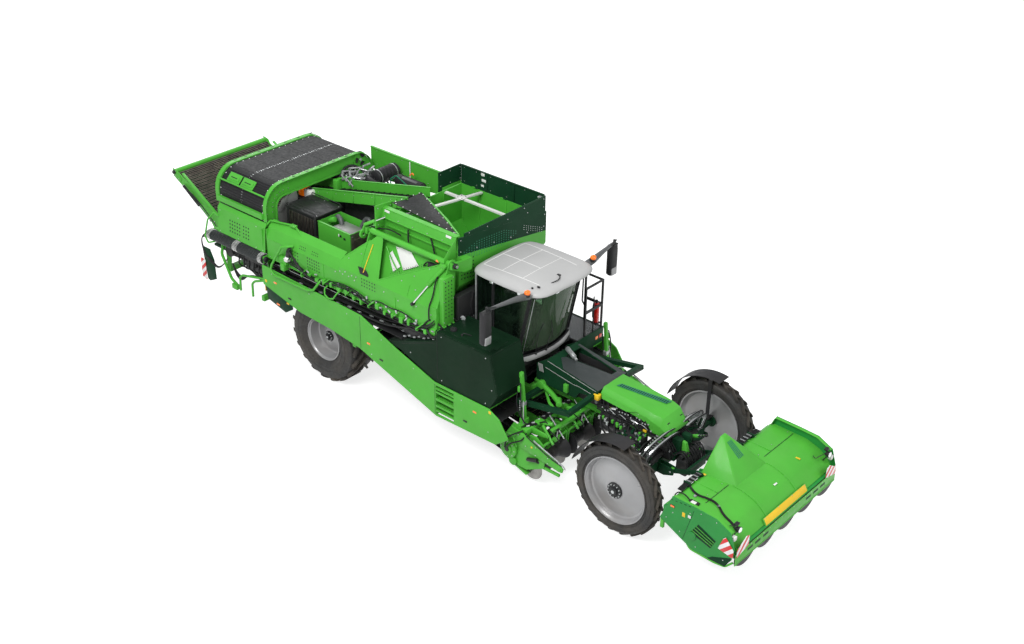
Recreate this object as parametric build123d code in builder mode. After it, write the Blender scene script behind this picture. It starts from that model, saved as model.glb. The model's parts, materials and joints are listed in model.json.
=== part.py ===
"""Self-propelled four-row potato harvester with a front haulm topper.

X points forward, Y to the machine's left, Z up.  The origin is on the ground, under
the middle of the whole machine.  Lengths are in millimetres.
"""
import os
from math import cos, hypot, radians, sin

from build123d import *

os.makedirs("parts", exist_ok=True)

# ---------------------------------------------------------------- driving dimensions
sides = (("right", -1), ("left", 1))         # name and sign of Y
front_axle_x = 5200
rear_axle_x = -2660
row_spacing = 750
row_count = 4

front_tyre_radius = 945
front_tyre_width = 320
front_rim_radius = 690
front_pin_y = 1130                           # steering pin, from the centre plane
rear_tyre_radius = 1000
rear_tyre_width = 780
rear_rim_radius = 500
rear_wheel_y = 1290
rear_pin_y = 790
rim_wall = 14
hub_radius = 190
hub_depth = 60                               # half the width of a wheel hub
pin_radius = 45                              # steering pins
stub_radius = 60                             # wheel stub axles
beam_half_height = 110
beam_half_width = 130

running_gap = 0.1                            # radial, shaft in bore
seat_gap = 0.3                               # pieces that seat on each other
moving_gap = 8                               # pieces that move past each other
sheet = 12                                   # folded sheet panels
plate = 25                                   # frame plates

rail_y = 640                                 # centre of a frame rail
rail_width = 90
rail_z = (1260, 1500)
rail_end_x = -6200
spine_x = (2300, front_axle_x + 25)
spine_z = (front_tyre_radius + 295, front_tyre_radius + 615)    # over the front axle beam
spine_half_width = 170

panel_y = 1840                               # outer face of the long lower side panels
panel_thickness = 30
deck_x = (-4200, -2170)
deck_y = (-1150, 1270)
deck_z = 2250
deck_thickness = 50
tow_pin_x = -6300
tow_pin_z = (1345, 1475)
tow_bore_radius = 16.5

bunker_x = (-1600, 770)
bunker_y = (-1010, 1600)
bunker_floor_z = 2650
bunker_top_z = 3930
bunker_wall = 30
flap_top_z = 4365

ring_x = (-5800, -4320)
ring_y = (-1620, 1450)
ring_z = (1750, 4010)
ring_corner = 520
ring_belt = 35
ring_frame_width = 350

web_half_width = 560
web_bar = 24
web_pitch = 150
tail_x = -7900
tail_z = 3250
tail_half_width = 1320

elevator_x = (-4180, 840)
elevator_pin = (-1300, 3900)                 # Y and Z of its long hinge
elevator_pin_radius = 30

cab_x = (980, 2080)
cab_half_width = 760
cab_floor_z = 2030
cab_roof_z = 3620
cab_wall = 45
cab_lean = 330                               # the windscreen's top stands this far forward
glass = 8
door_hinge_radius = 9

# the topper arms' pin on the front axle stands where the topper's back clears the front tyres
lift_pin_x = front_axle_x + front_tyre_radius - 525
lift_pin_z = 960
arm_length = 640
arm_angle = 20                               # above level, at rest
arm_y = 420
arm_pin_radius = 25
topper_half_width = 1700
rotor_x = 740                                # rotor shaft ahead of the arm tips
rotor_z = 900
rotor_shaft_radius = 50

dig_pin = (-900, 1180)                       # digging unit's hinge, X and Z
dig_pin_radius = 40
dig_half_width = 1560
roller_axis = (3330, 640)                    # ridge rollers' shaft, X and Z
roller_shaft_radius = 35
roller_radius = 240


# ---------------------------------------------------------------- helpers
def block(x, y, z, mode=Mode.ADD):
    """Box between two values of X, of Y and of Z."""
    centre = ((x[0] + x[1]) / 2, (y[0] + y[1]) / 2, (z[0] + z[1]) / 2)
    with Locations(centre):
        Box(abs(x[1] - x[0]), abs(y[1] - y[0]), abs(z[1] - z[0]), mode=mode)


def slab(points, y, mode=Mode.ADD):
    """Plate with an outline in X and Z, between two values of Y."""
    with BuildSketch(Plane.XZ.offset(-max(y))) as outline:
        with BuildLine():
            Polyline(*points, close=True)
        make_face()
    extrude(outline.sketch, amount=abs(y[1] - y[0]), mode=mode)


def bar(points, x, mode=Mode.ADD):
    """Length of a section drawn in Y and Z, between two values of X."""
    with BuildSketch(Plane.YZ.offset(min(x))) as outline:
        with BuildLine():
            Polyline(*points, close=True)
        make_face()
    extrude(outline.sketch, amount=abs(x[1] - x[0]), mode=mode)


def rod(start, end, radius, mode=Mode.ADD):
    """Round bar between two points, or a bore when it is subtracted."""
    run = Vector(*end) - Vector(*start)
    with Locations(Plane(origin=start, z_dir=run)):
        Cylinder(radius, run.length, align=(Align.CENTER, Align.CENTER, Align.MIN), mode=mode)


def tube(points, width, height):
    """Square tube through points, each length run on by half its width."""
    for start, end in zip(points, points[1:]):
        run = Vector(*end) - Vector(*start)
        level = Vector(0, 0, 1).cross(run)
        if level.length < 1:
            level = Vector(0, 1, 0)
        foot = Vector(*start) - run.normalized() * (width / 2)
        with Locations(Plane(origin=foot, x_dir=level, z_dir=run)):
            Box(width, height, run.length + width, align=(Align.CENTER, Align.CENTER, Align.MIN))


def sieve(start, end, half_width, belts):
    """Web of cross bars between two (X, Z) points, on flat belts at the given Y."""
    run = hypot(end[0] - start[0], end[1] - start[1])
    count = int(run / web_pitch)
    for i in range(count + 1):
        x = start[0] + (end[0] - start[0]) * i / count
        z = start[1] + (end[1] - start[1]) * i / count
        block((x - web_bar / 2, x + web_bar / 2), (-half_width, half_width),
            (z - web_bar / 2, z + web_bar / 2))
    lift = web_bar / 4
    for y in belts:
        slab(((start[0], start[1] - lift), (end[0], end[1] - lift), (end[0], end[1] + lift),
            (start[0], start[1] + lift)),
             (y - 35, y + 35))


def save(part, name):
    """Label a finished piece and write it."""
    part.label = name
    export_step(part, f"parts/{name}.step")


# ---------------------------------------------------------------- wheels and knuckles
front_wheel_y = row_spacing * row_count / 2  # a front wheel runs between two ridges
# axle, X, wheel Y, tyre radius, tyre width, rim radius, disc inset, pin Y
wheel_table = (
    ("front", front_axle_x, front_wheel_y, front_tyre_radius, front_tyre_width, front_rim_radius, 40,
    front_pin_y),
    ("rear", rear_axle_x, rear_wheel_y, rear_tyre_radius, rear_tyre_width, rear_rim_radius, 60, rear_pin_y),
)
yoke_half = beam_half_height + plate * 2     # over the yoke plates
yoke_reach = 90                              # yoke plates outboard of the pin
for axle, axle_x, wheel_y, tyre_r, tyre_w, rim_r, inset, pin_y in wheel_table:
    half = tyre_w / 2
    disc = inset + hub_depth                 # hub's outer face, from the wheel's middle
    bore = stub_radius + running_gap
    tyre_profile = (
        (-half * 0.82, rim_r + seat_gap), (-half, (rim_r + tyre_r) / 2), (-half * 0.86, tyre_r),
        (half * 0.86, tyre_r), (half, (rim_r + tyre_r) / 2), (half * 0.82, rim_r + seat_gap),
    )
    lip = half * 0.80
    rim_profile = (
        (-lip, rim_r), (lip, rim_r), (lip, rim_r - rim_wall), (inset + rim_wall, rim_r - rim_wall * 2),
        (disc, hub_radius), (disc, bore), (inset - hub_depth, bore), (inset - hub_depth, hub_radius),
        (inset - rim_wall, rim_r - rim_wall * 3), (-lip, rim_r - rim_wall),
    )
    for side, s in sides:
        spin = Axis((axle_x, 0, tyre_r), (0, 1, 0))
        with BuildPart() as tyre:
            with BuildSketch(Plane.YZ.offset(axle_x)):
                with BuildLine():
                    Polyline(*[(s * (wheel_y + y), tyre_r + r) for y, r in tyre_profile], close=True)
                make_face()
            revolve(axis=spin)
        save(tyre.part, f"tyre_{axle}_{side}")

        with BuildPart() as rim:
            with BuildSketch(Plane.YZ.offset(axle_x)):
                with BuildLine():
                    Polyline(*[(s * (wheel_y + y), tyre_r + r) for y, r in rim_profile], close=True)
                make_face()
            revolve(axis=spin)
        save(rim.part, f"rim_{axle}_{side}")

        with BuildPart() as knuckle:
            with Locations((axle_x, s * pin_y, tyre_r)):
                Cylinder(pin_radius * 1.7, (beam_half_height - moving_gap) * 2)
                Cylinder(pin_radius, (yoke_half + moving_gap * 2) * 2)
            rod((axle_x, s * pin_y, tyre_r), (axle_x, s * (wheel_y + disc + 30), tyre_r), stub_radius)
            flange_y = wheel_y + inset - hub_depth - moving_gap
            rod((axle_x, s * (flange_y - plate), tyre_r), (axle_x, s * flange_y, tyre_r), stub_radius * 2)
        save(knuckle.part, f"knuckle_{axle}_{side}")

    with BuildPart() as beam:
        beam_end = pin_y - pin_radius * 1.7 - moving_gap * 3
        x = (axle_x - beam_half_width, axle_x + beam_half_width)
        block(x, (-beam_end, beam_end), (tyre_r - beam_half_height, tyre_r + beam_half_height))
        for side, s in sides:
            for step in (-1, 1):
                z = (tyre_r + step * beam_half_height, tyre_r + step * yoke_half)
                block((axle_x - 115, axle_x + 115), (s * (beam_end - 100), s * (pin_y + yoke_reach)), z)
            pin = ((axle_x, s * pin_y, tyre_r - yoke_half * 2), (axle_x, s * pin_y, tyre_r + yoke_half * 2))
            rod(*pin, pin_radius + running_gap, mode=Mode.SUBTRACT)
            rail = (s * (rail_y - rail_width / 2), s * (rail_y + rail_width / 2))
            if axle == "rear":
                block((axle_x - 110, axle_x + 110), rail, (tyre_r, rail_z[0]))
        if axle == "front":
            for s in (-1, 1):
                for y in (s * arm_y - 64, s * arm_y + 34):
                    slab(
                        (
                            (axle_x + 100, 820), (axle_x + 100, 1040), (axle_x + 280, 1040),
                            (lift_pin_x + 60, lift_pin_z + 60),
                            (lift_pin_x + 60, lift_pin_z - 60), (axle_x + 280, 820),
                        ),
                        (y, y + 30),
                    )
                lug_bore = ((lift_pin_x, s * arm_y - 200, lift_pin_z),
                    (lift_pin_x, s * arm_y + 200, lift_pin_z))
                rod(*lug_bore, arm_pin_radius + running_gap, mode=Mode.SUBTRACT)
    save(beam.part, f"{axle}_axle_beam")

# fenders over the front wheels, each on a stay that rises from its knuckle
fender_gap = 60
fender_wall = 10
stay_half = 40
for side, s in sides:
    with BuildPart() as fender:
        inner = front_tyre_radius + fender_gap
        hub_plane = Plane(origin=(front_axle_x, s * front_wheel_y, front_tyre_radius), x_dir=(1, 0, 0),
            z_dir=(0, -1, 0))
        with BuildSketch(hub_plane) as arc:
            Circle(inner + fender_wall)
            Circle(inner, mode=Mode.SUBTRACT)
            with BuildLine():
                Polyline((0, 0), (300, 1600), (-1600, 1600), (-1600, 430), close=True)
            make_face(mode=Mode.INTERSECT)
        extrude(arc.sketch, amount=front_tyre_width / 2 + 10, both=True)
        stay_y = front_wheel_y - front_tyre_width / 2 - plate
        foot_z = front_tyre_radius + stub_radius * 2 + seat_gap
        head_z = front_tyre_radius + inner
        stay_x = (front_axle_x - stay_half, front_axle_x + stay_half)
        block(stay_x, (s * (stay_y - sheet), s * stay_y), (foot_z, head_z))
        block(stay_x, (s * (stay_y - sheet), s * front_wheel_y), (head_z - 2, head_z + fender_wall))
        foot_y = front_wheel_y + 40 - hub_depth - moving_gap
        block(stay_x, (s * (stay_y - sheet), s * foot_y), (foot_z, foot_z + sheet))
    save(fender.part, f"fender_front_{side}")

# ---------------------------------------------------------------- main frame
with BuildPart() as main_frame:
    for s in (-1, 1):
        rail = (s * (rail_y - rail_width / 2), s * (rail_y + rail_width / 2))
        block((rail_end_x, spine_x[0] + 100), rail, rail_z)
        block((dig_pin[0] - 90, dig_pin[0] + 90), rail, (dig_pin[1] - 90, rail_z[0]))
        lug_bore = ((dig_pin[0], s * (rail_y - 100), dig_pin[1]),
            (dig_pin[0], s * (rail_y + 100), dig_pin[1]))
        rod(*lug_bore, dig_pin_radius + running_gap, mode=Mode.SUBTRACT)
    for x in (rail_end_x, -5200, -1300, 900, spine_x[0] - 50):
        block((x, x + 120), (-rail_y, rail_y), (rail_z[0] + 80, rail_z[1] - 20))
    for z in (tow_pin_z[0], tow_pin_z[1] - 30):
        block((tow_pin_x - 60, rail_end_x + 10), (-60, 60), (z, z + 30))
    rod((tow_pin_x, 0, tow_pin_z[0] - 50), (tow_pin_x, 0, tow_pin_z[1] + 50), tow_bore_radius,
        mode=Mode.SUBTRACT)
    # backbone from the cross beam under the cab to the front axle
    block((spine_x[0] + 100, spine_x[1]), (-spine_half_width, spine_half_width), spine_z)
    saddle_z = (front_tyre_radius + beam_half_height, spine_z[0])
    block((front_axle_x - 200, front_axle_x + 280), (-330, 330), saddle_z)
    block((spine_x[0] + 90, spine_x[0] + 130), (-rail_y - 45, rail_y + 45), (rail_z[0], rail_z[1] + 60))
save(main_frame.part, "main_frame")

with BuildPart() as outriggers:
    for s in (-1, 1):
        for x in (-4400, -1500, 1500, 2100):
            reach = (s * (rail_y + rail_width / 2), s * (panel_y - panel_thickness))
            block((x, x + 90), reach, (rail_z[1] - 120, rail_z[1]))
save(outriggers.part, "frame_outriggers")

service_box_x = (-3180, -2200)
service_box_z = (deck_z, 3450)
with BuildPart() as deck:
    block(deck_x, deck_y, (deck_z - deck_thickness, deck_z))
    for s in (-1, 1):
        rail = (s * (rail_y - rail_width / 2), s * (rail_y + rail_width / 2))
        for x in (deck_x[0] + 20, deck_x[1] - 250):
            block((x, x + 90), rail, (rail_z[1], deck_z - deck_thickness))
    box_y = (deck_y[0] + 30, -480)
    block(service_box_x, box_y, service_box_z)
    inner_x = (service_box_x[0] + sheet, service_box_x[1] - sheet)
    inner_y = (box_y[0] + sheet, box_y[1] - sheet)
    block(inner_x, inner_y, (service_box_z[1] - 420, service_box_z[1] + 1), mode=Mode.SUBTRACT)
save(deck.part, "engine_deck")

engine_x = (-4000, -2500)
engine_y = (380, 1250)
engine_top_z = 3300
with BuildPart() as engine:
    block(engine_x, engine_y, (deck_z, engine_top_z))
save(engine.part, "engine_block")

radiator_x = (-4150, -3230)
radiator_y = (deck_y[0] + 20, -420)
radiator_top_z = 3500
with BuildPart() as radiator:
    block(radiator_x, radiator_y, (deck_z, radiator_top_z))
    fin_count = 8
    fin_pitch = (radiator_x[1] - radiator_x[0] - 120) / fin_count
    for i in range(fin_count):
        x = radiator_x[0] + 60 + (i + 0.25) * fin_pitch
        block((x, x + fin_pitch / 2), (radiator_y[0] - 1, radiator_y[0] + 30),
            (deck_z + 150, radiator_top_z - 90), mode=Mode.SUBTRACT)
save(radiator.part, "radiator")

muffler_radius = 170
filter_radius = 130
with BuildPart() as breathing:
    rod((-3500, 850, 3700), (-3500, 1450, 3700), muffler_radius)
    rod((-3600, 740, 3690), (-2950, 700, 3560), 65)
    rod((-3300 + filter_radius, 1240, 3640), (-2420, 1240, 3640), filter_radius)
    block((-3560, -3440), (900, 1100), (engine_top_z, 3650))
    block((-2900, -2780), (1180, 1245), (engine_top_z, 3600))
    block((-3060, -2940), (640, 760), (engine_top_z, 3600))
save(breathing.part, "exhaust_and_intake")

# ---------------------------------------------------------------- fuel tank and side panels
tank_outline = (
    (-500, 1900), (-100, 2060), (860, 2440), (900, 2690), (2310, 2690),
    (2500, 1880), (2290, 1520), (880, 1520), (-100, 1880),
)
tank_y = (-panel_y + panel_thickness + seat_gap, -950)
with BuildPart() as tank:
    slab(tank_outline, tank_y)
    fillet(tank.edges().filter_by(Axis.Y).group_by(Axis.Z)[-1], radius=60)
    chamfer(tank.faces().sort_by(Axis.Y)[0].edges().group_by(Axis.Z)[-1], length=30)
save(tank.part, "fuel_tank")

panel_outline = (
    (-4250, 2300), (-1200, 2220), (-210, 1850), (860, 1510), (2300, 1510), (2560, 1380), (2790, 1040),
    (2480, 800), (910, 760), (-100, 1080), (-1250, 1450), (-2150, 1560), (-3090, 1600), (-4250, 1860),
)
ladder_x = (900, 1400)
ladder_z = (800, 1470)
ladder_depth = 160
step_count = 3
for side, s in sides:
    with BuildPart() as panel:
        slab(panel_outline, (s * panel_y, s * (panel_y - panel_thickness)))
        rib_y = (s * (panel_y - panel_thickness), s * (panel_y - panel_thickness - 40))
        slab(((-4150, 1900), (-4150, 1950), (-1300, 1880), (-200, 1480), (-200, 1430), (-1300, 1830)), rib_y)
        if side == "right":
            block(ladder_x, (-panel_y - 1, -panel_y + panel_thickness + 1), ladder_z, mode=Mode.SUBTRACT)
            back_y = -panel_y + ladder_depth
            surround_x = (ladder_x[0] - 20, ladder_x[1] + 20)
            surround_z = (ladder_z[0] - 20, ladder_z[1] + 20)
            block(surround_x, (back_y - sheet, back_y), surround_z)
            for x in ladder_x:
                block((x - sheet, x + sheet), (-panel_y + 2, back_y), surround_z)
            for i in range(step_count):
                z = ladder_z[0] + 60 + i * (ladder_z[1] - ladder_z[0]) / (step_count - 0.4)
                block(ladder_x, (-panel_y, back_y), (z, z + 30))
    save(panel.part, f"side_panel_{side}")

# ---------------------------------------------------------------- rear sieving web
rear_web_start = (dig_pin[0] + 140, 1015)
rear_web_end = (-4900, 1340)
drum_radius = 80
with BuildPart() as webs:
    sieve(rear_web_start, rear_web_end, web_half_width, (-web_half_width + 40, 0, web_half_width - 40))
    for x, z in (rear_web_start, rear_web_end):
        rod((x, -web_half_width, z), (x, web_half_width, z), drum_radius)
    for s in (-1, 1):
        edge = (s * (web_half_width - 12), s * (web_half_width + plate - 12))
        slab(
            (
                (rear_web_start[0] - 250, rear_web_start[1] - 5),
                (rear_web_start[0] - 250, rear_web_start[1] + 70),
                (rear_web_end[0], rear_web_end[1] + 130), (rear_web_end[0], rear_web_end[1] - 40),
            ),
            edge,
        )
        for x in (-4600, -1750):
            block((x, x + 60), (s * web_half_width, s * (rail_y - rail_width / 2)),
                (rail_z[0] + 20, rail_z[0] + 120))
save(webs.part, "rear_sieving_web")

# ---------------------------------------------------------------- ring elevator
ring_centre = ((ring_y[0] + ring_y[1]) / 2, (ring_z[0] + ring_z[1]) / 2)
ring_size = (ring_y[1] - ring_y[0], ring_z[1] - ring_z[0])
with BuildPart() as ring_belt_part:
    with BuildSketch(Plane.YZ.offset(ring_x[0])):
        with Locations(ring_centre):
            RectangleRounded(*ring_size, ring_corner)
            RectangleRounded(ring_size[0] - ring_belt * 2, ring_size[1] - ring_belt * 2,
                ring_corner - ring_belt, mode=Mode.SUBTRACT)
    extrude(amount=ring_x[1] - ring_x[0])
save(ring_belt_part.part, "ring_belt")

foot_half = 60
ring_hole = (ring_size[0] - ring_frame_width * 2, ring_size[1] - ring_frame_width * 2)
for name, x, bars in (("rear", ring_x[0] - seat_gap - plate, True), ("front", ring_x[1] + seat_gap, False)):
    with BuildPart() as ring_frame:
        with BuildSketch(Plane.YZ.offset(x)):
            with Locations(ring_centre):
                RectangleRounded(ring_size[0] + 40, ring_size[1] + 40, ring_corner + 20)
                RectangleRounded(*ring_hole, ring_corner - ring_frame_width + 20, mode=Mode.SUBTRACT)
        extrude(amount=plate)
        for s in (-1, 1):
            block((x, x + plate), (s * (rail_y - foot_half), s * (rail_y + foot_half)),
                (rail_z[1], ring_z[0] + 100))
        if bars:
            for y in (ring_y[0] + 300, ring_y[1] - 300):
                for z in (ring_z[0] + 300, ring_z[1] - 300):
                    block((ring_x[0] - seat_gap, ring_x[1]), (y - 40, y + 40), (z - 40, z + 40))
            guard_y = ring_y[0] - sheet
            block((ring_x[0] - seat_gap, ring_x[1]), (guard_y - 60, guard_y), (3300, 3420))
            block((x, x + plate), (guard_y - 60, ring_y[0] + 40), (3300, 3420))
        else:
            rod((x + plate, ring_y[1] - 330, ring_z[1] - 170),
                (x + plate * 2, ring_y[1] - 330, ring_z[1] - 170), 180)
    save(ring_frame.part, f"ring_frame_{name}")

cover_y = ring_y[0] - 36
cover_out = cover_y - 110
with BuildPart() as cover:
    bar(
        (
            (cover_y, 3240), (cover_y - 60, 3150), (cover_out, 2580), (cover_out + sheet, 2580),
            (cover_y - 60 + sheet, 3145), (cover_y + sheet - 2, 3235),
        ),
        (ring_x[0], elevator_x[0] - 30),
    )
    block((ring_x[1] + seat_gap + plate, ring_x[1] + seat_gap + plate + 20), (cover_out + 5, cover_y + 160),
        (2600, 3120))
save(cover.part, "ring_cover")

guide_radius = 120
guide_y = ring_y[0] - 20 - moving_gap - guide_radius
guide_z = 2430
guide_arm_y = (ring_y[0] - 20, ring_y[0] + 60)
guide_arm_z = (guide_z - 80, guide_z + 80)
with BuildPart() as cross_roller:
    rod((ring_x[0] - 300, guide_y, guide_z), (ring_x[1] + 100, guide_y, guide_z), guide_radius)
    front_face = ring_x[1] + seat_gap * 2 + plate
    rear_face = ring_x[0] - seat_gap * 2 - plate
    block((ring_x[0] - 300, rear_face), guide_arm_y, guide_arm_z)
    block((front_face, ring_x[1] + 100), guide_arm_y, guide_arm_z)
    for x in (ring_x[0] - 300, ring_x[1] + 100):
        block((x - plate, x), (guide_y - 60, guide_arm_y[1]), guide_arm_z)
save(cross_roller.part, "cross_roller")

# ---------------------------------------------------------------- rear web
tail_start = (-6050, 2260)
tail_end = (tail_x + 170, tail_z - 20)
with BuildPart() as tail_frame:
    for s in (-1, 1):
        y = (s * tail_half_width, s * (tail_half_width - plate))
        slab(
            (
                (-5900, 1900), (-5900, 2400), (tail_x + 60, tail_z + 60), (tail_x + 20, tail_z - 120),
                (-6700, 2450), (-6300, 1900),
            ),
            y,
        )
        slab(((-6200, 1300), (-6080, 1300), (-6000, 2000), (-6200, 2000)), y)
        block((-6200, -6080), (s * (rail_y + rail_width / 2), s * tail_half_width), (1300, 1420))
    rod((tail_x + 60, -tail_half_width, tail_z), (tail_x + 60, tail_half_width, tail_z), 60)
save(tail_frame.part, "rear_web_frame")

with BuildPart() as tail_web:
    half = tail_half_width - plate - seat_gap
    sieve(tail_start, tail_end, half, (-half + 60, 0, half - 60))
save(tail_web.part, "rear_web")

# ---------------------------------------------------------------- filling conveyor
conveyor = ((-5300, 3150), (-1350, 4075))
conveyor_half_width = 330
conveyor_y = 60
conveyor_depth = 60
with BuildPart() as trough:
    (x0, z0), (x1, z1) = conveyor
    for s in (-1, 1):
        wall = (conveyor_y + s * conveyor_half_width, conveyor_y + s * (conveyor_half_width - sheet))
        slab(((x0, z0 - conveyor_depth), (x1, z1 - conveyor_depth), (x1, z1 + 200), (x0, z0 + 200)), wall)
    floor_half = conveyor_half_width - sheet
    slab(
        ((x0, z0 - conveyor_depth), (x1, z1 - conveyor_depth), (x1, z1 - 20), (x0, z0 - 20)),
        (conveyor_y - floor_half, conveyor_y + floor_half),
    )
    block((deck_x[1] - 130, deck_x[1] - 60), (conveyor_y - 280, conveyor_y + 280), (deck_z, 3815))
save(trough.part, "filling_conveyor")

with BuildPart() as filling_belt:
    half = floor_half - seat_gap
    low = -20 + seat_gap
    slab(
        ((x0 + 20, z0 + low + 5), (x1, z1 + low), (x1, z1), (x0 + 20, z0 + 5)),
        (conveyor_y - half, conveyor_y + half),
    )
save(filling_belt.part, "filling_belt")

# ---------------------------------------------------------------- bunker
bx0, bx1 = bunker_x
by0, by1 = bunker_y
front_fold_z = (bunker_top_z + 395, bunker_top_z + 80)    # fold of the front flap at the right and left wall
# top of the green front wall at the right and left wall
front_wall_z = (bunker_top_z + 20, bunker_top_z - 350)
hopper = (
    (bx0, bunker_top_z), (bx0, bunker_floor_z + 450), (bx0 + 300, bunker_floor_z),
    (bx1 - 420, bunker_floor_z), (bx1, bunker_floor_z + 650), (bx1, bunker_top_z),
)
hood_beam_x = (-1250, bx1)
hood_beam_z = (bunker_top_z + 220, bunker_top_z + 430)
with BuildPart() as bunker:
    slab(hopper, bunker_y)
    offset(amount=-bunker_wall, openings=bunker.faces().sort_by(Axis.Z)[-1], kind=Kind.INTERSECTION)
    bar(
        ((by0 - 1, front_wall_z[0]), (by1 + 1, front_wall_z[1]), (by1 + 1, bunker_top_z + 60),
        (by0 - 1, bunker_top_z + 60)),
        (bx1 - bunker_wall, bx1 + 1),
        mode=Mode.SUBTRACT,
    )
    # left side wall that runs on over the engine
    slab(
        (
            (bx0 + 5, 3500), (bx0 + 5, bunker_top_z), (bx0 - plate - 2, bunker_top_z + 60),
            (-4400, bunker_top_z + 50), (-4400, 3480), (-3800, 3300),
        ),
        (by1 - sheet, by1),
    )
    # near wall runs up to the folded hood over the discharge opening
    block((hood_beam_x[0], hood_beam_x[1] - plate - seat_gap), (by0, by0 + bunker_wall),
        (bunker_top_z, hood_beam_z[0] + 40))
    bar(
        (
            (by0 + 60, hood_beam_z[1]), (by0 - 50, hood_beam_z[1]), (by0 - 70, hood_beam_z[0]),
            (by0 - 55, hood_beam_z[0]),
            (by0 - 38, hood_beam_z[1] - sheet), (by0 + 10, hood_beam_z[1] - sheet),
            (by0 + 10, hood_beam_z[0]), (by0 + 60, hood_beam_z[0]),
        ),
        (hood_beam_x[0], hood_beam_x[1] - plate - seat_gap),
    )
    bar(
        ((by0 - 250, 3960), (by0 - 250, 4440), (by0 + 220, 4400), (by0 + 220, 4150),
        (by0 + 20, bunker_top_z), (by0 - 60, 3960)),
        (hood_beam_x[0] - sheet, hood_beam_x[0]),
    )
    # legs down to the rails
    for x in (bx0 + 310, bx1 - 560):
        for s in (-1, 1):
            block((x, x + 100), (s * (rail_y - 45), s * (rail_y + 45)), (rail_z[1], bunker_floor_z + 5))
    # ears of the elevator's long hinge
    for x in (-1460, elevator_x[1] + 30):
        ear = (
            (by0, 3660), (by0, bunker_top_z - 20), (elevator_pin[0] - 70, elevator_pin[1] + 60),
            (elevator_pin[0] - 70, elevator_pin[1] - 70), (elevator_pin[0], elevator_pin[1] - 100),
        )
        bar(ear, (x, x + 60))
        rod((x - 5, *elevator_pin), (x + 65, *elevator_pin), elevator_pin_radius + running_gap,
            mode=Mode.SUBTRACT)
    bar(((by0, 3660), (by0, bunker_top_z - 20), (by0 + 200, bunker_top_z - 20), (by0 + 200, 3660)),
        (bx1 - 5, elevator_x[1] + 90))
    # knuckles of the left flap's hinge
    flap_axis_y = by1 - 34
    flap_axis_z = bunker_top_z + seat_gap + 12
    for x in (-1250, -450, 350):
        rod((x, flap_axis_y, flap_axis_z), (x + 70, flap_axis_y, flap_axis_z), 12)
        block((x, x + 70), (by1 - bunker_wall, by1 - bunker_wall + 8), (bunker_top_z - 20, flap_axis_z))
        rod((x - 5, flap_axis_y, flap_axis_z), (x + 75, flap_axis_y, flap_axis_z), 6 + running_gap,
            mode=Mode.SUBTRACT)
save(bunker.part, "bunker")

fold_slope = (front_fold_z[1] - front_fold_z[0]) / (by1 - by0)
fold_axis_x = bx1 - plate - 14
fold_knuckles = (-600, 200, 1000)


def fold_point(y, rise=0):
    """Point on the front flap's fold line, in Y and Z."""
    return (y, front_fold_z[0] + fold_slope * (y - by0) + seat_gap + rise)


with BuildPart() as extension:
    bar(
        (
            (by0, front_wall_z[0] + seat_gap), (by0, front_fold_z[0]), (by1, front_fold_z[1]),
            (by1, front_wall_z[1] + seat_gap),
        ),
        (bx1 - plate, bx1),
    )
    block((bx0 - plate, bx0), (by1 - 700, by1 - sheet - seat_gap), (bunker_top_z + 70, flap_top_z))
    block((bx0 - plate, bx0), (by1 - 700, by1 - 600), (bunker_top_z - 60, bunker_top_z + 70))
    for y in fold_knuckles:
        leaf = (fold_point(y, -12), fold_point(y), fold_point(y + 60), fold_point(y + 60, -12))
        bar(leaf, (fold_axis_x, bx1 - plate + 2))
        rod((fold_axis_x, *fold_point(y)), (fold_axis_x, *fold_point(y + 60)), 12)
        rod((fold_axis_x, *fold_point(y - 5)), (fold_axis_x, *fold_point(y + 65)), 6 + running_gap,
            mode=Mode.SUBTRACT)
save(extension.part, "bunker_extension")

with BuildPart() as flap_left:
    flap_x = (bx0 + moving_gap, fold_axis_x - 12 - moving_gap)
    block(flap_x, (by1 - 20, by1), (bunker_top_z + seat_gap, flap_top_z))
    for x in (-1250, -450, 350):
        rod((x + 70 + 2, flap_axis_y, flap_axis_z), (x + 150, flap_axis_y, flap_axis_z), 12)
        rod((x + 5, flap_axis_y, flap_axis_z), (x + 80, flap_axis_y, flap_axis_z), 6)
        block((x + 72, x + 150), (flap_axis_y, by1 - 15), (flap_axis_z, flap_axis_z + 12))
save(flap_left.part, "bunker_flap_left")

with BuildPart() as flap_front:
    flap_y = (by0 + 160, by1 - 35)
    bar(((flap_y[0], flap_top_z), (flap_y[1], flap_top_z), fold_point(flap_y[1]), fold_point(flap_y[0])),
        (bx1 - 20, bx1))
    for y in fold_knuckles:
        leaf = (fold_point(y + 62), fold_point(y + 62, 12), fold_point(y + 120, 12), fold_point(y + 120))
        bar(leaf, (fold_axis_x, bx1 - 15))
        rod((fold_axis_x, *fold_point(y + 62)), (fold_axis_x, *fold_point(y + 120)), 12)
        rod((fold_axis_x, *fold_point(y + 5)), (fold_axis_x, *fold_point(y + 70)), 6)
save(flap_front.part, "bunker_flap_front")

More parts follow.
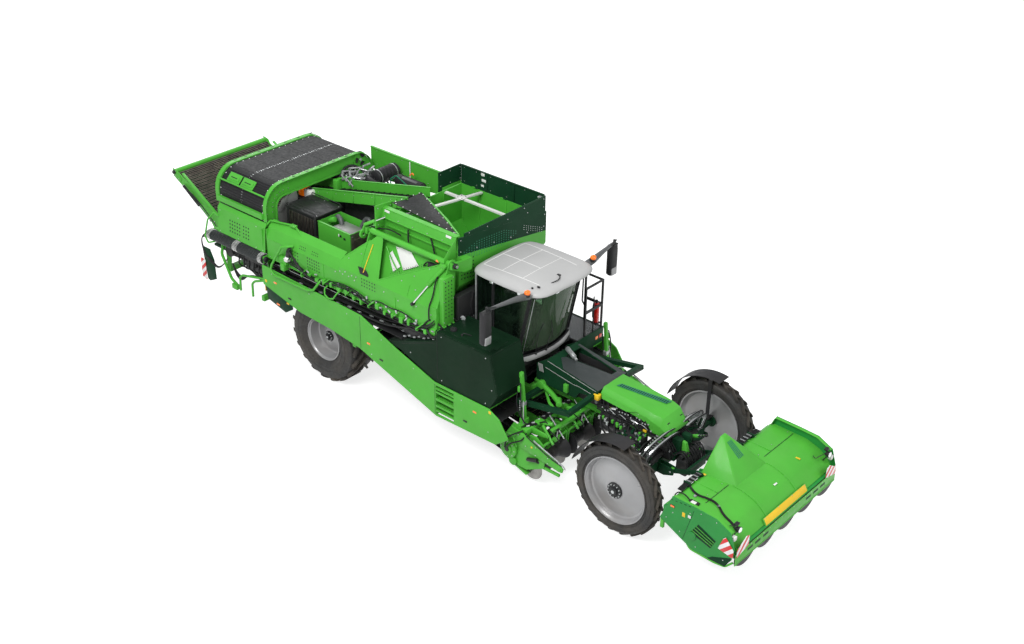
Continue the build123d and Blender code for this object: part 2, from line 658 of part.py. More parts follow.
# ---------------------------------------------------------------- unloading elevator
ex0, ex1 = elevator_x
hinge_y, hinge_z = elevator_pin
skin_out = -1720
skin_foot = 2480
with BuildPart() as elevator:
    # near skin, folded in at the top, with the notch over the discharge
    bar(
        (
            (-1480, 3300), (-1640, 3180), (skin_out, 2950), (skin_out, skin_foot),
            (skin_out + 16, skin_foot),
            (skin_out + 16, 2945), (-1626, 3166), (-1472, 3284),
        ),
        (ex0, -1900),
    )
    bar(
        (
            (hinge_y - 60, hinge_z - 30), (skin_out, 3050), (skin_out, skin_foot),
            (skin_out + 16, skin_foot),
            (skin_out + 16, 3050), (hinge_y - 44, hinge_z - 30),
        ),
        (-1900, ex1),
    )
    slab(((-1901, 3200), (-1250, 3750), (-1050, 3951), (-1901, 3951)), (skin_out - 1, hinge_y + 70),
        mode=Mode.SUBTRACT)
    slab(((-960, 3951), (-960, 3850), (-800, 3130), (600, hinge_z - 60), (600, 3951)), (skin_out - 1, -1345),
        mode=Mode.SUBTRACT)
    # inner chute plate, floor, front and rear ends
    bar(((-1610, 2900), (-1180, 3780), (-1192, 3786), (-1622, 2906)), (-1340, ex1 - 20))
    block(elevator_x, (skin_out, -1300), (skin_foot, skin_foot + 20))
    block((ex1 - 200, ex1), (skin_out, -1240), (skin_foot + 20, 3100))
    bar(((skin_out, 2500), (-1240, 2500), (-1180, 3780), (hinge_y, hinge_z), (-1380, 3880),
        (skin_out, 3050)), (ex1 - 20, ex1))
    bar(((-1700, 2960), (-1240, 2960), (-1180, 3780), (hinge_y, hinge_z), (-1380, 3880), (-1700, 3100)),
        (-1340, -1320))
    block((ex0, ex0 + 20), (skin_out, -1300), (skin_foot, 3140))
    rod((-1340, hinge_y, hinge_z), (ex1, hinge_y, hinge_z), 60)
    rod((-1500, hinge_y, hinge_z), (ex1 + 160, hinge_y, hinge_z), elevator_pin_radius)
save(elevator.part, "unloading_elevator")

with BuildPart() as elevator_belt:
    block((ex0 + 60, ex1 - 260), (-1680, -1320), (skin_foot + 20 + seat_gap, 2900))
save(elevator_belt.part, "elevator_belt")

# ---------------------------------------------------------------- cab
cx0, cx1 = cab_x
chw = cab_half_width
cw = cab_wall
sill_z = cab_floor_z + 180
head = 50                                    # height of the roof rail
door_low = cab_floor_z + 60
door_high = cab_roof_z - 60
door_rear = cx0 + 60
door_frame = 60
hinge_x = cx0 + 52
hinge_y_out = chw + 18
hinge_low, hinge_high = cab_floor_z + 270, cab_roof_z - 320
post_x = 1400
with BuildPart() as cab:
    block((cx0, cx1), (-chw, chw), (cab_floor_z - 60, cab_floor_z))
    block((cx0, cx0 + cw), (-chw, chw), (cab_floor_z, cab_roof_z))
    block((cx0 - 1, cx0 + cw + 1), (-chw + 120, chw - 120), (2750, 3480), mode=Mode.SUBTRACT)
    for s in (-1, 1):
        wall = (s * chw, s * (chw - cw))
        slab(((cx1 - 60, cab_floor_z), (cx1, cab_floor_z), (cx1 + cab_lean, cab_roof_z),
            (cx1 + cab_lean - 60, cab_roof_z)), wall)
        block((cx0 + cw, cx1 + cab_lean - 30), wall, (cab_roof_z - head, cab_roof_z))
        for x in (cx0 + 120, cx1 - 180):
            block((x, x + 120), (s * 340, s * 460), (rail_z[1], cab_floor_z - 60))
    block((cx0 + cw, cx1 - 50), (-chw, -chw + cw), (cab_floor_z, cab_floor_z + 60))
    block((post_x, post_x + 60), (-chw, -chw + cw), (cab_floor_z, cab_roof_z))
    block((cx1 - 60, cx1), (-chw + cw, chw - cw), (cab_floor_z, sill_z))
    block((cx1 + cab_lean - 60, cx1 + cab_lean - 5), (-chw + cw, chw - cw), (cab_roof_z - head, cab_roof_z))
    for x in (cx0 + 120, cx1 - 180):
        block((x, x + 120), (-rail_y, rail_y), (rail_z[1], rail_z[1] + 100))
    for z in (hinge_low, hinge_high):
        block((cx0 + 10, hinge_x), (chw, hinge_y_out + 8), (z, z + 30))
        rod((hinge_x, hinge_y_out, z), (hinge_x, hinge_y_out, z + 70), door_hinge_radius)
save(cab.part, "cab_frame")

roof_x = (cx0 - 80, cx1 + cab_lean + 240)
roof_half = chw + 130
roof_rear_half = -bunker_y[0] - 180           # the rear corners clear the bunker's ears
with BuildPart() as roof:
    with BuildSketch(Plane.XY.offset(cab_roof_z + seat_gap)) as plan:
        with BuildLine():
            ThreePointArc((roof_x[1] - 60, -roof_half), (roof_x[1] + 90, 0), (roof_x[1] - 60, roof_half))
            Line((roof_x[1] - 60, roof_half), (roof_x[0], roof_rear_half))
            ThreePointArc((roof_x[0], roof_rear_half), (roof_x[0] - 30, 0), (roof_x[0], -roof_rear_half))
            Line((roof_x[0], -roof_rear_half), (roof_x[1] - 60, -roof_half))
        make_face()
        fillet(plan.vertices(), radius=140)
    extrude(amount=70)
    extrude(roof.faces().sort_by(Axis.Z)[-1], amount=75, taper=55)
save(roof.part, "cab_roof")

bow = 180                                    # bow of the windscreen
with BuildPart() as cab_glass:
    low_x = cx1 + 30
    pane_half = chw - cw - seat_gap
    with BuildSketch(Plane.XY.offset(sill_z + seat_gap)) as screen:
        with BuildLine():
            ThreePointArc((low_x, -pane_half), (low_x + bow, 0), (low_x, pane_half))
            Line((low_x, pane_half), (low_x - glass, pane_half))
            ThreePointArc((low_x - glass, pane_half), (low_x + bow - glass, 0), (low_x - glass, -pane_half))
            Line((low_x - glass, -pane_half), (low_x, -pane_half))
        make_face()
    screen_rise = cab_roof_z - head - 10 - sill_z - seat_gap
    screen_lean = cab_lean * screen_rise / (cab_roof_z - cab_floor_z)
    extrude(screen.sketch, amount=hypot(screen_lean, screen_rise), dir=(screen_lean, 0, screen_rise))
    pane_y = (-chw + 14, -chw + 14 + glass)
    pane_z = (cab_floor_z + 60 + seat_gap, cab_roof_z - head - seat_gap)
    block((cx0 + cw + seat_gap, post_x - seat_gap), pane_y, pane_z)
    slab(
        (
            (post_x + 60 + seat_gap, pane_z[0]), (cx1 - 50, pane_z[0]), (cx1 + cab_lean - 75, pane_z[1]),
            (post_x + 60 + seat_gap, pane_z[1]),
        ),
        pane_y,
    )
    block((cx0 + 18, cx0 + 18 + glass), (-chw + 120 + seat_gap, chw - 120 - seat_gap),
        (2750 + seat_gap, 3480 - seat_gap))
save(cab_glass.part, "cab_glass")

door_outline = ((door_rear, door_low), (cx1 - 90, door_low), (cx1 + cab_lean - 120, door_high),
    (door_rear, door_high))


def door_opening(gap):
    """Outline of the door's pane, smaller all round by a gap."""
    low_z, high_z = door_low + door_frame + gap, door_high - door_frame - gap
    rear = door_rear + door_frame + gap
    return ((rear, low_z), (cx1 - 140 - gap, low_z), (cx1 + cab_lean - 195 - gap, high_z), (rear, high_z))


with BuildPart() as door:
    slab(door_outline, (chw - cw, chw))
    slab(door_opening(0), (chw - cw - 1, chw + 1), mode=Mode.SUBTRACT)
    for z in (hinge_low, hinge_high):
        knuckle_z = (z + 30 + seat_gap, z + 70)
        with Locations((hinge_x, hinge_y_out, (knuckle_z[0] + knuckle_z[1]) / 2)):
            Cylinder(16, knuckle_z[1] - knuckle_z[0])
        block((hinge_x, hinge_x + 43), (chw - 5, hinge_y_out + 8), knuckle_z)
        rod((hinge_x, hinge_y_out, z), (hinge_x, hinge_y_out, z + 80), door_hinge_radius + running_gap,
            mode=Mode.SUBTRACT)
save(door.part, "cab_door")

with BuildPart() as door_pane:
    slab(door_opening(seat_gap), (chw - 26, chw - 26 + glass))
save(door_pane.part, "cab_door_glass")

wheel_foot = (cx1 - 150, 0, cab_floor_z)
wheel_hub = (cx1 - 230, 0, cab_floor_z + 700)
with BuildPart() as seat:
    block((1210, 1700), (-250, 250), (cab_floor_z + 420, cab_floor_z + 540))
    block((1110, 1230), (-240, 240), (cab_floor_z + 440, cab_floor_z + 1150))
    block((1300, 1600), (-180, 180), (cab_floor_z, cab_floor_z + 430))
    block((1200, 1600), (240, 330), (cab_floor_z + 560, cab_floor_z + 680))
    block((1200, 1650), (-480, -250), (cab_floor_z + 480, cab_floor_z + 640))
save(seat.part, "driver_seat")

with BuildPart() as steering:
    tube((wheel_foot, wheel_hub), 70, 70)
    block((wheel_foot[0] - 60, wheel_foot[0] + 60), (-60, 60), (cab_floor_z, cab_floor_z + 60))
    block((wheel_foot[0] - 120, wheel_foot[0] + 120), (-120, 120), (cab_floor_z - 80, cab_floor_z),
        mode=Mode.SUBTRACT)
    with BuildSketch(Plane(origin=wheel_hub, z_dir=(-0.45, 0, 0.89))) as rim_plan:
        Circle(200)
        Circle(168, mode=Mode.SUBTRACT)
        Rectangle(380, 40)
        Rectangle(40, 380)
    extrude(rim_plan.sketch, amount=24)
save(steering.part, "steering_column")

platform_z = 1880
platform_x = (1080, 2330)
platform_y = (chw + 40, 1620)
rail_rise = 1100
rail_tube = 36
with BuildPart() as platform:
    block(platform_x, platform_y, (platform_z - 40, platform_z))
    for x in (platform_x[0] + 30, platform_x[1] - 30):
        block((x - 25, x + 25), (rail_y, platform_y[1] - 20), (platform_z - 120, platform_z - 40))
        block((x - 25, x + 25), (rail_y, rail_y + 50), (rail_z[1], platform_z - 120))
    corner = (platform_x[1] - 25, platform_y[1] - 25)
    posts = ((corner[0], platform_y[0] + 250), corner, (1870, corner[1]))
    for x, y in posts:
        tube(((x, y, platform_z), (x, y, platform_z + rail_rise)), rail_tube, rail_tube)
    for rise in (rail_rise, rail_rise / 2):
        tube([(x, y, platform_z + rise) for x, y in posts], rail_tube, rail_tube)
save(platform.part, "cab_platform")

mirror_y = panel_y + 60
with BuildPart() as mirrors:
    for s in (-1, 1):
        root = (cx1 + cab_lean - 20, s * (chw + 80), cab_roof_z - 30)
        block((root[0] - 40, root[0] + 40), (s * (chw + seat_gap), s * (chw + 80)),
            (cab_roof_z - 50, cab_roof_z - 5))
        tube((root, (2480, s * (roof_half + 70), 3600), (2470, s * (roof_half + 170), 3720),
            (2290, s * mirror_y, 3700)), 70, 40)
        block((2210, 2340), (s * (mirror_y - 115), s * (mirror_y + 115)), (2960, 3685))
save(mirrors.part, "mirrors")

# ---------------------------------------------------------------- front hoods
hood_x = (2330, 3840)
hood_half = 460
hood_base_z = spine_z[1]
hood_rear_z = hood_base_z + 570
hood_front_z = hood_base_z + 370
with BuildPart() as hood_frame:
    side_outline = (
        (hood_x[0], hood_base_z), (hood_x[0], hood_base_z + 400), (hood_x[0] + 250, hood_rear_z),
        (hood_x[1], hood_front_z), (hood_x[1], hood_base_z + 220), (3400, hood_base_z + 160),
        (3300, hood_base_z),
    )
    for s in (-1, 1):
        slab(side_outline, (s * hood_half, s * (hood_half - plate)))
    slab(
        (
            (hood_x[0] + 250, hood_rear_z - plate), (hood_x[1], hood_front_z - plate),
            (hood_x[1], hood_front_z),
            (hood_x[0] + 250, hood_rear_z),
        ),
        (-hood_half, hood_half),
    )
    with BuildSketch(Plane.XY.offset(hood_base_z + 290)) as opening:
        with BuildLine():
            Polyline((hood_x[0] + 400, -90), (hood_x[0] + 400, 380), (hood_x[1] - 170, 330),
                (hood_x[1] - 170, 180), close=True)
        make_face()
    extrude(opening.sketch, amount=400, mode=Mode.SUBTRACT)
    for x in (hood_x[0], hood_x[0] + 970):
        block((x, x + plate), (-hood_half + 20, hood_half - 20), (hood_base_z + seat_gap, hood_base_z + 155))
    for s in (-1, 1):
        side_tube = (
            (2480, s * (hood_half - 30), hood_base_z - 110), (2480, s * 1130, hood_base_z - 110),
            (3680, s * 1130, hood_base_z + 130), (3760, s * (hood_half - 20), hood_base_z + 260),
        )
        tube(side_tube, 90, 90)
    spine_y = (-spine_half_width - seat_gap, spine_half_width + seat_gap)
    block((spine_x[0], hood_x[1]), spine_y, (rail_z[0], hood_base_z + seat_gap), mode=Mode.SUBTRACT)
save(hood_frame.part, "hood_frame")

nose_rear = hood_x[1] + 20
nose = (
    (nose_rear, hood_base_z + 430), (4700, hood_base_z + 370), (front_axle_x + 10, hood_base_z + 300),
    (front_axle_x + 190, hood_base_z + 140), (front_axle_x + 210, hood_base_z + 40),
    (spine_x[1] + 5, hood_base_z - 60),
    (spine_x[1] + 5, hood_base_z + seat_gap), (nose_rear, hood_base_z + seat_gap),
)
with BuildPart() as front_hood:
    slab(nose, (-390, 390))
    ridge = front_hood.edges().filter_by(lambda edge: edge.center().Z > hood_base_z + 190 and abs(edge.center().Y) > 380)
    chamfer(ridge, length=90, length2=60)
save(front_hood.part, "front_hood")

# ---------------------------------------------------------------- topper
tip_x = lift_pin_x + arm_length * cos(radians(arm_angle))
tip_z = lift_pin_z + arm_length * sin(radians(arm_angle))
with BuildPart() as arms:
    for s in (-1, 1):
        tube(((lift_pin_x + 30, s * arm_y, lift_pin_z), (tip_x - 30, s * arm_y, tip_z)), 54, 70)
        for x, z in ((lift_pin_x, lift_pin_z), (tip_x, tip_z)):
            rod((x, s * arm_y - 30, z), (x, s * arm_y + 30, z), 48)
            rod((x, s * arm_y - 70, z), (x, s * arm_y + 70, z), arm_pin_radius)
    mid = ((lift_pin_x + tip_x) / 2, (lift_pin_z + tip_z) / 2)
    block((mid[0] - 25, mid[0] + 25), (-arm_y, arm_y), (mid[1] - 25, mid[1] + 25))
save(arms.part, "topper_arms")

thw = topper_half_width
rotor_axis = (tip_x + rotor_x, rotor_z)
nose_tube_x = tip_x + 1560
nose_tube_z = 900
end_outline = (
    (tip_x + 40, 950), (tip_x + 275, 1520), (tip_x + 800, 1510), (tip_x + 1190, 1490), (tip_x + 1500, 1340),
    (tip_x + 1600, 1040), (tip_x + 1560, 800), (tip_x + 1430, 610), (tip_x + 760, 610), (tip_x + 550, 700),
)
with BuildPart() as topper_frame:
    for s in (-1, 1):
        for y in (s * arm_y - 64, s * arm_y + 34):
            slab(
                ((tip_x - 50, tip_z - 60), (tip_x - 50, tip_z + 60), (tip_x + 130, tip_z + 120),
                (tip_x + 130, tip_z - 120)),
                (y, y + 30),
            )
        rod((tip_x, s * arm_y - 200, tip_z), (tip_x, s * arm_y + 200, tip_z), arm_pin_radius + running_gap,
            mode=Mode.SUBTRACT)
        slab(end_outline, (s * thw, s * (thw - sheet)))
        bearing = ((rotor_axis[0], s * (thw - 50), rotor_axis[1]),
            (rotor_axis[0], s * (thw + 50), rotor_axis[1]))
        rod(*bearing, rotor_shaft_radius + running_gap, mode=Mode.SUBTRACT)
    beam_z = (tip_z - 60, tip_z + 60)
    block((tip_x + 100, tip_x + 200), (-thw + 5, thw - 5), beam_z)
    tube(((nose_tube_x, -thw + 45, nose_tube_z), (nose_tube_x, thw - 45, nose_tube_z)), 80, 80)
    tube(((tip_x + 1190, -thw + 45, 1150), (tip_x + 1190, thw - 45, 1150)), 80, 80)
save(topper_frame.part, "topper_frame")

hood_inner = thw - sheet - seat_gap
hood_top = (
    (tip_x + 150, 1290), (tip_x + 200, 1345), (tip_x + 640, 1330), (tip_x + 950, 1330),
    (tip_x + 1260, 1230), (tip_x + 1460, 1060), (tip_x + 1540, nose_tube_z + 40 + sheet + seat_gap),
)
with BuildPart() as topper_hood:
    slab(hood_top + tuple((x - 3, z - sheet) for x, z in reversed(hood_top)), (-hood_inner, hood_inner))
    with BuildSketch(Plane.XY.offset(1325)) as base:
        with BuildLine():
            Polyline((tip_x + 110, -600), (tip_x + 810, -500), (tip_x + 810, 500), (tip_x + 110, 600),
                close=True)
        make_face()
    with BuildSketch(Plane.XY.offset(1900)) as apex:
        with BuildLine():
            Polyline((tip_x + 130, -70), (tip_x + 190, -40), (tip_x + 190, 40), (tip_x + 130, 70),
                close=True)
        make_face()
    loft([base.sketch, apex.sketch], ruled=True)
    for s in (-1, 1):
        slab(
            hood_top[3:] + tuple((x + 25, z + 40) for x, z in reversed(hood_top[2:])),
            (s * 480, s * 530),
        )
save(topper_hood.part, "topper_hood")

with BuildPart() as flaps:
    flap_face = nose_tube_x + 40 + seat_gap
    block((flap_face, flap_face + 20), (-hood_inner, hood_inner), (560, nose_tube_z + 40))
save(flaps.part, "topper_flaps")

hammer_count = 20
with BuildPart() as rotor:
    rod((rotor_axis[0], -thw - 5, rotor_axis[1]), (rotor_axis[0], thw + 5, rotor_axis[1]),
        rotor_shaft_radius)
    rod((rotor_axis[0], -thw + 60, rotor_axis[1]), (rotor_axis[0], thw - 60, rotor_axis[1]), 90)
    for i in range(hammer_count):
        turn = radians(90 * (i % 4))
        y = -thw + 150 + i * (2 * thw - 300) / (hammer_count - 1)
        centre = (rotor_axis[0] + 165 * cos(turn), y, rotor_axis[1] + 165 * sin(turn))
        with Locations(Plane(origin=centre, x_dir=(cos(turn), 0, sin(turn)), z_dir=(0, 1, 0))):
            Box(160, 40, 60)
save(rotor.part, "topper_rotor")

# ---------------------------------------------------------------- digging unit
dx, dz = dig_pin
rx, rz = roller_axis
with BuildPart() as dig:
    for s in (-1, 1):
        slab(
            (
                (2480, 420), (2480, 900), (2700, 1260), (2860, 1260), (3000, 900),
                (rx + 150, rz + 120), (rx + 150, rz - 80), (3050, 330), (2700, 330),
            ),
            (s * dig_half_width, s * (dig_half_width - plate)),
        )
        slab(
            ((dx - 70, dz - 70), (dx - 70, dz + 70), (dx + 70, dz + 70), (2600, 790), (2700, 700),
            (2700, 520), (2500, 500)),
            (s * (web_half_width + seat_gap), s * (web_half_width + plate)),
        )
        rod((dx, s * (web_half_width + 5), dz), (dx, s * (rail_y - 10), dz), dig_pin_radius)
        bearing = ((rx, s * (dig_half_width - 60), rz), (rx, s * (dig_half_width + 40), rz))
        rod(*bearing, roller_shaft_radius + running_gap, mode=Mode.SUBTRACT)
        tube(((2760, s * 1290, 1150), (2650, s * 1290, 2220)), 60, 60)
        block((2700, 2820), (s * 1260, s * (dig_half_width - 5)), (1120, 1180))
    tube(((2640, -dig_half_width + 45, 820), (2640, dig_half_width - 45, 820)), 80, 80)
    for row in range(row_count + 1):
        y = (row - row_count / 2) * row_spacing
        if abs(y) < dig_half_width - 100:
            slab(((2600, 800), (2680, 860), (3000, 420), (2950, 300), (2700, 330)), (y - sheet, y + sheet))
    slab(((2620, 330), (2640, 360), (3060, 220), (3040, 190)), (-dig_half_width + 5, dig_half_width - 5))
save(dig.part, "digging_frame")

dig_web_start = (2480, 650)
dig_web_end = (dx, dz)
with BuildPart() as dig_web:
    sieve(dig_web_start, dig_web_end, web_half_width, (-web_half_width + 40, 0, web_half_width - 40))
    for x, z in (dig_web_start, dig_web_end):
        rod((x, -web_half_width, z), (x, web_half_width, z), drum_radius)
save(dig_web.part, "digging_web")

with BuildPart() as rollers:
    rod((rx, -dig_half_width - 5, rz), (rx, dig_half_width + 5, rz), roller_shaft_radius)
    for row in range(row_count):
        y = (row - (row_count - 1) / 2) * row_spacing
        with BuildSketch(Plane.XY.offset(rz)) as half_roller:
            with BuildLine():
                Polyline(
                    (rx, y - 280), (rx + roller_radius, y - 280), (rx + 110, y - 90), (rx + 110, y + 90),
                    (rx + roller_radius, y + 280), (rx, y + 280), close=True,
                )
            make_face()
        revolve(half_roller.sketch, axis=Axis((rx, 0, rz), (0, 1, 0)))
save(rollers.part, "ridge_rollers")
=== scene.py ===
"""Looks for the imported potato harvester: its shapes, paint, rubber, glass and light.

Lengths are in metres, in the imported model's own frame: X forward, Y to the left, Z up.
"""
import json
import logging
import random
from collections.abc import Callable
from dataclasses import dataclass
from enum import Enum
from math import cos, hypot, pi, radians, sin, tau

import bmesh
import bpy
from mathutils import Matrix, Vector

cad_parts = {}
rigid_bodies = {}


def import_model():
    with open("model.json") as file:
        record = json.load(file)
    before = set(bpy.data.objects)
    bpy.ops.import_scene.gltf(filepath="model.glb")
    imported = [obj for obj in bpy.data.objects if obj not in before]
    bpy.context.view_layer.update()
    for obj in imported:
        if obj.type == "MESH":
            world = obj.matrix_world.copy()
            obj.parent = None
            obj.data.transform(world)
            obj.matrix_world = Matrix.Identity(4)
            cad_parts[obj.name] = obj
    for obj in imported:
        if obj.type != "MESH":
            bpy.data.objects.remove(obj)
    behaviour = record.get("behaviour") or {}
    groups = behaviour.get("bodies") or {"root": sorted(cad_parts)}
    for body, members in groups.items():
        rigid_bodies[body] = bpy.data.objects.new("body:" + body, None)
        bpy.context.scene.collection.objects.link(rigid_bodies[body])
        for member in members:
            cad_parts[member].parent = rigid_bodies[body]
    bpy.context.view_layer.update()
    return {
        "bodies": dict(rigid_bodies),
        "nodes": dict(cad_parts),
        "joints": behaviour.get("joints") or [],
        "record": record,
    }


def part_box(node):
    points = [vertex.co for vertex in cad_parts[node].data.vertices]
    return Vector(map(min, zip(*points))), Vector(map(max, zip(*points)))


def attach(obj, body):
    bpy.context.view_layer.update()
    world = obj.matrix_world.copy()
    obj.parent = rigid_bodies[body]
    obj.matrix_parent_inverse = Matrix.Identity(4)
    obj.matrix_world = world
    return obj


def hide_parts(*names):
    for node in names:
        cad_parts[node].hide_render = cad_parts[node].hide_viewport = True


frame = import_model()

Point = tuple[float, float, float]
Flat = tuple[float, float]
Span = tuple[float, float]

log = logging.getLogger("harvester")
rng = random.Random(7)
SIDES = (("right", -1), ("left", 1))
UP: Point = (0, 0, 1)
AHEAD: Point = (1, 0, 0)
BACK: Point = (-1, 0, 0)
OUT_RIGHT: Point = (0, -1, 0)
OUT_LEFT: Point = (0, 1, 0)
SLANT = 0.7071


class Plane(Enum):
    """The two axes that an outline is drawn on, with the axis that it is extruded along."""

    XY = (0, 1, 2)
    XZ = (0, 2, 1)
    YZ = (1, 2, 0)

    def place(self, point: Flat, depth: float) -> Point:
        """Returns the place in space of a point on this plane, at a depth along the third axis."""
        spot = dict(zip(self.value, (*point, depth)))
        return (spot[0], spot[1], spot[2])

    def rise(self, span: Span) -> Vector:
        """Returns the way along the third axis from the start of a span to its end."""
        return Vector(self.place((0.0, 0.0), span[1] - span[0]))


class Pattern(Enum):
    """Relief or print that a finish carries on top of its colour."""

    PLAIN = "plain"
    CHEQUER = "chequer plate"
    HAZARD = "slanted red and white stripes"
    WEAVE = "woven cloth"


class Nodes:
    """Short ways to add and join shader nodes in one material."""

    def __init__(self, material: bpy.types.Material) -> None:
        """Clears the material's tree and adds its output and main shader.

        Args:
            material: the material whose tree is built.
        """
        material.use_nodes = True
        self.tree = material.node_tree
        self.tree.nodes.clear()
        self.out = self.add("ShaderNodeOutputMaterial")
        self.shader = self.add("ShaderNodeBsdfPrincipled")
        self.join(self.shader.outputs[0], self.out.inputs[0])
        self.place = self.add("ShaderNodeTexCoord").outputs["Object"]

    def add(self, kind: str, **values: object) -> bpy.types.Node:
        """Adds a node and sets its fields.

        Args:
            kind: the node's type.
            values: its fields and their values.

        Returns:
            The new node.
        """
        node = self.tree.nodes.new(kind)
        for name, value in values.items():
            setattr(node, name, value)
        return node

    def join(self, source: bpy.types.NodeSocket, target: bpy.types.NodeSocket) -> None:
        """Links one socket to another."""
        self.tree.links.new(source, target)

    def noise(self, scale: float, detail: float = 3.0) -> bpy.types.NodeSocket:
        """Adds noise on Object coordinates.

        Args:
            scale: the noise's scale, per metre.
            detail: how many octaves it has.

        Returns:
            The noise's value socket.
        """
        texture = self.add("ShaderNodeTexNoise")
        texture.inputs["Scale"].default_value = scale
        texture.inputs["Detail"].default_value = detail
        self.join(self.place, texture.inputs["Vector"])
        return texture.outputs[0]

    def remap(self, source: bpy.types.NodeSocket, span: Span, to: Span = (0, 1)) -> bpy.types.NodeSocket:
        """Maps a value from one span to another, held at its ends."""
        node = self.add("ShaderNodeMapRange")
        for socket, value in zip(node.inputs[1:5], (*span, *to)):
            socket.default_value = value
        self.join(source, node.inputs[0])
        return node.outputs[0]

    def maths(self, kind: str, *sources: object) -> bpy.types.NodeSocket:
        """Adds a maths node.

        Args:
            kind: its operation.
            sources: its inputs, each a socket or a number.

        Returns:
            Its value socket.
        """
        node = self.add("ShaderNodeMath", operation=kind)
        for socket, source in zip(node.inputs, sources):
            if isinstance(source, (int, float)):
                socket.default_value = source
            else:
                self.join(source, socket)
        return node.outputs[0]

    def blend(self, factor: object, first: object, second: object) -> bpy.types.NodeSocket:
        """Mixes two colours.

        Args:
            factor: a socket or a number, 0 for the first colour.
            first: a colour or a socket.
            second: a colour or a socket.

        Returns:
            The mixed colour's socket.
        """
        node = self.add("ShaderNodeMix", data_type="RGBA")
        for socket, value in ((node.inputs[0], factor), (node.inputs[6], first), (node.inputs[7], second)):
            if isinstance(value, bpy.types.NodeSocket):
                self.join(value, socket)
            elif isinstance(value, tuple):
                socket.default_value = (*value, 1.0)
            else:
                socket.default_value = value
        return node.outputs[2]

    def axes(self) -> list[bpy.types.NodeSocket]:
        """The X, Y and Z of the point on the surface."""
        split = self.add("ShaderNodeSeparateXYZ")
        self.join(self.place, split.inputs[0])
        return list(split.outputs)


MID_NOISE: Span = (0.3, 0.7)
BARE_METAL: Point = (0.45, 0.45, 0.43)
DUST: Point = (0.2, 0.155, 0.105)
COAT_ROUGHNESS = 0.08
BUMP_STRENGTH = 0.6
WORN_EDGE = 0.007


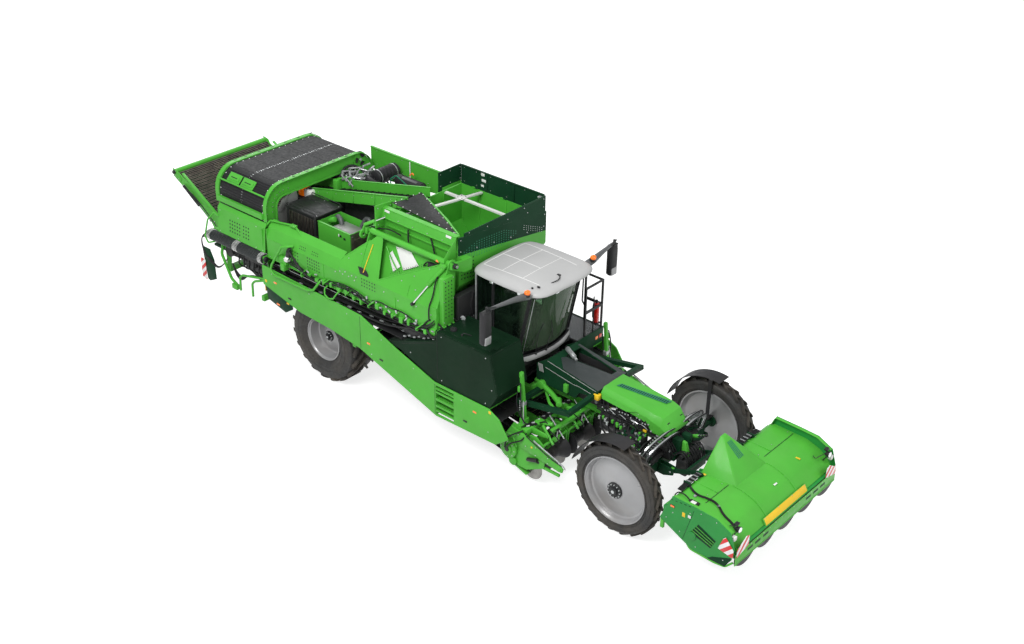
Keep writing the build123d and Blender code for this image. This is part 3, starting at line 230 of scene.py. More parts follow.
@dataclass(frozen=True)
class Finish:
    """One surface finish, built as a material when it is first used.

    Fields give its colour, gloss and metal, how much its colour drifts, how much dust lies on
    low places, how worn its edges are, the grain or pattern that stands up from it, and its glow,
    which is painted light.
    """

    name: str
    colour: Point
    slot: str = "black_paint"
    roughness: float = 0.4
    metallic: float = 0.0
    coat: float = 0.0
    drift: float = 0.12
    drift_scale: float = 1.5
    dust: float = 0.0
    wear: float = 0.0
    grain: float = 0.0
    grain_scale: float = 60.0
    pattern: Pattern = Pattern.PLAIN
    pitch: float = 0.05
    second: Point = (0.8, 0.8, 0.8)
    glow: float = 0.0
    shine: float = 0.4

    def material(self) -> bpy.types.Material:
        """Returns this finish's material, made once."""
        known = bpy.data.materials.get(self.name)
        if known is not None:
            return known
        made = bpy.data.materials.new(self.name)
        self._shade(Nodes(made))
        made.diffuse_color = (*self.colour, 1.0)
        return made

    def _shade(self, nodes: Nodes) -> None:
        """Joins up colour, roughness and relief.

        Args:
            nodes: the material's nodes.
        """
        shader = nodes.shader
        drift = nodes.remap(nodes.noise(self.drift_scale, 4.0), MID_NOISE)
        dark = tuple(c * (1 - self.drift) for c in self.colour)
        light = tuple(min(1.0, c * (1 + self.drift * 0.6)) for c in self.colour)
        colour = nodes.blend(drift, dark, light)
        if self.pattern is Pattern.HAZARD:
            colour = nodes.blend(self._stripes(nodes), colour, self.second)
        if self.wear:
            colour = nodes.blend(self._edges(nodes), colour, BARE_METAL)
        if self.dust:
            colour = nodes.blend(self._dust(nodes), colour, DUST)
        nodes.join(colour, shader.inputs["Base Color"])
        smear = nodes.noise(self.drift_scale * 4 + 3, 2.0)
        gloss = (max(0.02, self.roughness - 0.07), min(1.0, self.roughness + 0.09))
        nodes.join(nodes.remap(smear, MID_NOISE, gloss), shader.inputs["Roughness"])
        levels = {
            "Metallic": self.metallic, "Specular IOR Level": self.shine, "Coat Weight": self.coat,
            "Coat Roughness": COAT_ROUGHNESS,
        }
        # A glow is painted light: it makes a part shine that is no lit lamp.
        if self.glow:
            levels |= {"Emission Color": (*self.colour, 1.0), "Emission Strength": self.glow}
        for socket, level in levels.items():
            shader.inputs[socket].default_value = level
        height = self._relief(nodes)
        if height is not None:
            bump = nodes.add("ShaderNodeBump")
            bump.inputs["Strength"].default_value = BUMP_STRENGTH
            bump.inputs["Distance"].default_value = self.grain
            nodes.join(height, bump.inputs["Height"])
            nodes.join(bump.outputs[0], shader.inputs["Normal"])

    def _relief(self, nodes: Nodes) -> bpy.types.NodeSocket | None:
        """Returns the height of the grain and of a raised pattern, or nothing."""
        if self.pattern in (Pattern.CHEQUER, Pattern.WEAVE):
            turn = tau / self.pitch
            waves = [nodes.maths("SINE", nodes.maths("MULTIPLY", axis, turn)) for axis in nodes.axes()]
            along, across, upward = waves
            return nodes.remap(nodes.maths("MULTIPLY", along, nodes.maths("ADD", across, upward)), (0.2, 0.8))
        if self.grain:
            return nodes.noise(self.grain_scale)
        return None

    def _stripes(self, nodes: Nodes) -> bpy.types.NodeSocket:
        """Returns a mask of slanted stripes, one pitch for each pair."""
        x, y, z = nodes.axes()
        slope = nodes.maths("ADD", nodes.maths("SUBTRACT", z, x), nodes.maths("MULTIPLY", y, -1.0))
        part = nodes.maths("FRACT", nodes.maths("DIVIDE", slope, self.pitch))
        return nodes.maths("GREATER_THAN", part, 0.5)

    def _edges(self, nodes: Nodes) -> bpy.types.NodeSocket:
        """Returns a mask of worn outer edges, broken up by noise."""
        rounded = nodes.add("ShaderNodeBevel", samples=3)
        rounded.inputs["Radius"].default_value = WORN_EDGE
        flat = nodes.add("ShaderNodeNewGeometry")
        dot = nodes.add("ShaderNodeVectorMath", operation="DOT_PRODUCT")
        nodes.join(rounded.outputs[0], dot.inputs[0])
        nodes.join(flat.outputs["Normal"], dot.inputs[1])
        edge = nodes.remap(dot.outputs["Value"], (0.97, 0.8))
        broken = nodes.remap(nodes.noise(9.0, 5.0), (0.52, 0.62))
        return nodes.maths("MULTIPLY", nodes.maths("MULTIPLY", edge, broken), self.wear)

    def _dust(self, nodes: Nodes) -> bpy.types.NodeSocket:
        """Returns a mask of dust, more of it low down, broken up by noise."""
        z = nodes.axes()[2]
        low = nodes.remap(z, (2.4, 0.1), (0.25, 1.0))
        cloud = nodes.remap(nodes.noise(2.2, 6.0), (0.42, 0.72))
        return nodes.maths("MULTIPLY", nodes.maths("MULTIPLY", low, cloud), self.dust)


@dataclass(frozen=True)
class Pane(Finish):
    """Tinted safety glass that light passes straight through.

    Its side panes carry a dark reflection and its windscreen a lighter one; the change lies
    between the two places along X that screen gives.
    """

    tint: float = 0.55
    screen: Span = (2.05, 2.25)

    def _shade(self, nodes: Nodes) -> None:
        """Mixes a clear tinted layer with a mirror-like coat.

        Args:
            nodes: the material's nodes.
        """
        clear = nodes.add("ShaderNodeBsdfTransparent")
        streak = nodes.remap(nodes.noise(1.2, 3.0), (0.35, 0.65))
        nodes.join(nodes.blend(streak, self.colour, self.second), clear.inputs[0])
        front = nodes.remap(nodes.axes()[0], self.screen)
        dark = nodes.blend(streak, (0.012, 0.022, 0.017), (0.02, 0.034, 0.026))
        light = nodes.blend(streak, (0.085, 0.125, 0.08), (0.13, 0.175, 0.12))
        nodes.join(nodes.blend(front, dark, light), nodes.shader.inputs["Base Color"])
        smear = nodes.remap(nodes.noise(3.0, 4.0), MID_NOISE, (0.02, 0.1))
        nodes.join(smear, nodes.shader.inputs["Roughness"])
        gloss = nodes.add("ShaderNodeLayerWeight")
        gloss.inputs["Blend"].default_value = 0.22
        share = nodes.remap(gloss.outputs["Fresnel"], (0.0, 1.0), (self.tint * 0.24, 0.75))
        share = nodes.maths("ADD", share, nodes.maths("MULTIPLY", front, 0.2))
        mix = nodes.add("ShaderNodeMixShader")
        nodes.join(share, mix.inputs[0])
        nodes.join(clear.outputs[0], mix.inputs[1])
        nodes.join(nodes.shader.outputs[0], mix.inputs[2])
        nodes.join(mix.outputs[0], nodes.out.inputs[0])


GLOSS = {"roughness": 0.42, "grain": 0.0004, "grain_scale": 35}
BRIGHT = {"coat": 0.06, "shine": 0.22, **GLOSS}
TREAD_GRAIN = {"grain": 0.002, "grain_scale": 120}
LIME = Finish(
    "light_green_gloss_paint", (0.076, 0.408, 0.04), "light_green_paint", drift=0.08, dust=0.08, wear=0.35, **BRIGHT
)
PINE = Finish(
    "dark_green_gloss_paint", (0.007, 0.042, 0.018), "dark_green_paint", shine=0.07, drift=0.15, dust=0.03, wear=0.25,
    **GLOSS,
)
BOTTLE = Finish(
    "bottle_green_gloss_paint", (0.006, 0.022, 0.01), "dark_green_paint", shine=0.06, drift=0.15, dust=0.02, wear=0.2,
    **GLOSS,
)
# A darker copy of the light green paint on the same slot, used as painted shade. It darkens the topper's frame and end
# caps, whose panels face a little down, and the back of the step recess.
SHADED_LIME = Finish(
    "shaded_light_green_paint", (0.02, 0.255, 0.045), "light_green_paint", drift=0.1, dust=0.05, wear=0.3, **BRIGHT
)
JADE = Finish("mid_green_print", (0.008, 0.17, 0.085), "dark_green_paint", 0.35, coat=0.3)
SATIN = Finish(
    "satin_black_paint", (0.018, 0.019, 0.02), "black_paint", 0.45, drift=0.3, dust=0.1, shine=0.25, wear=0.35,
    grain=0.0006, grain_scale=60,
)
SLATE = Finish(
    "dark_grey_green_paint", (0.04, 0.048, 0.048), "grey_paint", 0.42, coat=0.05, drift=0.12, dust=0.08, wear=0.3,
    grain=0.0006,
)
SILVER = Finish(
    "silver_rim_paint", (0.31, 0.31, 0.315), "rim_paint", 0.36, metallic=0.25, coat=0.3, drift=0.1, dust=0.28,
    grain=0.0005, grain_scale=50,
)
CASTING = Finish(
    "cast_engine_iron", (0.13, 0.135, 0.14), "engine_paint", 0.55, metallic=0.5, drift=0.35, dust=0.1, grain=0.003,
    grain_scale=90,
)
RODS = Finish(
    "worn_spring_steel", (0.22, 0.19, 0.16), "web_steel", 0.42, metallic=0.85, drift=0.45, drift_scale=6, grain=0.001,
    grain_scale=80,
)
TOOL = Finish(
    "worn_tool_steel", (0.26, 0.25, 0.24), "tool_steel", 0.38, metallic=0.9, drift=0.35, drift_scale=5, grain=0.001,
    grain_scale=70,
)
ZINC = Finish(
    "galvanised_steel", (0.48, 0.5, 0.5), "tool_steel", 0.38, metallic=0.7, drift=0.25, drift_scale=14, grain=0.0008,
    grain_scale=40,
)
PIPE = Finish("dull_steel_pipe", (0.36, 0.37, 0.37), "tool_steel", 0.34, metallic=0.6, drift=0.3, drift_scale=9)
CHROME = Finish("polished_rod", (0.72, 0.73, 0.74), "tool_steel", 0.12, metallic=1.0, drift=0.05)
TYRE = Finish(
    "tyre_rubber", (0.025, 0.0245, 0.0235), "tyre", 0.66, drift=0.35, drift_scale=5, dust=0.22, shine=0.5, **TREAD_GRAIN
)
LUG = Finish(
    "dusty_lug_rubber", (0.045, 0.041, 0.036), "tyre", 0.76, drift=0.55, drift_scale=7, dust=0.3, **TREAD_GRAIN
)
BELT = Finish(
    "belt_rubber_sheet", (0.016, 0.017, 0.018), "belt_rubber", 0.58, drift=0.3, drift_scale=4, dust=0.05, shine=0.25,
    grain=0.002, grain_scale=90,
)
HOSE = Finish(
    "hose_rubber", (0.014, 0.014, 0.015), "belt_rubber", 0.5, drift=0.2, grain=0.0005, grain_scale=200, shine=0.25
)
MOULDED = Finish(
    "moulded_black_plastic", (0.022, 0.022, 0.024), "black_plastic", 0.52, drift=0.2, dust=0.08, shine=0.25,
    grain=0.0012, grain_scale=160,
)
ROOF = Finish(
    "pale_roof_moulding", (0.415, 0.415, 0.41), "roof_plastic", 0.42, coat=0.08, drift=0.05, grain=0.0006,
    grain_scale=140,
)
TRIM = Finish(
    "grey_plastic_trim", (0.085, 0.088, 0.09), "black_plastic", 0.42, drift=0.12, grain=0.001, grain_scale=150
)
CLOTH = Finish(
    "woven_seat_cloth", (0.085, 0.095, 0.085), "seat_fabric", 0.9, drift=0.25, drift_scale=9, grain=0.0012,
    pattern=Pattern.WEAVE, pitch=0.008,
)
GLASS = Pane("tinted_safety_glass", (0.66, 0.8, 0.68), "glass", second=(0.6, 0.76, 0.62))
YELLOW = Finish("yellow_print", (0.8, 0.52, 0.02), "light_green_paint", 0.4, drift=0.06)
# Its glow is painted light: amber lenses, reflectors and orange parts shine as if lit, though none is a lit lamp.
AMBER = Finish("amber_lens", (0.85, 0.16, 0.005), "glass", 0.15, coat=0.8, drift=0.1, glow=0.25)
RED = Finish("red_lens", (0.6, 0.012, 0.008), "glass", 0.18, coat=0.8, drift=0.1)
WHITE = Finish("white_paint", (0.72, 0.72, 0.7), "roof_plastic", 0.4, drift=0.08, grain=0.0004)
LENS = Finish("clear_lamp_lens", (0.8, 0.82, 0.84), "glass", 0.08, metallic=0.6, coat=0.8, drift=0.05)
HAZARD = Finish(
    "red_and_white_board", (0.62, 0.015, 0.012), "black_paint", 0.35, coat=0.3, drift=0.05, pattern=Pattern.HAZARD,
    pitch=0.2,
)
CHEQUER = Finish(
    "chequer_plate", (0.1, 0.105, 0.11), "black_paint", 0.4, metallic=0.7, drift=0.3, dust=0.2, grain=0.004,
    pattern=Pattern.CHEQUER, pitch=0.06,
)
LINER = Finish(
    "dusty_steel_liner", (0.3, 0.31, 0.3), "light_green_paint", 0.5, metallic=0.6, drift=0.3, dust=0.5, grain=0.001
)
MIRROR = Finish("mirror_glass", (0.75, 0.77, 0.78), "glass", 0.03, metallic=1.0, drift=0.03)


TUBE_WELD, LATHE_WELD = 0.00002, 0.00005
MOST_SOFT = 0.4
FOLD_STEPS = 6
STUD_TAPER = 0.86


class Shape:
    """A mesh that bmesh operators build up part by part, and that ends as one piece on a body."""

    def __init__(self, finish: Finish) -> None:
        """Starts empty.

        Args:
            finish: the finish of its first parts.
        """
        self.mesh = bmesh.new()
        self.finishes: list[Finish] = []
        self.use(finish)

    def use(self, finish: Finish) -> "Shape":
        """Gives later parts this finish, and returns the shape."""
        if finish not in self.finishes:
            self.finishes.append(finish)
        self.current = self.finishes.index(finish)
        return self

    def take(self, part: bmesh.types.BMesh, moves: list[Matrix] | None = None) -> "Shape":
        """Adds a part with its normals turned outwards, once or at several places.

        Args:
            part: the part, which is freed.
            moves: where each copy goes, or nothing for the part as it is.

        Returns:
            The shape.
        """
        bmesh.ops.recalc_face_normals(part, faces=part.faces[:])
        for face in part.faces:
            face.material_index = self.current
        holder = bpy.data.meshes.new("holder")
        part.to_mesh(holder)
        part.free()
        if moves is None:
            self.mesh.from_mesh(holder)
        else:
            for move in moves:
                copy = holder.copy()
                copy.transform(move)
                if move.determinant() < 0:
                    copy.flip_normals()
                self.mesh.from_mesh(copy)
                bpy.data.meshes.remove(copy)
        bpy.data.meshes.remove(holder)
        return self

    def box(self, x: Span, y: Span, z: Span, soft: float = 0.004, move: Matrix | None = None) -> "Shape":
        """Adds a block with softened edges.

        Args:
            x, y, z: its spans along the axes.
            soft: the size of the bevel on its edges.
            move: a move made after the block is in place.

        Returns:
            The shape.
        """
        centre = [(span[0] + span[1]) / 2 for span in (x, y, z)]
        size = [abs(span[1] - span[0]) for span in (x, y, z)]
        return self.take(block(centre, size, soft), None if move is None else [move])

    def plate(self, outline: list[Flat], plane: Plane, span: Span, soft: float = 0.003) -> "Shape":
        """Adds a plate with a drawn outline.

        Args:
            outline: its corners on the plane's two axes.
            plane: the plane that it is drawn on.
            span: where it starts and ends along the third axis.
            soft: the size of the bevel on its edges.

        Returns:
            The shape.
        """
        part = bmesh.new()
        face = part.faces.new([part.verts.new(plane.place(point, span[0])) for point in outline])
        raise_by(part, bmesh.ops.extrude_face_region(part, geom=[face]), plane.rise(span))
        soften(part, part.edges[:], min(soft, abs(span[1] - span[0]) * MOST_SOFT))
        return self.take(part)

    def rod(
        self, start: Point, end: Point, radius: float, tip: float | None = None, sides: int = 20, soft: float = 0.0
    ) -> "Shape":
        """Adds a round bar or a cone.

        Args:
            start, end: the middles of its ends.
            radius: its radius at the start.
            tip: its radius at the end, where it differs.
            sides: how many sides it has.
            soft: the size of the bevel round its ends.

        Returns:
            The shape.
        """
        part = bmesh.new()
        run = Vector(end) - Vector(start)
        place = Matrix.Translation((Vector(start) + Vector(end)) / 2) @ turned_up_to(run)
        ends = {"radius1": radius, "radius2": radius if tip is None else tip}
        bmesh.ops.create_cone(part, cap_ends=True, segments=sides, depth=run.length, matrix=place, **ends)
        if soft:
            soften(part, [e for e in part.edges if any(len(f.verts) > 4 for f in e.link_faces)], soft)
        return self.take(part)

    def tube(self, route: list[Point], radius: float, sides: int = 8, bend: float = 0.0) -> "Shape":
        """Adds a bent tube or a hose along a smooth line.

        Args:
            route: the points that it follows.
            radius: its radius.
            sides: how many sides it has.
            bend: how far from a corner its bend starts, or 0 for a hose's free line.

        Returns:
            The shape.
        """
        knots = [Vector(point) for point in route]
        points = [knots[0]]
        for before, at, after in zip(knots, knots[1:], knots[2:]):
            if bend:
                points += [at + (before - at).normalized() * bend, at, at + (after - at).normalized() * bend]
            else:
                points.append(at)
        points.append(knots[-1])
        curve = bpy.data.curves.new("line", "CURVE")
        curve.dimensions = "3D"
        curve.bevel_depth = radius
        curve.bevel_resolution = max(0, sides // 2 - 2)
        curve.use_fill_caps = True
        curve.resolution_u = 6
        line = curve.splines.new("NURBS")
        line.points.add(len(points) - 1)
        for knot, point in zip(line.points, points):
            knot.co = (*point, 1.0)
        line.order_u = 3
        line.use_endpoint_u = True
        holder = bpy.data.objects.new("line", curve)
        mesh = bpy.data.meshes.new_from_object(holder)
        part = bmesh.new()
        part.from_mesh(mesh)
        bmesh.ops.remove_doubles(part, verts=part.verts[:], dist=TUBE_WELD)
        bpy.data.objects.remove(holder)
        bpy.data.curves.remove(curve)
        bpy.data.meshes.remove(mesh)
        return self.take(part)

    def sheet(self, corners: list[Point], thick: float = 0.006, soft: float = 0.001) -> "Shape":
        """Adds a flat plate with corners anywhere in space.

        Args:
            corners: its corners in order, all on one plane.
            thick: its thickness, along the side that the corners turn anticlockwise on.
            soft: the size of the bevel on its edges.

        Returns:
            The shape.
        """
        part = bmesh.new()
        face = part.faces.new([part.verts.new(corner) for corner in corners])
        face.normal_update()
        rise = face.normal * thick
        raise_by(part, bmesh.ops.extrude_face_region(part, geom=[face]), rise)
        soften(part, part.edges[:], min(soft, abs(thick) * MOST_SOFT))
        return self.take(part)

    def fold(self, route: list[Flat], plane: Plane, span: Span, thick: float, bend: float = 0.0) -> "Shape":
        """Adds a sheet folded along a drawn line.

        Args:
            route: the line's points on the plane's two axes.
            plane: the plane that it is drawn on.
            span: where the sheet starts and ends along the third axis.
            thick: its thickness.
            bend: how far from a fold its rounding starts.

        Returns:
            The shape.
        """
        part = bmesh.new()
        line = [part.verts.new(plane.place(point, span[0])) for point in route]
        edges = [part.edges.new(pair) for pair in zip(line, line[1:])]
        raise_by(part, bmesh.ops.extrude_edge_only(part, edges=edges), plane.rise(span))
        soften(part, [e for e in part.edges if len(e.link_faces) == 2], bend, FOLD_STEPS)
        bmesh.ops.recalc_face_normals(part, faces=part.faces[:])
        bmesh.ops.solidify(part, geom=part.faces[:], thickness=thick)
        return self.take(part)

    def slats(self, start: Point, end: Point, size: Point, count: int, soft: float = 0.001) -> "Shape":
        """Adds the same small block at even steps along a line.

        Args:
            start, end: the first and the last block's middles.
            size: a block's size along X, Y and Z.
            count: how many there are.
            soft: the size of the bevel on their edges.

        Returns:
            The shape.
        """
        first, run = Vector(start), Vector(end) - Vector(start)
        moves = [Matrix.Translation(first + run * (i / max(1, count - 1))) for i in range(count)]
        return self.take(block((0, 0, 0), size, soft), moves)

    def lathe(
        self, profile: list[Flat], centre: Point, sign: float = 1, steps: int = 64, moves: list[Matrix] | None = None
    ) -> "Shape":
        """Adds a closed profile spun round an axle along Y.

        Args:
            profile: points as distance along the axle and radius, closed back to the first.
            centre: the middle of the wheel.
            sign: 1, or -1 to turn the profile over along the axle.
            steps: how many steps the spin has.
            moves: where copies go, if there are several.

        Returns:
            The shape.
        """
        part = bmesh.new()
        ring = [part.verts.new((centre[0], centre[1] + sign * y, centre[2] + r)) for y, r in profile]
        edges = [part.edges.new(pair) for pair in zip(ring, ring[1:] + ring[:1])]
        bmesh.ops.spin(part, geom=ring + edges, cent=centre, axis=(0, 1, 0), angle=tau, steps=steps, use_merge=True)
        bmesh.ops.remove_doubles(part, verts=part.verts[:], dist=LATHE_WELD)
        return self.take(part, moves)

    def loft(self, rings: list[list[Point]], soft: float = 0.0) -> "Shape":
        """Adds a closed form bridged between rings that have the same number of corners.

        Args:
            rings: the corners of each ring.
            soft: the size of the bevel on its edges.

        Returns:
            The shape.
        """
        part = bmesh.new()
        loops = []
        for ring in rings:
            corners = [part.verts.new(point) for point in ring]
            loops.append([part.edges.new(pair) for pair in zip(corners, corners[1:] + corners[:1])])
        for lower, upper in zip(loops, loops[1:]):
            bmesh.ops.bridge_loops(part, edges=lower + upper)
        for loop in (loops[0], loops[-1]):
            bmesh.ops.contextual_create(part, geom=loop)
        if soft:
            bmesh.ops.recalc_face_normals(part, faces=part.faces[:])
            soften(part, part.edges[:], soft)
        return self.take(part)

    def ball(self, centre: Point, radius: float, flat: Point = (1, 1, 1), rings: int = 8) -> "Shape":
        """Adds a ball, flattened along the axes as given."""
        part = bmesh.new()
        place = Matrix.Translation(centre) @ Matrix.Diagonal((*flat, 1))
        bmesh.ops.create_uvsphere(part, u_segments=rings * 2, v_segments=rings, radius=radius, matrix=place)
        return self.take(part)

    def studs(
        self, places: list[Point], normal: Point, radius: float = 0.012, height: float = 0.008, sides: int = 6
    ) -> "Shape":
        """Adds the same low stud, such as a bolt head, at many places.

        Args:
            places: where each stands.
            normal: the direction that they stand up in.
            radius: each one's radius.
            height: how far each stands up.
            sides: how many sides each has.

        Returns:
            The shape.
        """
        part = bmesh.new()
        ends = {"radius1": radius, "radius2": radius * STUD_TAPER}
        bmesh.ops.create_cone(part, cap_ends=True, segments=sides, depth=height, **ends)
        turn, lift = turned_up_to(normal), Vector(normal).normalized() * (height / 2)
        return self.take(part, [Matrix.Translation(Vector(place) + lift) @ turn for place in places])

    def piece(
        self, name: str, body: str = "chassis", stands_for: tuple[str, ...] = (), angle: float = 38
    ) -> bpy.types.Object:
        """Ends the shape as one piece that rides on a body.

        Args:
            name: the piece's name.
            body: the CAD body that it rides on.
            stands_for: the CAD nodes that it replaces.
            angle: edges sharper than this many degrees stay sharp.

        Returns:
            The piece.
        """
        mesh = bpy.data.meshes.new(name)
        self.mesh.to_mesh(mesh)
        self.mesh.free()
        for finish in self.finishes:
            mesh.materials.append(finish.material())
        mesh.polygons.foreach_set("use_smooth", [True] * len(mesh.polygons))
        mesh.set_sharp_from_angle(angle=radians(angle))
        made = bpy.data.objects.new(name, mesh)
        bpy.context.scene.collection.objects.link(made)
        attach(made, body)
        if stands_for:
            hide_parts(*stands_for)
        log.info("%s: %d faces on %s", name, len(mesh.polygons), body)
        return made


def soften(part: bmesh.types.BMesh, edges: list[bmesh.types.BMEdge], size: float, steps: int = 2) -> None:
    """Bevels edges.

    Args:
        part: the mesh that they are in.
        edges: the edges.
        size: the bevel's size, or 0 for none.
        steps: how many faces each bevel has.
    """
    if size:
        rounding = {"affect": "EDGES", "profile": 0.5, "material": -1, "clamp_overlap": True}
        bmesh.ops.bevel(part, geom=edges, offset=size, segments=steps, **rounding)


def block(centre: Point, size: Point, soft: float) -> bmesh.types.BMesh:
    """Returns a block with softened edges.

    Args:
        centre: its middle.
        size: its size along X, Y and Z.
        soft: the size of the bevel on its edges.
    """
    part = bmesh.new()
    bmesh.ops.create_cube(part, size=1, matrix=Matrix.Translation(centre) @ Matrix.Diagonal((*size, 1)))
    soften(part, part.edges[:], soft)
    return part


def raise_by(part: bmesh.types.BMesh, raised: dict[str, list], rise: Vector) -> None:
    """Moves the corners that an extrusion has just made.

    Args:
        part: the mesh that they are in.
        raised: what the extrusion returned.
        rise: how far they move.
    """
    corners = [found for found in raised["geom"] if isinstance(found, bmesh.types.BMVert)]
    bmesh.ops.translate(part, verts=corners, vec=rise)


def turned_up_to(way: Point) -> Matrix:
    """Returns the turn that takes straight up to another way."""
    return Vector(UP).rotation_difference(Vector(way)).to_matrix().to_4x4()


def ring_of(count: int, start: float = 0.0) -> list[Flat]:
    """Returns the cosine and sine of evenly spaced turns, from a first turn given in steps."""
    return [(cos(tau * (i + start) / count), sin(tau * (i + start) / count)) for i in range(count)]


def sided(sign: int) -> Callable[[float, float, float], Point]:
    """Returns a function that puts a point on one side of the machine."""
    return lambda x, y, z: (x, sign * y, z)


def grid(low: Point, across: Point, along: Point, counts: tuple[int, int]) -> list[Point]:
    """Places points in rows.

    Args:
        low: the first point.
        across: the step to the next column.
        along: the step to the next row.
        counts: how many columns and rows.

    Returns:
        The points.
    """
    first, one, two = Vector(low), Vector(across), Vector(along)
    return [tuple(first + one * i + two * j) for i in range(counts[0]) for j in range(counts[1])]


def dress(finish: Finish, name: str) -> None:
    """Gives the CAD node of this name a finish."""
    mesh = frame["nodes"][name].data
    mesh.materials.clear()
    mesh.materials.append(finish.material())


def dress_frame() -> None:
    """Gives every CAD node that stays its own finish."""
    for name in frame["nodes"]:
        dress(next((finish for start, finish in NODE_FINISHES if name.startswith(start)), LIME), name)


NODE_FINISHES = (
    ("tyre", TYRE), ("rim", SILVER), ("knuckle", PINE), ("fender", MOULDED), ("front_axle", PINE), ("rear_axle", PINE),
    ("engine_block", CASTING), ("radiator", SATIN), ("exhaust", MOULDED), ("fuel_tank", BOTTLE), ("rear_sieving", RODS),
    ("digging_web", RODS), ("ring_belt", BELT), ("cross_roller", BELT), ("rear_web_frame", LIME), ("rear_web", RODS),
    ("filling_belt", BELT), ("bunker_ext", PINE), ("bunker_flap", PINE), ("elevator_belt", BELT), ("cab_frame", SATIN),
    ("cab_roof", ROOF), ("cab_glass", GLASS), ("cab_door_glass", GLASS), ("cab_door", SATIN), ("driver", CLOTH),
    ("steering", MOULDED), ("cab_platform", SATIN), ("mirrors", MOULDED), ("hood_frame", PINE), ("topper_arms", PINE),
    # The topper's frame takes the shaded copy of the light green paint, as painted shade.
    ("topper_frame", SHADED_LIME), ("topper_flaps", BELT), ("topper_rotor", TOOL), ("ridge", MOULDED),
)


VALVE_TURN = 0.6


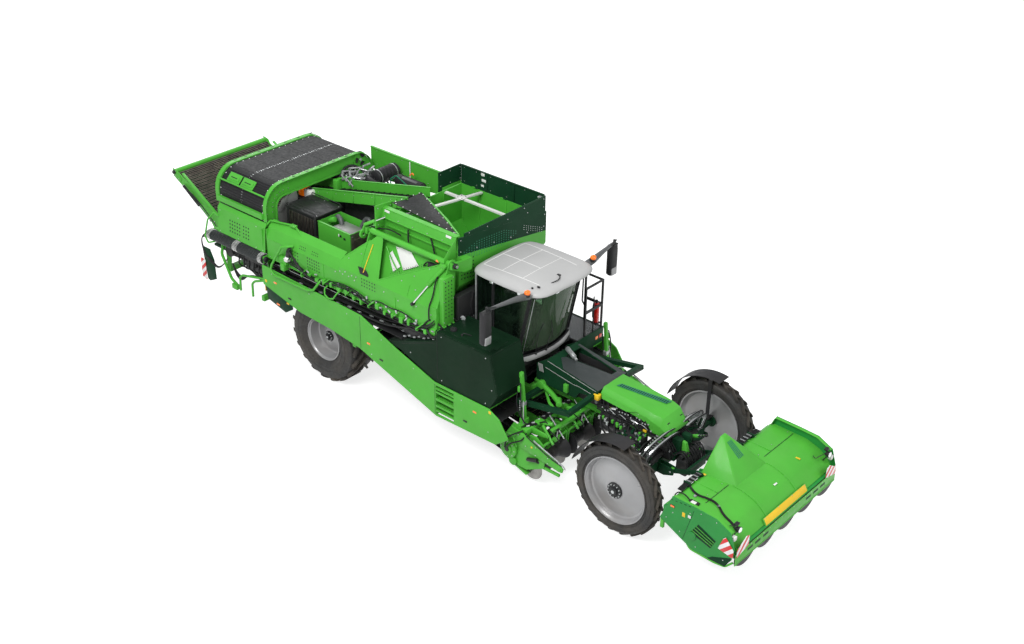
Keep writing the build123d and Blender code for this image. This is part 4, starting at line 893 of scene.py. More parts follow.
@dataclass
class Wheel:
    """One axle's pair of wheels: lugged tyres and dished rims.

    Fields are the axle's name, the number of lugs on each side, a lug's height, width and slant, the rim's radius,
    how far out its dish and its hub stand from the wheel's middle, and its number of nuts.
    """

    axle: str
    lugs: int
    lug_height: float
    lug_width: float
    slant: float
    rim: float
    dish: float
    hub: float
    nuts: int

    def build(self) -> None:
        """Builds the wheels on both sides."""
        for side, sign in SIDES:
            low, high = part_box(f"tyre_{self.axle}_{side}")
            self.centre = tuple((low + high) / 2)
            self.radius = (high.x - low.x) / 2
            self.half = (high.y - low.y) / 2
            self._tyre(side)
            self._rim(side, sign)

    def _tyre(self, side: str) -> None:
        """Builds one tyre.

        Args:
            side: its side of the machine.
        """
        body = f"{self.axle}_wheel_{side}"
        crown = self.radius - self.lug_height
        wall = self.rim + (crown - self.rim) * 0.42
        out = self.half * 0.97
        upper = [
            (out * 0.8, self.rim + 0.006), (out * 0.84, self.rim + 0.035),
            (out * 0.97, self.rim + (wall - self.rim) * 0.6), (out, wall), (out * 0.985, wall + (crown - wall) * 0.45),
            (out * 0.91, crown - 0.028), (out * 0.8, crown - 0.008), (out * 0.4, crown),
        ]
        profile = upper + [(-y, r) for y, r in reversed(upper)]
        tyre = Shape(TYRE)
        tyre.lathe(profile, self.centre, 1, 96)
        turns = []
        for i in range(self.lugs):
            for flip, shift in ((1, 0.0), (-1, 0.5)):
                spin = Matrix.Rotation((i + shift) * tau / self.lugs, 4, "Y")
                turns.append(Matrix.Translation(self.centre) @ spin @ Matrix.Diagonal((1, flip, 1, 1)))
        tyre.use(LUG).take(self._lug(crown, out), turns)
        tyre.use(TYRE)
        for y, r, size in ((out * 0.992, wall + 0.055, 0.008), (out * 0.985, wall - 0.045, 0.006)):
            edge, near = y + size * 0.6, size * 0.4
            for sign in (-1, 1):
                bead = [(y - size, r - size), (edge, r - near), (edge, r + near), (y - size, r + size)]
                tyre.lathe(bead, self.centre, sign, 72)
        tyre.piece(f"tread_{self.axle}_{side}", body, (f"tyre_{self.axle}_{side}",), 32)

    def _lug(self, crown: float, out: float) -> bmesh.types.BMesh:
        """Makes one lug, wrapped round the crown and down over the shoulder.

        Args:
            crown: the radius that it stands on.
            out: half of the tyre's width.

        Returns:
            The lug, round an axle through the origin.
        """
        part = bmesh.new()
        bmesh.ops.create_grid(part, x_segments=8, y_segments=1, size=0.5)
        raise_by(part, bmesh.ops.extrude_face_region(part, geom=part.faces[:]), UP)
        length = out * 1.02
        for vert in part.verts:
            share = vert.co.x + 0.5
            y = -0.03 + share * (length - 0.035)
            top = vert.co.z > 0.5
            width = self.lug_width * (1.25 - 0.25 * share) * (0.74 if top else 1.0)
            along = share ** 1.25 * self.slant + vert.co.y * width
            shoulder = max(0.0, (y / out - 0.72) / 0.28)
            rise = self.lug_height * (1.0 if top else -0.25)
            radius = crown + rise - shoulder ** 2 * (0.085 if top else 0.06) * self.radius
            angle = along / crown
            vert.co = (radius * sin(angle), min(y, out * 0.995), radius * cos(angle))
        return part

    def _rim(self, side: str, sign: int) -> None:
        """Builds one dished rim with its hub and nuts.

        Args:
            side: its side of the machine.
            sign: the direction that its outer face looks in.
        """
        lip = self.half * 0.8
        rim, dish, hub = self.rim, self.dish, self.hub
        front = [
            (lip, rim - 0.002), (lip + 0.01, rim - 0.004), (lip + 0.01, rim - 0.022), (lip - 0.012, rim - 0.03),
            (lip - 0.03, rim - 0.05), (dish + 0.055, rim - 0.062), (dish + 0.018, rim - 0.075), (dish, rim - 0.105),
            (dish + 0.006, rim * 0.72), (dish + (hub - dish) * 0.55, rim * 0.45), (hub - 0.008, rim * 0.33),
            (hub, rim * 0.29), (hub, 0.06),
        ]
        back = [
            (hub - 0.09, 0.06), (hub - 0.09, rim * 0.29), (dish - 0.02, rim * 0.72), (dish - 0.05, rim - 0.09),
            (-lip + 0.03, rim - 0.045), (-lip - 0.006, rim - 0.03), (-lip - 0.006, rim - 0.002),
        ]
        shape = Shape(SILVER)
        shape.lathe(front + back, self.centre, sign, 72)
        x, y, z = self.centre
        outward = (0, sign, 0)
        face = y + sign * hub
        shape.use(SATIN).rod((x, face - sign * 0.02, z), (x, face + sign * 0.03, z), rim * 0.235, sides=32, soft=0.006)
        shape.rod((x, face, z), (x, face + sign * 0.075, z), rim * 0.125, rim * 0.11, 24, soft=0.006)
        shape.use(ZINC)
        circle = rim * 0.19
        nuts = [(x + circle * c, face + sign * 0.03, z + circle * s) for c, s in ring_of(self.nuts)]
        shape.studs(nuts, outward, 0.014, 0.022)
        shape.rod((x, face + sign * 0.07, z), (x, face + sign * 0.085, z), rim * 0.05, sides=16, soft=0.003)
        reach = rim - 0.05
        valve = (x + reach * cos(VALVE_TURN), y + sign * (lip - 0.026), z + reach * sin(VALVE_TURN))
        shape.studs([valve], outward, 0.007, 0.045, 8)
        shape.piece(f"wheel_disc_{self.axle}_{side}", f"{self.axle}_wheel_{side}", (f"rim_{self.axle}_{side}",), 30)


@dataclass
class Topper:
    """The haulm topper in front: its hood, end panels, rubber skirt, boards, lamps and hoses."""

    half_width: float = 1.7
    inner: float = 1.6865
    lobes: int = 5
    flails: int = 38
    axle: Flat = (6.9614, 0.9)
    pins: tuple[Flat, Flat] = ((5.62, 0.96), (6.2214, 1.1789))

    def build(self) -> None:
        """Builds every part of the topper."""
        self._hood()
        self._hood_marks()
        self._skirt()
        self._end_panels()
        self._front_beam()
        self._boards()
        self._lamps()
        self._hoses()
        self._rotor()
        self._arm_details()

    def _hood(self) -> None:
        """Builds the hood's rolled sheet, its centre housing and its two ribs."""
        line = [
            (6.371, 1.29), (6.421, 1.343), (6.861, 1.329), (7.171, 1.326), (7.481, 1.228), (7.681, 1.058),
            (7.761, 0.954),
        ]
        hood = Shape(LIME)
        hood.fold(line, Plane.XZ, (-self.inner, self.inner), 0.01, 0.085)
        hood.loft([
            [(6.335, -0.6, 1.322), (7.04, -0.5, 1.322), (7.04, 0.5, 1.322), (6.335, 0.6, 1.322)],
            [(6.352, -0.075, 1.895), (6.412, -0.045, 1.895), (6.412, 0.045, 1.895), (6.352, 0.075, 1.895)],
        ], 0.016)
        rib = [(7.0, 1.338), (7.17, 1.338), (7.488, 1.24), (7.694, 1.066), (7.77, 0.962)]
        for y in (-0.505, 0.505):
            hood.fold(rib, Plane.XZ, (y - 0.022, y + 0.022), 0.022, 0.085)
        for y in (-0.87, 0.87):
            hood.box((6.372, 6.88), (y - 0.012, y + 0.012), (1.325, 1.347))
        hood.piece("topper_shell", "topper", ("topper_hood",), 30)

    def _slope(self, x: float, y: float, lift: float = 0.0) -> Point:
        """Returns a point on the front face of the centre housing."""
        return (x + lift * 0.68, y, 1.897 - 0.912 * (x - 6.412) + lift * 0.73)

    def _hood_marks(self) -> None:
        """Adds the slots by the apex, the seams with their slots, and the print."""
        marks = Shape(JADE)
        for i in range(4):
            top, low = -0.062 + 0.034 * i, -0.048 + 0.044 * i
            corners = ((6.5, top), (6.77, low), (6.77, low + 0.026), (6.5, top + 0.02))
            marks.sheet([self._slope(x, y, 0.001) for x, y in corners], 0.002)
        for side, start, end in ((-1, 0.57, 1.24), (1, 0.66, 1.62)):
            marks.use(SATIN).slats((6.905, side * start, 1.336), (6.905, side * end, 1.336), (0.01, 0.05, 0.006), 9)
            marks.use(PINE).box((6.899, 6.911), (side * start, side * end), (1.3315, 1.3345), 0.0005)
        marks.use(YELLOW).box((7.3, 7.4), (1.06, 1.1), (1.274, 1.282), 0.002)
        marks.sheet([(6.38, -0.62, 1.348), (6.45, -0.62, 1.3505), (6.45, -0.57, 1.3505), (6.38, -0.57, 1.348)], 0.002)
        marks.use(WHITE).sheet([(7.44, 0.1, 1.252), (7.47, 0.1, 1.243), (7.47, 0.2, 1.243), (7.44, 0.2, 1.252)], 0.002)
        marks.use(ZINC)
        for y in (-1.62, -1.05, -0.6, 0.6, 1.05, 1.62):
            marks.studs([(6.45, y, 1.347), (6.8, y, 1.336)], UP, 0.01, 0.007)
        marks.piece("topper_marks", "topper")

    def _skirt(self) -> None:
        """Builds the black rubber skirt with its rounded lobes and its clamp strip."""
        pitch = 2 * self.inner / self.lobes
        steps = 14
        low = [
            (-self.inner + i * pitch / steps, 0.735 - 0.172 * abs(sin(pi * i / steps)) ** 0.8)
            for i in range(self.lobes * steps + 1)
        ]
        skirt = Shape(HOSE)
        skirt.plate(low + [(self.inner, 0.935), (-self.inner, 0.935)], Plane.YZ, (7.823, 7.841), 0.004)
        skirt.use(LIME).box((7.8415, 7.85), (-self.inner, self.inner), (0.715, 0.935), 0.003)
        skirt.box((7.83, 7.856), (-self.inner, self.inner), (0.7, 0.716))
        skirt.use(PINE)
        for y in (0.72, 0.98, 1.22):
            for side in (-1, 1):
                skirt.box((7.8495, 7.852), (side * y - 0.085, side * y + 0.085), (0.815, 0.865), 0.0)
        skirt.use(ZINC).studs([(7.8475, -1.6 + i * 0.2, 0.915) for i in range(17)], AHEAD, 0.011, 0.007)
        skirt.piece("topper_skirt", "topper", ("topper_flaps",), 32)

    def _end_panels(self) -> None:
        """Adds the end panels' flanges, louvres, seams, skids and markers."""
        flange = [(6.262, 0.955), (6.497, 1.516), (7.021, 1.506), (7.409, 1.487), (7.716, 1.34)]
        for name, side in SIDES:
            face, out = side * self.half_width, (0, side, 0)
            panel = Shape(LIME)
            panel.fold(
                flange, Plane.XZ, (side * (self.half_width - 0.004), side * (self.half_width - 0.075)), 0.008, 0.03
            )
            panel.box((6.28, 6.35), (face, face - side * 0.05), (0.74, 0.95), 0.006)
            panel.use(PINE)
            corners = [(6.915, 0.955), (7.345, 0.83), (7.445, 1.03), (7.065, 1.2)]
            run = [(x, face, z) for x, z in corners]
            panel.sheet(run if side < 0 else run[::-1], 0.003, 0.001)
            panel.use(LIME)
            for share in (0.25, 0.5, 0.75):
                (x0, z0), (x1, z1), (x2, z2), (x3, z3) = corners
                a, b = x0 + (x3 - x0) * share, x1 + (x2 - x1) * share
                c, d = z0 + (z3 - z0) * share, z1 + (z2 - z1) * share
                run = [(a, face, c - 0.006), (b, face, d - 0.006), (b, face, d + 0.006), (a, face, c + 0.006)]
                panel.sheet(run if side < 0 else run[::-1], 0.01, 0.002)
            # The shaded copy of the light green paint gives painted shade on the end cap, as on the topper's frame.
            panel.use(SHADED_LIME)
            cap = [(-0.006, 0.0), (-0.006, 0.085), (0.02, 0.08), (0.024, 0.0)]
            panel.lathe(cap, (self.axle[0], face, self.axle[1]), side, 28)
            panel.use(PINE).rod((6.952, face, 1.43), (6.772, face, 0.73), 0.0045, sides=6)
            panel.slats((6.49, face + side * 0.001, 1.44), (6.86, face + side * 0.001, 1.48), (0.045, 0.004, 0.014), 5)
            panel.plate([
                (7.3, 0.6), (7.66, 0.605), (7.775, 0.8), (7.765, 0.84), (7.4, 0.68)
            ], Plane.XZ, (face, face + side * 0.004), 0.001)
            panel.use(AMBER).box((6.47, 6.55), (face, face + side * 0.012), (1.292, 1.328), 0.005)
            panel.use(SATIN).box((6.46, 6.56), (face, face + side * 0.004), (1.284, 1.336), 0.003)
            panel.use(YELLOW).box((6.72, 6.78), (face, face + side * 0.002), (1.2, 1.29), 0.001)
            panel.use(WHITE).box((6.84, 6.9), (face, face + side * 0.002), (1.23, 1.29), 0.001)
            panel.use(ZINC)
            bolts = (
                (6.4, 1.02), (6.53, 1.18), (6.7, 0.86), (6.88, 1.34), (7.1, 1.44), (7.42, 1.42), (7.62, 0.72),
                (7.05, 0.7),
            )
            panel.studs([(x, face, z) for x, z in bolts], out, 0.011, 0.007)
            skid = ((6.8, 0.735), (6.93, 0.585), (7.42, 0.56), (7.66, 0.59), (7.8, 0.745))
            panel.use(LIME).tube([(x, face - side * 0.02, z) for x, z in skid], 0.02, 12, 0.09)
            panel.piece(f"topper_end_{name}", "topper")

    def _front_beam(self) -> None:
        """Adds the slotted front rail and the blank yellow board."""
        beam = Shape(LIME)
        beam.box((7.7415, 7.8205), (-self.inner + 0.002, self.inner - 0.002), (0.861, 0.9385), 0.006)
        beam.use(PINE)
        for side in (-1, 1):
            beam.slats((7.8215, side * 0.8, 0.905), (7.8215, side * 1.42, 0.905), (0.004, 0.11, 0.03), 5)
        beam.use(LIME).sheet(
            [(7.815, -0.66, 0.885), (7.815, 0.78, 0.885), (7.715, 0.78, 1.06), (7.715, -0.66, 1.06)], 0.006, 0.002
        )
        beam.use(YELLOW).sheet(
            [(7.8205, -0.63, 0.893), (7.8205, 0.75, 0.893), (7.7262, 0.75, 1.055), (7.7262, -0.63, 1.055)], 0.003, 0.001
        )
        beam.use(ZINC).studs([
            (x, y, z) for y in (-0.6, -0.15, 0.3, 0.72) for x, z in ((7.819, 0.902), (7.732, 1.051))
        ], (0.87, 0, 0.5), 0.009, 0.006)
        beam.piece("topper_front_rail", "topper")

    def _boards(self) -> None:
        """Adds two red and white boards at each front corner."""
        for name, side in SIDES:
            out = side * (self.half_width + 0.014)
            boards = Shape(HAZARD)
            boards.plate([
                (7.505, 0.93), (7.815, 0.865), (7.815, 1.03), (7.64, 1.23), (7.59, 1.18)
            ], Plane.XZ, (out, out + side * 0.006), 0.001)
            boards.plate([
                (side * 1.66, 0.865), (side * 1.3, 0.955), (side * 1.3, 1.16), (side * 1.4, 1.19), (side * 1.66, 1.03)
            ], Plane.YZ, (7.85, 7.857), 0.001)
            boards.use(ZINC).box((7.58, 7.76), (out - side * 0.014, out - side * 0.001), (0.96, 1.0), 0.002)
            boards.box((7.82, 7.849), (side * 1.36, side * 1.58), (0.98, 1.02), 0.002)
            boards.use(LIME).sheet([
                (7.7, side * 1.6, 1.04), (7.846, side * 1.6, 1.0), (7.846, side * 1.6, 0.96), (7.7, side * 1.6, 0.96)
            ], 0.008)
            boards.piece(f"topper_boards_{name}", "topper")

    def _lamps(self) -> None:
        """Adds the black lamps that stand over the front corners."""
        for name, side in SIDES:
            lamp = Shape(SATIN)
            y = side * 1.5
            lamp.tube([(7.62, y + side * 0.06, 1.11), (7.7, y + side * 0.04, 1.24), (7.74, y, 1.33)], 0.011)
            lamp.rod((7.69, y, 1.335), (7.775, y, 1.335), 0.042, 0.062, 24, soft=0.006)
            lamp.box((7.66, 7.73), (y - 0.05, y + 0.05), (1.41, 1.45), 0.008)
            lamp.tube([(7.7, y, 1.36), (7.69, y, 1.42)], 0.01)
            lamp.tube([
                (7.69, y, 1.335), (7.62, y - side * 0.06, 1.28), (7.56, y - side * 0.16, 1.215),
                (7.5, y - side * 0.1, 1.235),
            ], 0.007)
            lamp.use(LENS).rod((7.772, y, 1.335), (7.78, y, 1.335), 0.056, 0.05, 24)
            lamp.use(WHITE).box((7.7, 7.776), (y + side * 0.075, y + side * 0.155), (1.17, 1.25), 0.006)
            lamp.piece(f"topper_lamp_{name}", "topper")

    def _hoses(self) -> None:
        """Adds hoses, their lid box and the slotted covers behind the hood."""
        run = Shape(HOSE)
        for i in range(3):
            route = (
                (6.4, -1.02, 1.352), (6.62, -1.2, 1.362), (6.9, -1.12, 1.356), (7.1, -1.15, 1.352), (7.3, -1.29, 1.308),
                (7.52, -1.28, 1.216), (7.62, -1.33, 1.145),
            )
            run.tube([(x, y - 0.02 * i, z) for x, y, z in route], 0.007)
        run.use(ZINC).studs([(6.66, -1.23, 1.34), (7.12, -1.19, 1.332)], UP, 0.035, 0.016)
        run.use(SATIN).box((6.66, 6.86), (-1.52, -1.36), (1.336, 1.364), 0.01)
        run.use(WHITE).box((6.71, 6.81), (-1.49, -1.39), (1.364, 1.367), 0.001)
        run.use(HOSE).tube([(6.28, -1.3, 1.2), (6.36, -1.36, 1.38), (6.55, -1.34, 1.372), (6.68, -1.42, 1.362)], 0.012)
        for side in (-1, 1):
            rows = [0.022 * i for i in range(5)]
            for row in rows:
                run.tube([
                    (6.3 + row, side * 0.64, 1.365), (6.3 + row, side * 1.0, 1.372), (6.32 + row, side * 1.28, 1.352)
                ], 0.01)
            run.use(ZINC)
            for row in rows:
                run.slats((6.3 + row, side * 0.66, 1.37), (6.3 + row, side * 0.98, 1.377), (0.014, 0.034, 0.012), 4)
            run.use(PINE).box((6.275, 6.425), (side * 0.63, side * 0.66), (1.29, 1.392))
            run.box((6.275, 6.425), (side * 1.02, side * 1.05), (1.29, 1.392))
            run.use(HOSE)
        run.piece("topper_hoses", "topper")

    def _rotor(self) -> None:
        """Adds the rows of hinged flails on the rotor."""
        blades = Shape(TOOL)
        x, z = self.axle
        places = [-1.56 + i * 3.12 / (self.flails - 1) for i in range(self.flails)]
        turns = [Matrix.Rotation(radians(90 * (i % 4) + 45), 4, "Y") for i in range(self.flails)]
        moves = [Matrix.Translation((x, y, z)) @ turn for y, turn in zip(places, turns)]
        blades.take(block((0.2, 0, 0), (0.13, 0.045, 0.012), 0.004), moves)
        for y in places:
            blades.rod((x, y - 0.03, z), (x, y + 0.03, z), 0.1, sides=20, soft=0.005)
        blades.piece("topper_flails", "topper_rotor")

    def _arm_details(self) -> None:
        """Adds the bosses and the pin heads at both ends of the lifting arms."""
        arms = Shape(LIME)
        lugs = [(*pin, half, radius) for pin, half, radius in zip(self.pins, (0.06, 0.055), (0.052, 0.046))]
        for side in (-1, 1):
            y = side * 0.42
            for x, z, half, radius in lugs:
                arms.rod((x, y - side * half, z), (x, y + side * half, z), radius, sides=24, soft=0.006)
        arms.use(ZINC)
        for side in (-1, 1):
            heads = [(x, side * (0.42 + half), z) for x, z, half, _ in lugs]
            arms.studs(heads, (0, side, 0), 0.024, 0.016)
        arms.piece("topper_arm_bosses", "topper_arms")


@dataclass
class Ring:
    """The belt ring across the machine: its studs, seams, flanges, brackets, cover and ribbed roll."""

    rear: float = -5.8
    front: float = -4.32
    top: float = 4.01
    level: float = 2.03
    upright: float = 1.22
    corner: float = 0.52
    middle: Flat = (-0.085, 2.88)
    roll: Flat = (-1.768, 2.43)
    flutes: int = 26

    def build(self) -> None:
        """Builds every part of the ring."""
        self._belt()
        self._flanges()
        self._cover()
        self._roll()
        self._guides()

    def _around(self, run: float) -> tuple[Flat, Flat]:
        """Finds a place on the belt's outer face.

        Args:
            run: the distance from the far end of the top, towards the near side.

        Returns:
            Its Y and Z, and the Y and Z of the way that it faces.
        """
        arc = self.corner * pi / 2
        half = self.level + self.upright + 2 * arc
        if run >= half:
            (y, z), (a, b) = self._around(run - half)
            return (2 * self.middle[0] - y, 2 * self.middle[1] - z), (-a, -b)
        left, near = self.middle[0] + self.level / 2, self.middle[0] - self.level / 2
        high, low = self.middle[1] + self.upright / 2, self.middle[1] - self.upright / 2
        if run < self.level:
            return (left - run, self.top), (0.0, 1.0)
        run -= self.level
        if run < arc:
            turn = run / self.corner
            return (near - self.corner * sin(turn), high + self.corner * cos(turn)), (-sin(turn), cos(turn))
        run -= arc
        if run < self.upright:
            return (near - self.corner, high - run), (-1.0, 0.0)
        turn = (run - self.upright) / self.corner
        return (near - self.corner * cos(turn), low - self.corner * sin(turn)), (-cos(turn), -sin(turn))

    def _belt(self) -> None:
        """Adds the belt's edge studs, its laced middle, its joints and its ribs."""
        belt = Shape(WHITE)
        whole = 2 * (self.level + self.upright) + self.corner * tau
        studs, stitches, joints, ribs = 57, 170, 20, 64
        for i in range(studs):
            (y, z), (a, b) = self._around(i * whole / studs)
            belt.studs([(self.rear + 0.045, y, z), (self.front - 0.045, y, z)], (0, a, b), 0.013, 0.005)
        belt.use(ZINC)
        for i in range(stitches):
            (y, z), (a, b) = self._around(i * whole / stitches)
            shift = 0.01 * sin(i * 2.4)
            belt.studs([(-5.07 + shift, y, z), (-5.05 - shift, y, z)], (0, a, b), 0.012, 0.002, 4)
        belt.use(HOSE)
        for i in range(joints):
            move = self._stand(*self._around((i + 0.35) * whole / joints))
            belt.box((self.rear + 0.012, self.front - 0.012), (-0.007, 0.007), (0, 0.003), 0.001, move)
        for i in range(ribs):
            move = self._stand(*self._around(self.level + 0.25 + i * 0.058))
            belt.box((self.rear + 0.09, self.front - 0.09), (-0.01, 0.01), (0, 0.01), 0.003, move)
        belt.piece("ring_belt_lacing")

    def _stand(self, place: Flat, way: Flat) -> Matrix:
        """Returns the move that stands a part at a Y and Z, with its own Z facing this way."""
        turn = Vector(way[::-1]).angle_signed(Vector((1, 0)))
        return Matrix.Translation((0, *place)) @ Matrix.Rotation(-turn, 4, "X")

    def _flanges(self) -> None:
        """Adds the flat flanges along both frames, with slots, bolts and the corner bracket."""
        rim = Shape(LIME)
        route = [(1.47, 2.0), (1.475, 4.035), (-1.645, 4.035), (-1.645, 3.25)]
        for x0, x1 in ((-5.915, -5.8), (-4.32, -4.215)):
            rim.fold(route, Plane.YZ, (x0, x1), 0.008, 0.5)
            inner = x1 - 0.006 if x1 > -5 else x0 + 0.006
            rim.fold([
                (1.2, 2.0), (1.205, 3.745), (-1.375, 3.745), (-1.375, 2.7)
            ], Plane.YZ, (inner - 0.006, inner + 0.006), 0.03, 0.26)
        bend = self._stand((-1.468, 3.858), (-SLANT, SLANT))
        for x in (-5.6, -5.15):
            rim.box((x, x + 0.4), (-0.105, 0.105), (0.012, 0.03), 0.004, bend)
            rim.box((x + 0.04, x + 0.36), (-0.055, 0.055), (0.028, 0.048), 0.004, bend)
        rim.box((-5.83, -4.3), (-0.018, 0.018), (0.03, 0.07), 0.005, self._stand((-1.55, 3.77), (-0.83, 0.55)))
        rim.use(HOSE)
        for x in (-5.6, -5.15):
            rim.box((x + 0.1, x + 0.3), (-0.01, 0.01), (0.047, 0.0495), 0.001, bend)
        for x in (-5.862, -4.262):
            for y in (1.1, 0.72, 0.34, -0.04, -0.42, -0.8, -1.08):
                rim.box((x - 0.016, x + 0.016), (y - 0.038, y + 0.038), (4.035, 4.0372), 0.0008)
        rim.use(ZINC)
        for x in (-5.862, -4.262):
            rim.studs([(x, y, 4.035) for y in (0.91, 0.53, 0.15, -0.23, -0.61, -0.95)], UP, 0.013)
        for i in range(11):
            (y, z), (a, b) = self._around(self.level - 0.15 + i * 0.15)
            rim.studs([(-4.283, y - a * 0.2, z - b * 0.2), (-4.283, y - a * 0.05, z - b * 0.05)], AHEAD)
        rim.use(LINER)
        inner = [(-1.285, 2.62), (-1.275, 3.42), (-1.14, 3.6), (-0.74, 3.685), (-0.7, 3.5), (-0.86, 3.22), (-1.0, 2.62)]
        rim.plate(inner, Plane.YZ, (-4.288, -4.282), 0.001)
        rim.plate(
            [(-1.29, 3.35), (-1.16, 3.6), (-0.95, 3.68), (-1.02, 3.5), (-1.14, 3.32)], Plane.YZ, (-4.28, -4.272), 0.002
        )
        rim.use(HOSE)
        slot = ((0.075, 0.0), (0.145, 0.0), (0.15, 0.55), (0.145, 1.1), (0.075, 1.1), (0.07, 0.55))
        for turn in (0.4, 2.5, 4.6):
            corners = [(-4.2437, 1.12 + r * cos(turn + t), 3.84 + r * sin(turn + t)) for r, t in slot]
            rim.sheet(corners, 0.002, 0.0005)
        rim.use(ZINC).studs([(-4.2437, 1.12, 3.84)], AHEAD, 0.035, 0.02, 12)
        rim.piece("ring_flanges")

    def _cover(self) -> None:
        """Adds holes, bolts, guard tubes and a clamp to the right-hand cover."""
        cover = Shape(HOSE)
        out = (0, -0.985, 0.172)
        for start, columns in ((-5.38, 5), (-4.92, 3)):
            spots = []
            for i in range(columns):
                for j in range(4):
                    rise = 2.72 + j * 0.082
                    spots.append((start + i * 0.082, -1.7665 + (rise - 2.58) * 0.0877 - 0.0008, rise))
            cover.studs(spots, out, 0.02, 0.0015, 12)
        cover.use(ZINC)
        for x in (-5.72, -5.1, -4.5, -4.28):
            cover.studs([(x, -1.7625, 2.62), (x, -1.7195, 3.1)], out, 0.012, 0.007)
        cover.use(LIME).tube([
            (-5.77, -1.74, 2.95), (-5.84, -1.8, 3.03), (-5.96, -1.9, 2.86), (-6.09, -1.92, 2.42), (-6.02, -1.9, 2.27),
            (-5.9, -1.76, 2.3),
        ], 0.018, 10, 0.06)
        cover.tube([
            (-4.26, -1.68, 3.14), (-4.18, -1.58, 3.3), (-3.55, -1.5, 3.36), (-3.42, -1.5, 3.33), (-2.78, -1.66, 3.02)
        ], 0.02, 10, 0.07)
        cover.box((-3.6, -3.44), (-1.545, -1.455), (3.335, 3.375), 0.006)
        cover.piece("ring_cover_details")

    def _roll(self) -> None:
        """Builds the fluted rubber roll with its bristle bands and bearings."""
        y, z = self.roll
        roll = Shape(BELT)
        roll.rod((-6.1, y, z), (-4.222, y, z), 0.108, sides=40, soft=0.004)
        centre = Matrix.Translation((0, y, z))
        at_flutes, between = ([
            centre @ Matrix.Rotation((i + shift) * tau / self.flutes, 4, "X") for i in range(self.flutes)
        ] for shift in (0.0, 0.5))
        roll.use(SLATE).take(block((-5.161, 0, 0.112), (1.8, 0.011, 0.018), 0.003), at_flutes)
        roll.use(WHITE)
        for x, wide in ((-6.035, 0.11), (-5.13, 0.15), (-4.3, 0.11)):
            roll.take(block((x, 0, 0.113), (wide, 0.008, 0.024), 0.0), between)
        roll.use(LIME).box((-6.105, -5.83), (-1.64, -1.562), (z - 0.082, z + 0.082), 0.006)
        roll.box((-4.29, -4.218), (-1.64, -1.562), (z - 0.082, z + 0.082), 0.006)
        for x in (-6.118, -4.222):
            roll.box((x - 0.014, x + 0.014), (-1.83, -1.562), (z - 0.082, z + 0.082), 0.006)
        roll.use(SATIN)
        for x, turn in ((-6.13, -1), (-4.21, 1)):
            roll.rod((x, y, z), (x + turn * 0.045, y, z), 0.07, 0.055, 28, soft=0.006)
        roll.use(ZINC)
        for x, turn in ((-6.132, -1), (-4.208, 1)):
            roll.studs(
                [(x, y + 0.05 * cos(a), z + 0.05 * sin(a)) for a in (0.8, 2.35, 3.9, 5.5)], (turn, 0, 0), 0.01, 0.012
            )
        roll.piece("fluted_roll", "chassis", ("cross_roller",))

    def _guides(self) -> None:
        """Adds the step tubes, the marker board and the coiled lines under the ring."""
        under = Shape(LIME)
        for x in (-5.1, -4.68):
            under.tube([
                (-4.27, -1.79, 1.9 - (x + 4.68) * 0.1), (x + 0.06, -1.79, 1.76), (x - 0.02, -1.8, 1.68),
                (x - 0.03, -1.8, 1.36),
            ], 0.026, 10, 0.07)
        under.tube([(-5.86, -1.6, 2.3), (-5.9, -1.66, 1.95), (-5.62, -1.66, 1.42), (-5.5, -1.62, 1.3)], 0.034, 10, 0.1)
        under.box((-5.6, -5.42), (-1.69, -1.6), (1.2, 1.32), 0.01)
        under.use(PINE).plate([
            (-6.7, 1.86), (-6.42, 1.86), (-6.3, 1.62), (-6.28, 1.14), (-6.52, 1.02), (-6.6, 1.05)
        ], Plane.XZ, (-1.6, -1.585))
        under.box((-6.3, -5.85), (-1.55, -0.1), (1.98, 2.04), 0.01)
        under.plate(
            [(-4.25, 1.86), (-3.4, 1.8), (-3.38, 1.52), (-3.62, 1.36), (-4.18, 1.5)], Plane.XZ, (-1.8, -1.78), 0.004
        )
        under.use(HAZARD).plate(
            [(-6.78, 1.05), (-6.62, 1.02), (-6.62, 1.52), (-6.78, 1.55)], Plane.XZ, (-1.615, -1.603), 0.001
        )
        under.use(AMBER).box((-3.9, -3.8), (-1.806, -1.8), (1.46, 1.5), 0.002)
        under.use(YELLOW).box((-4.262, -4.25), (-1.8, -1.76), (1.66, 1.9), 0.003)
        under.box((-3.56, -3.48), (-1.806, -1.8), (1.6, 1.64), 0.002)
        under.use(HOSE)
        for i in range(3):
            out, down = 0.02 * i, 0.05 * i
            under.tube([
                (-6.05, -1.45, 2.05), (-6.45, -1.58 - out, 2.3 - down), (-6.74, -1.6, 2.05),
                (-6.62 + 0.03 * i, -1.6, 1.62), (-6.4, -1.62, 1.66 - down), (-6.1, -1.6, 1.42), (-5.85, -1.55, 1.8),
            ], 0.013)
        for i in range(4):
            under.tube([
                (-5.75, -1.5, 1.7), (-5.4, -1.6 - 0.02 * i, 1.45 - 0.04 * i), (-5.0, -1.55, 1.7 + 0.03 * i),
                (-4.5, -1.45, 1.6),
            ], 0.014)
        under.piece("rear_corner_fittings")


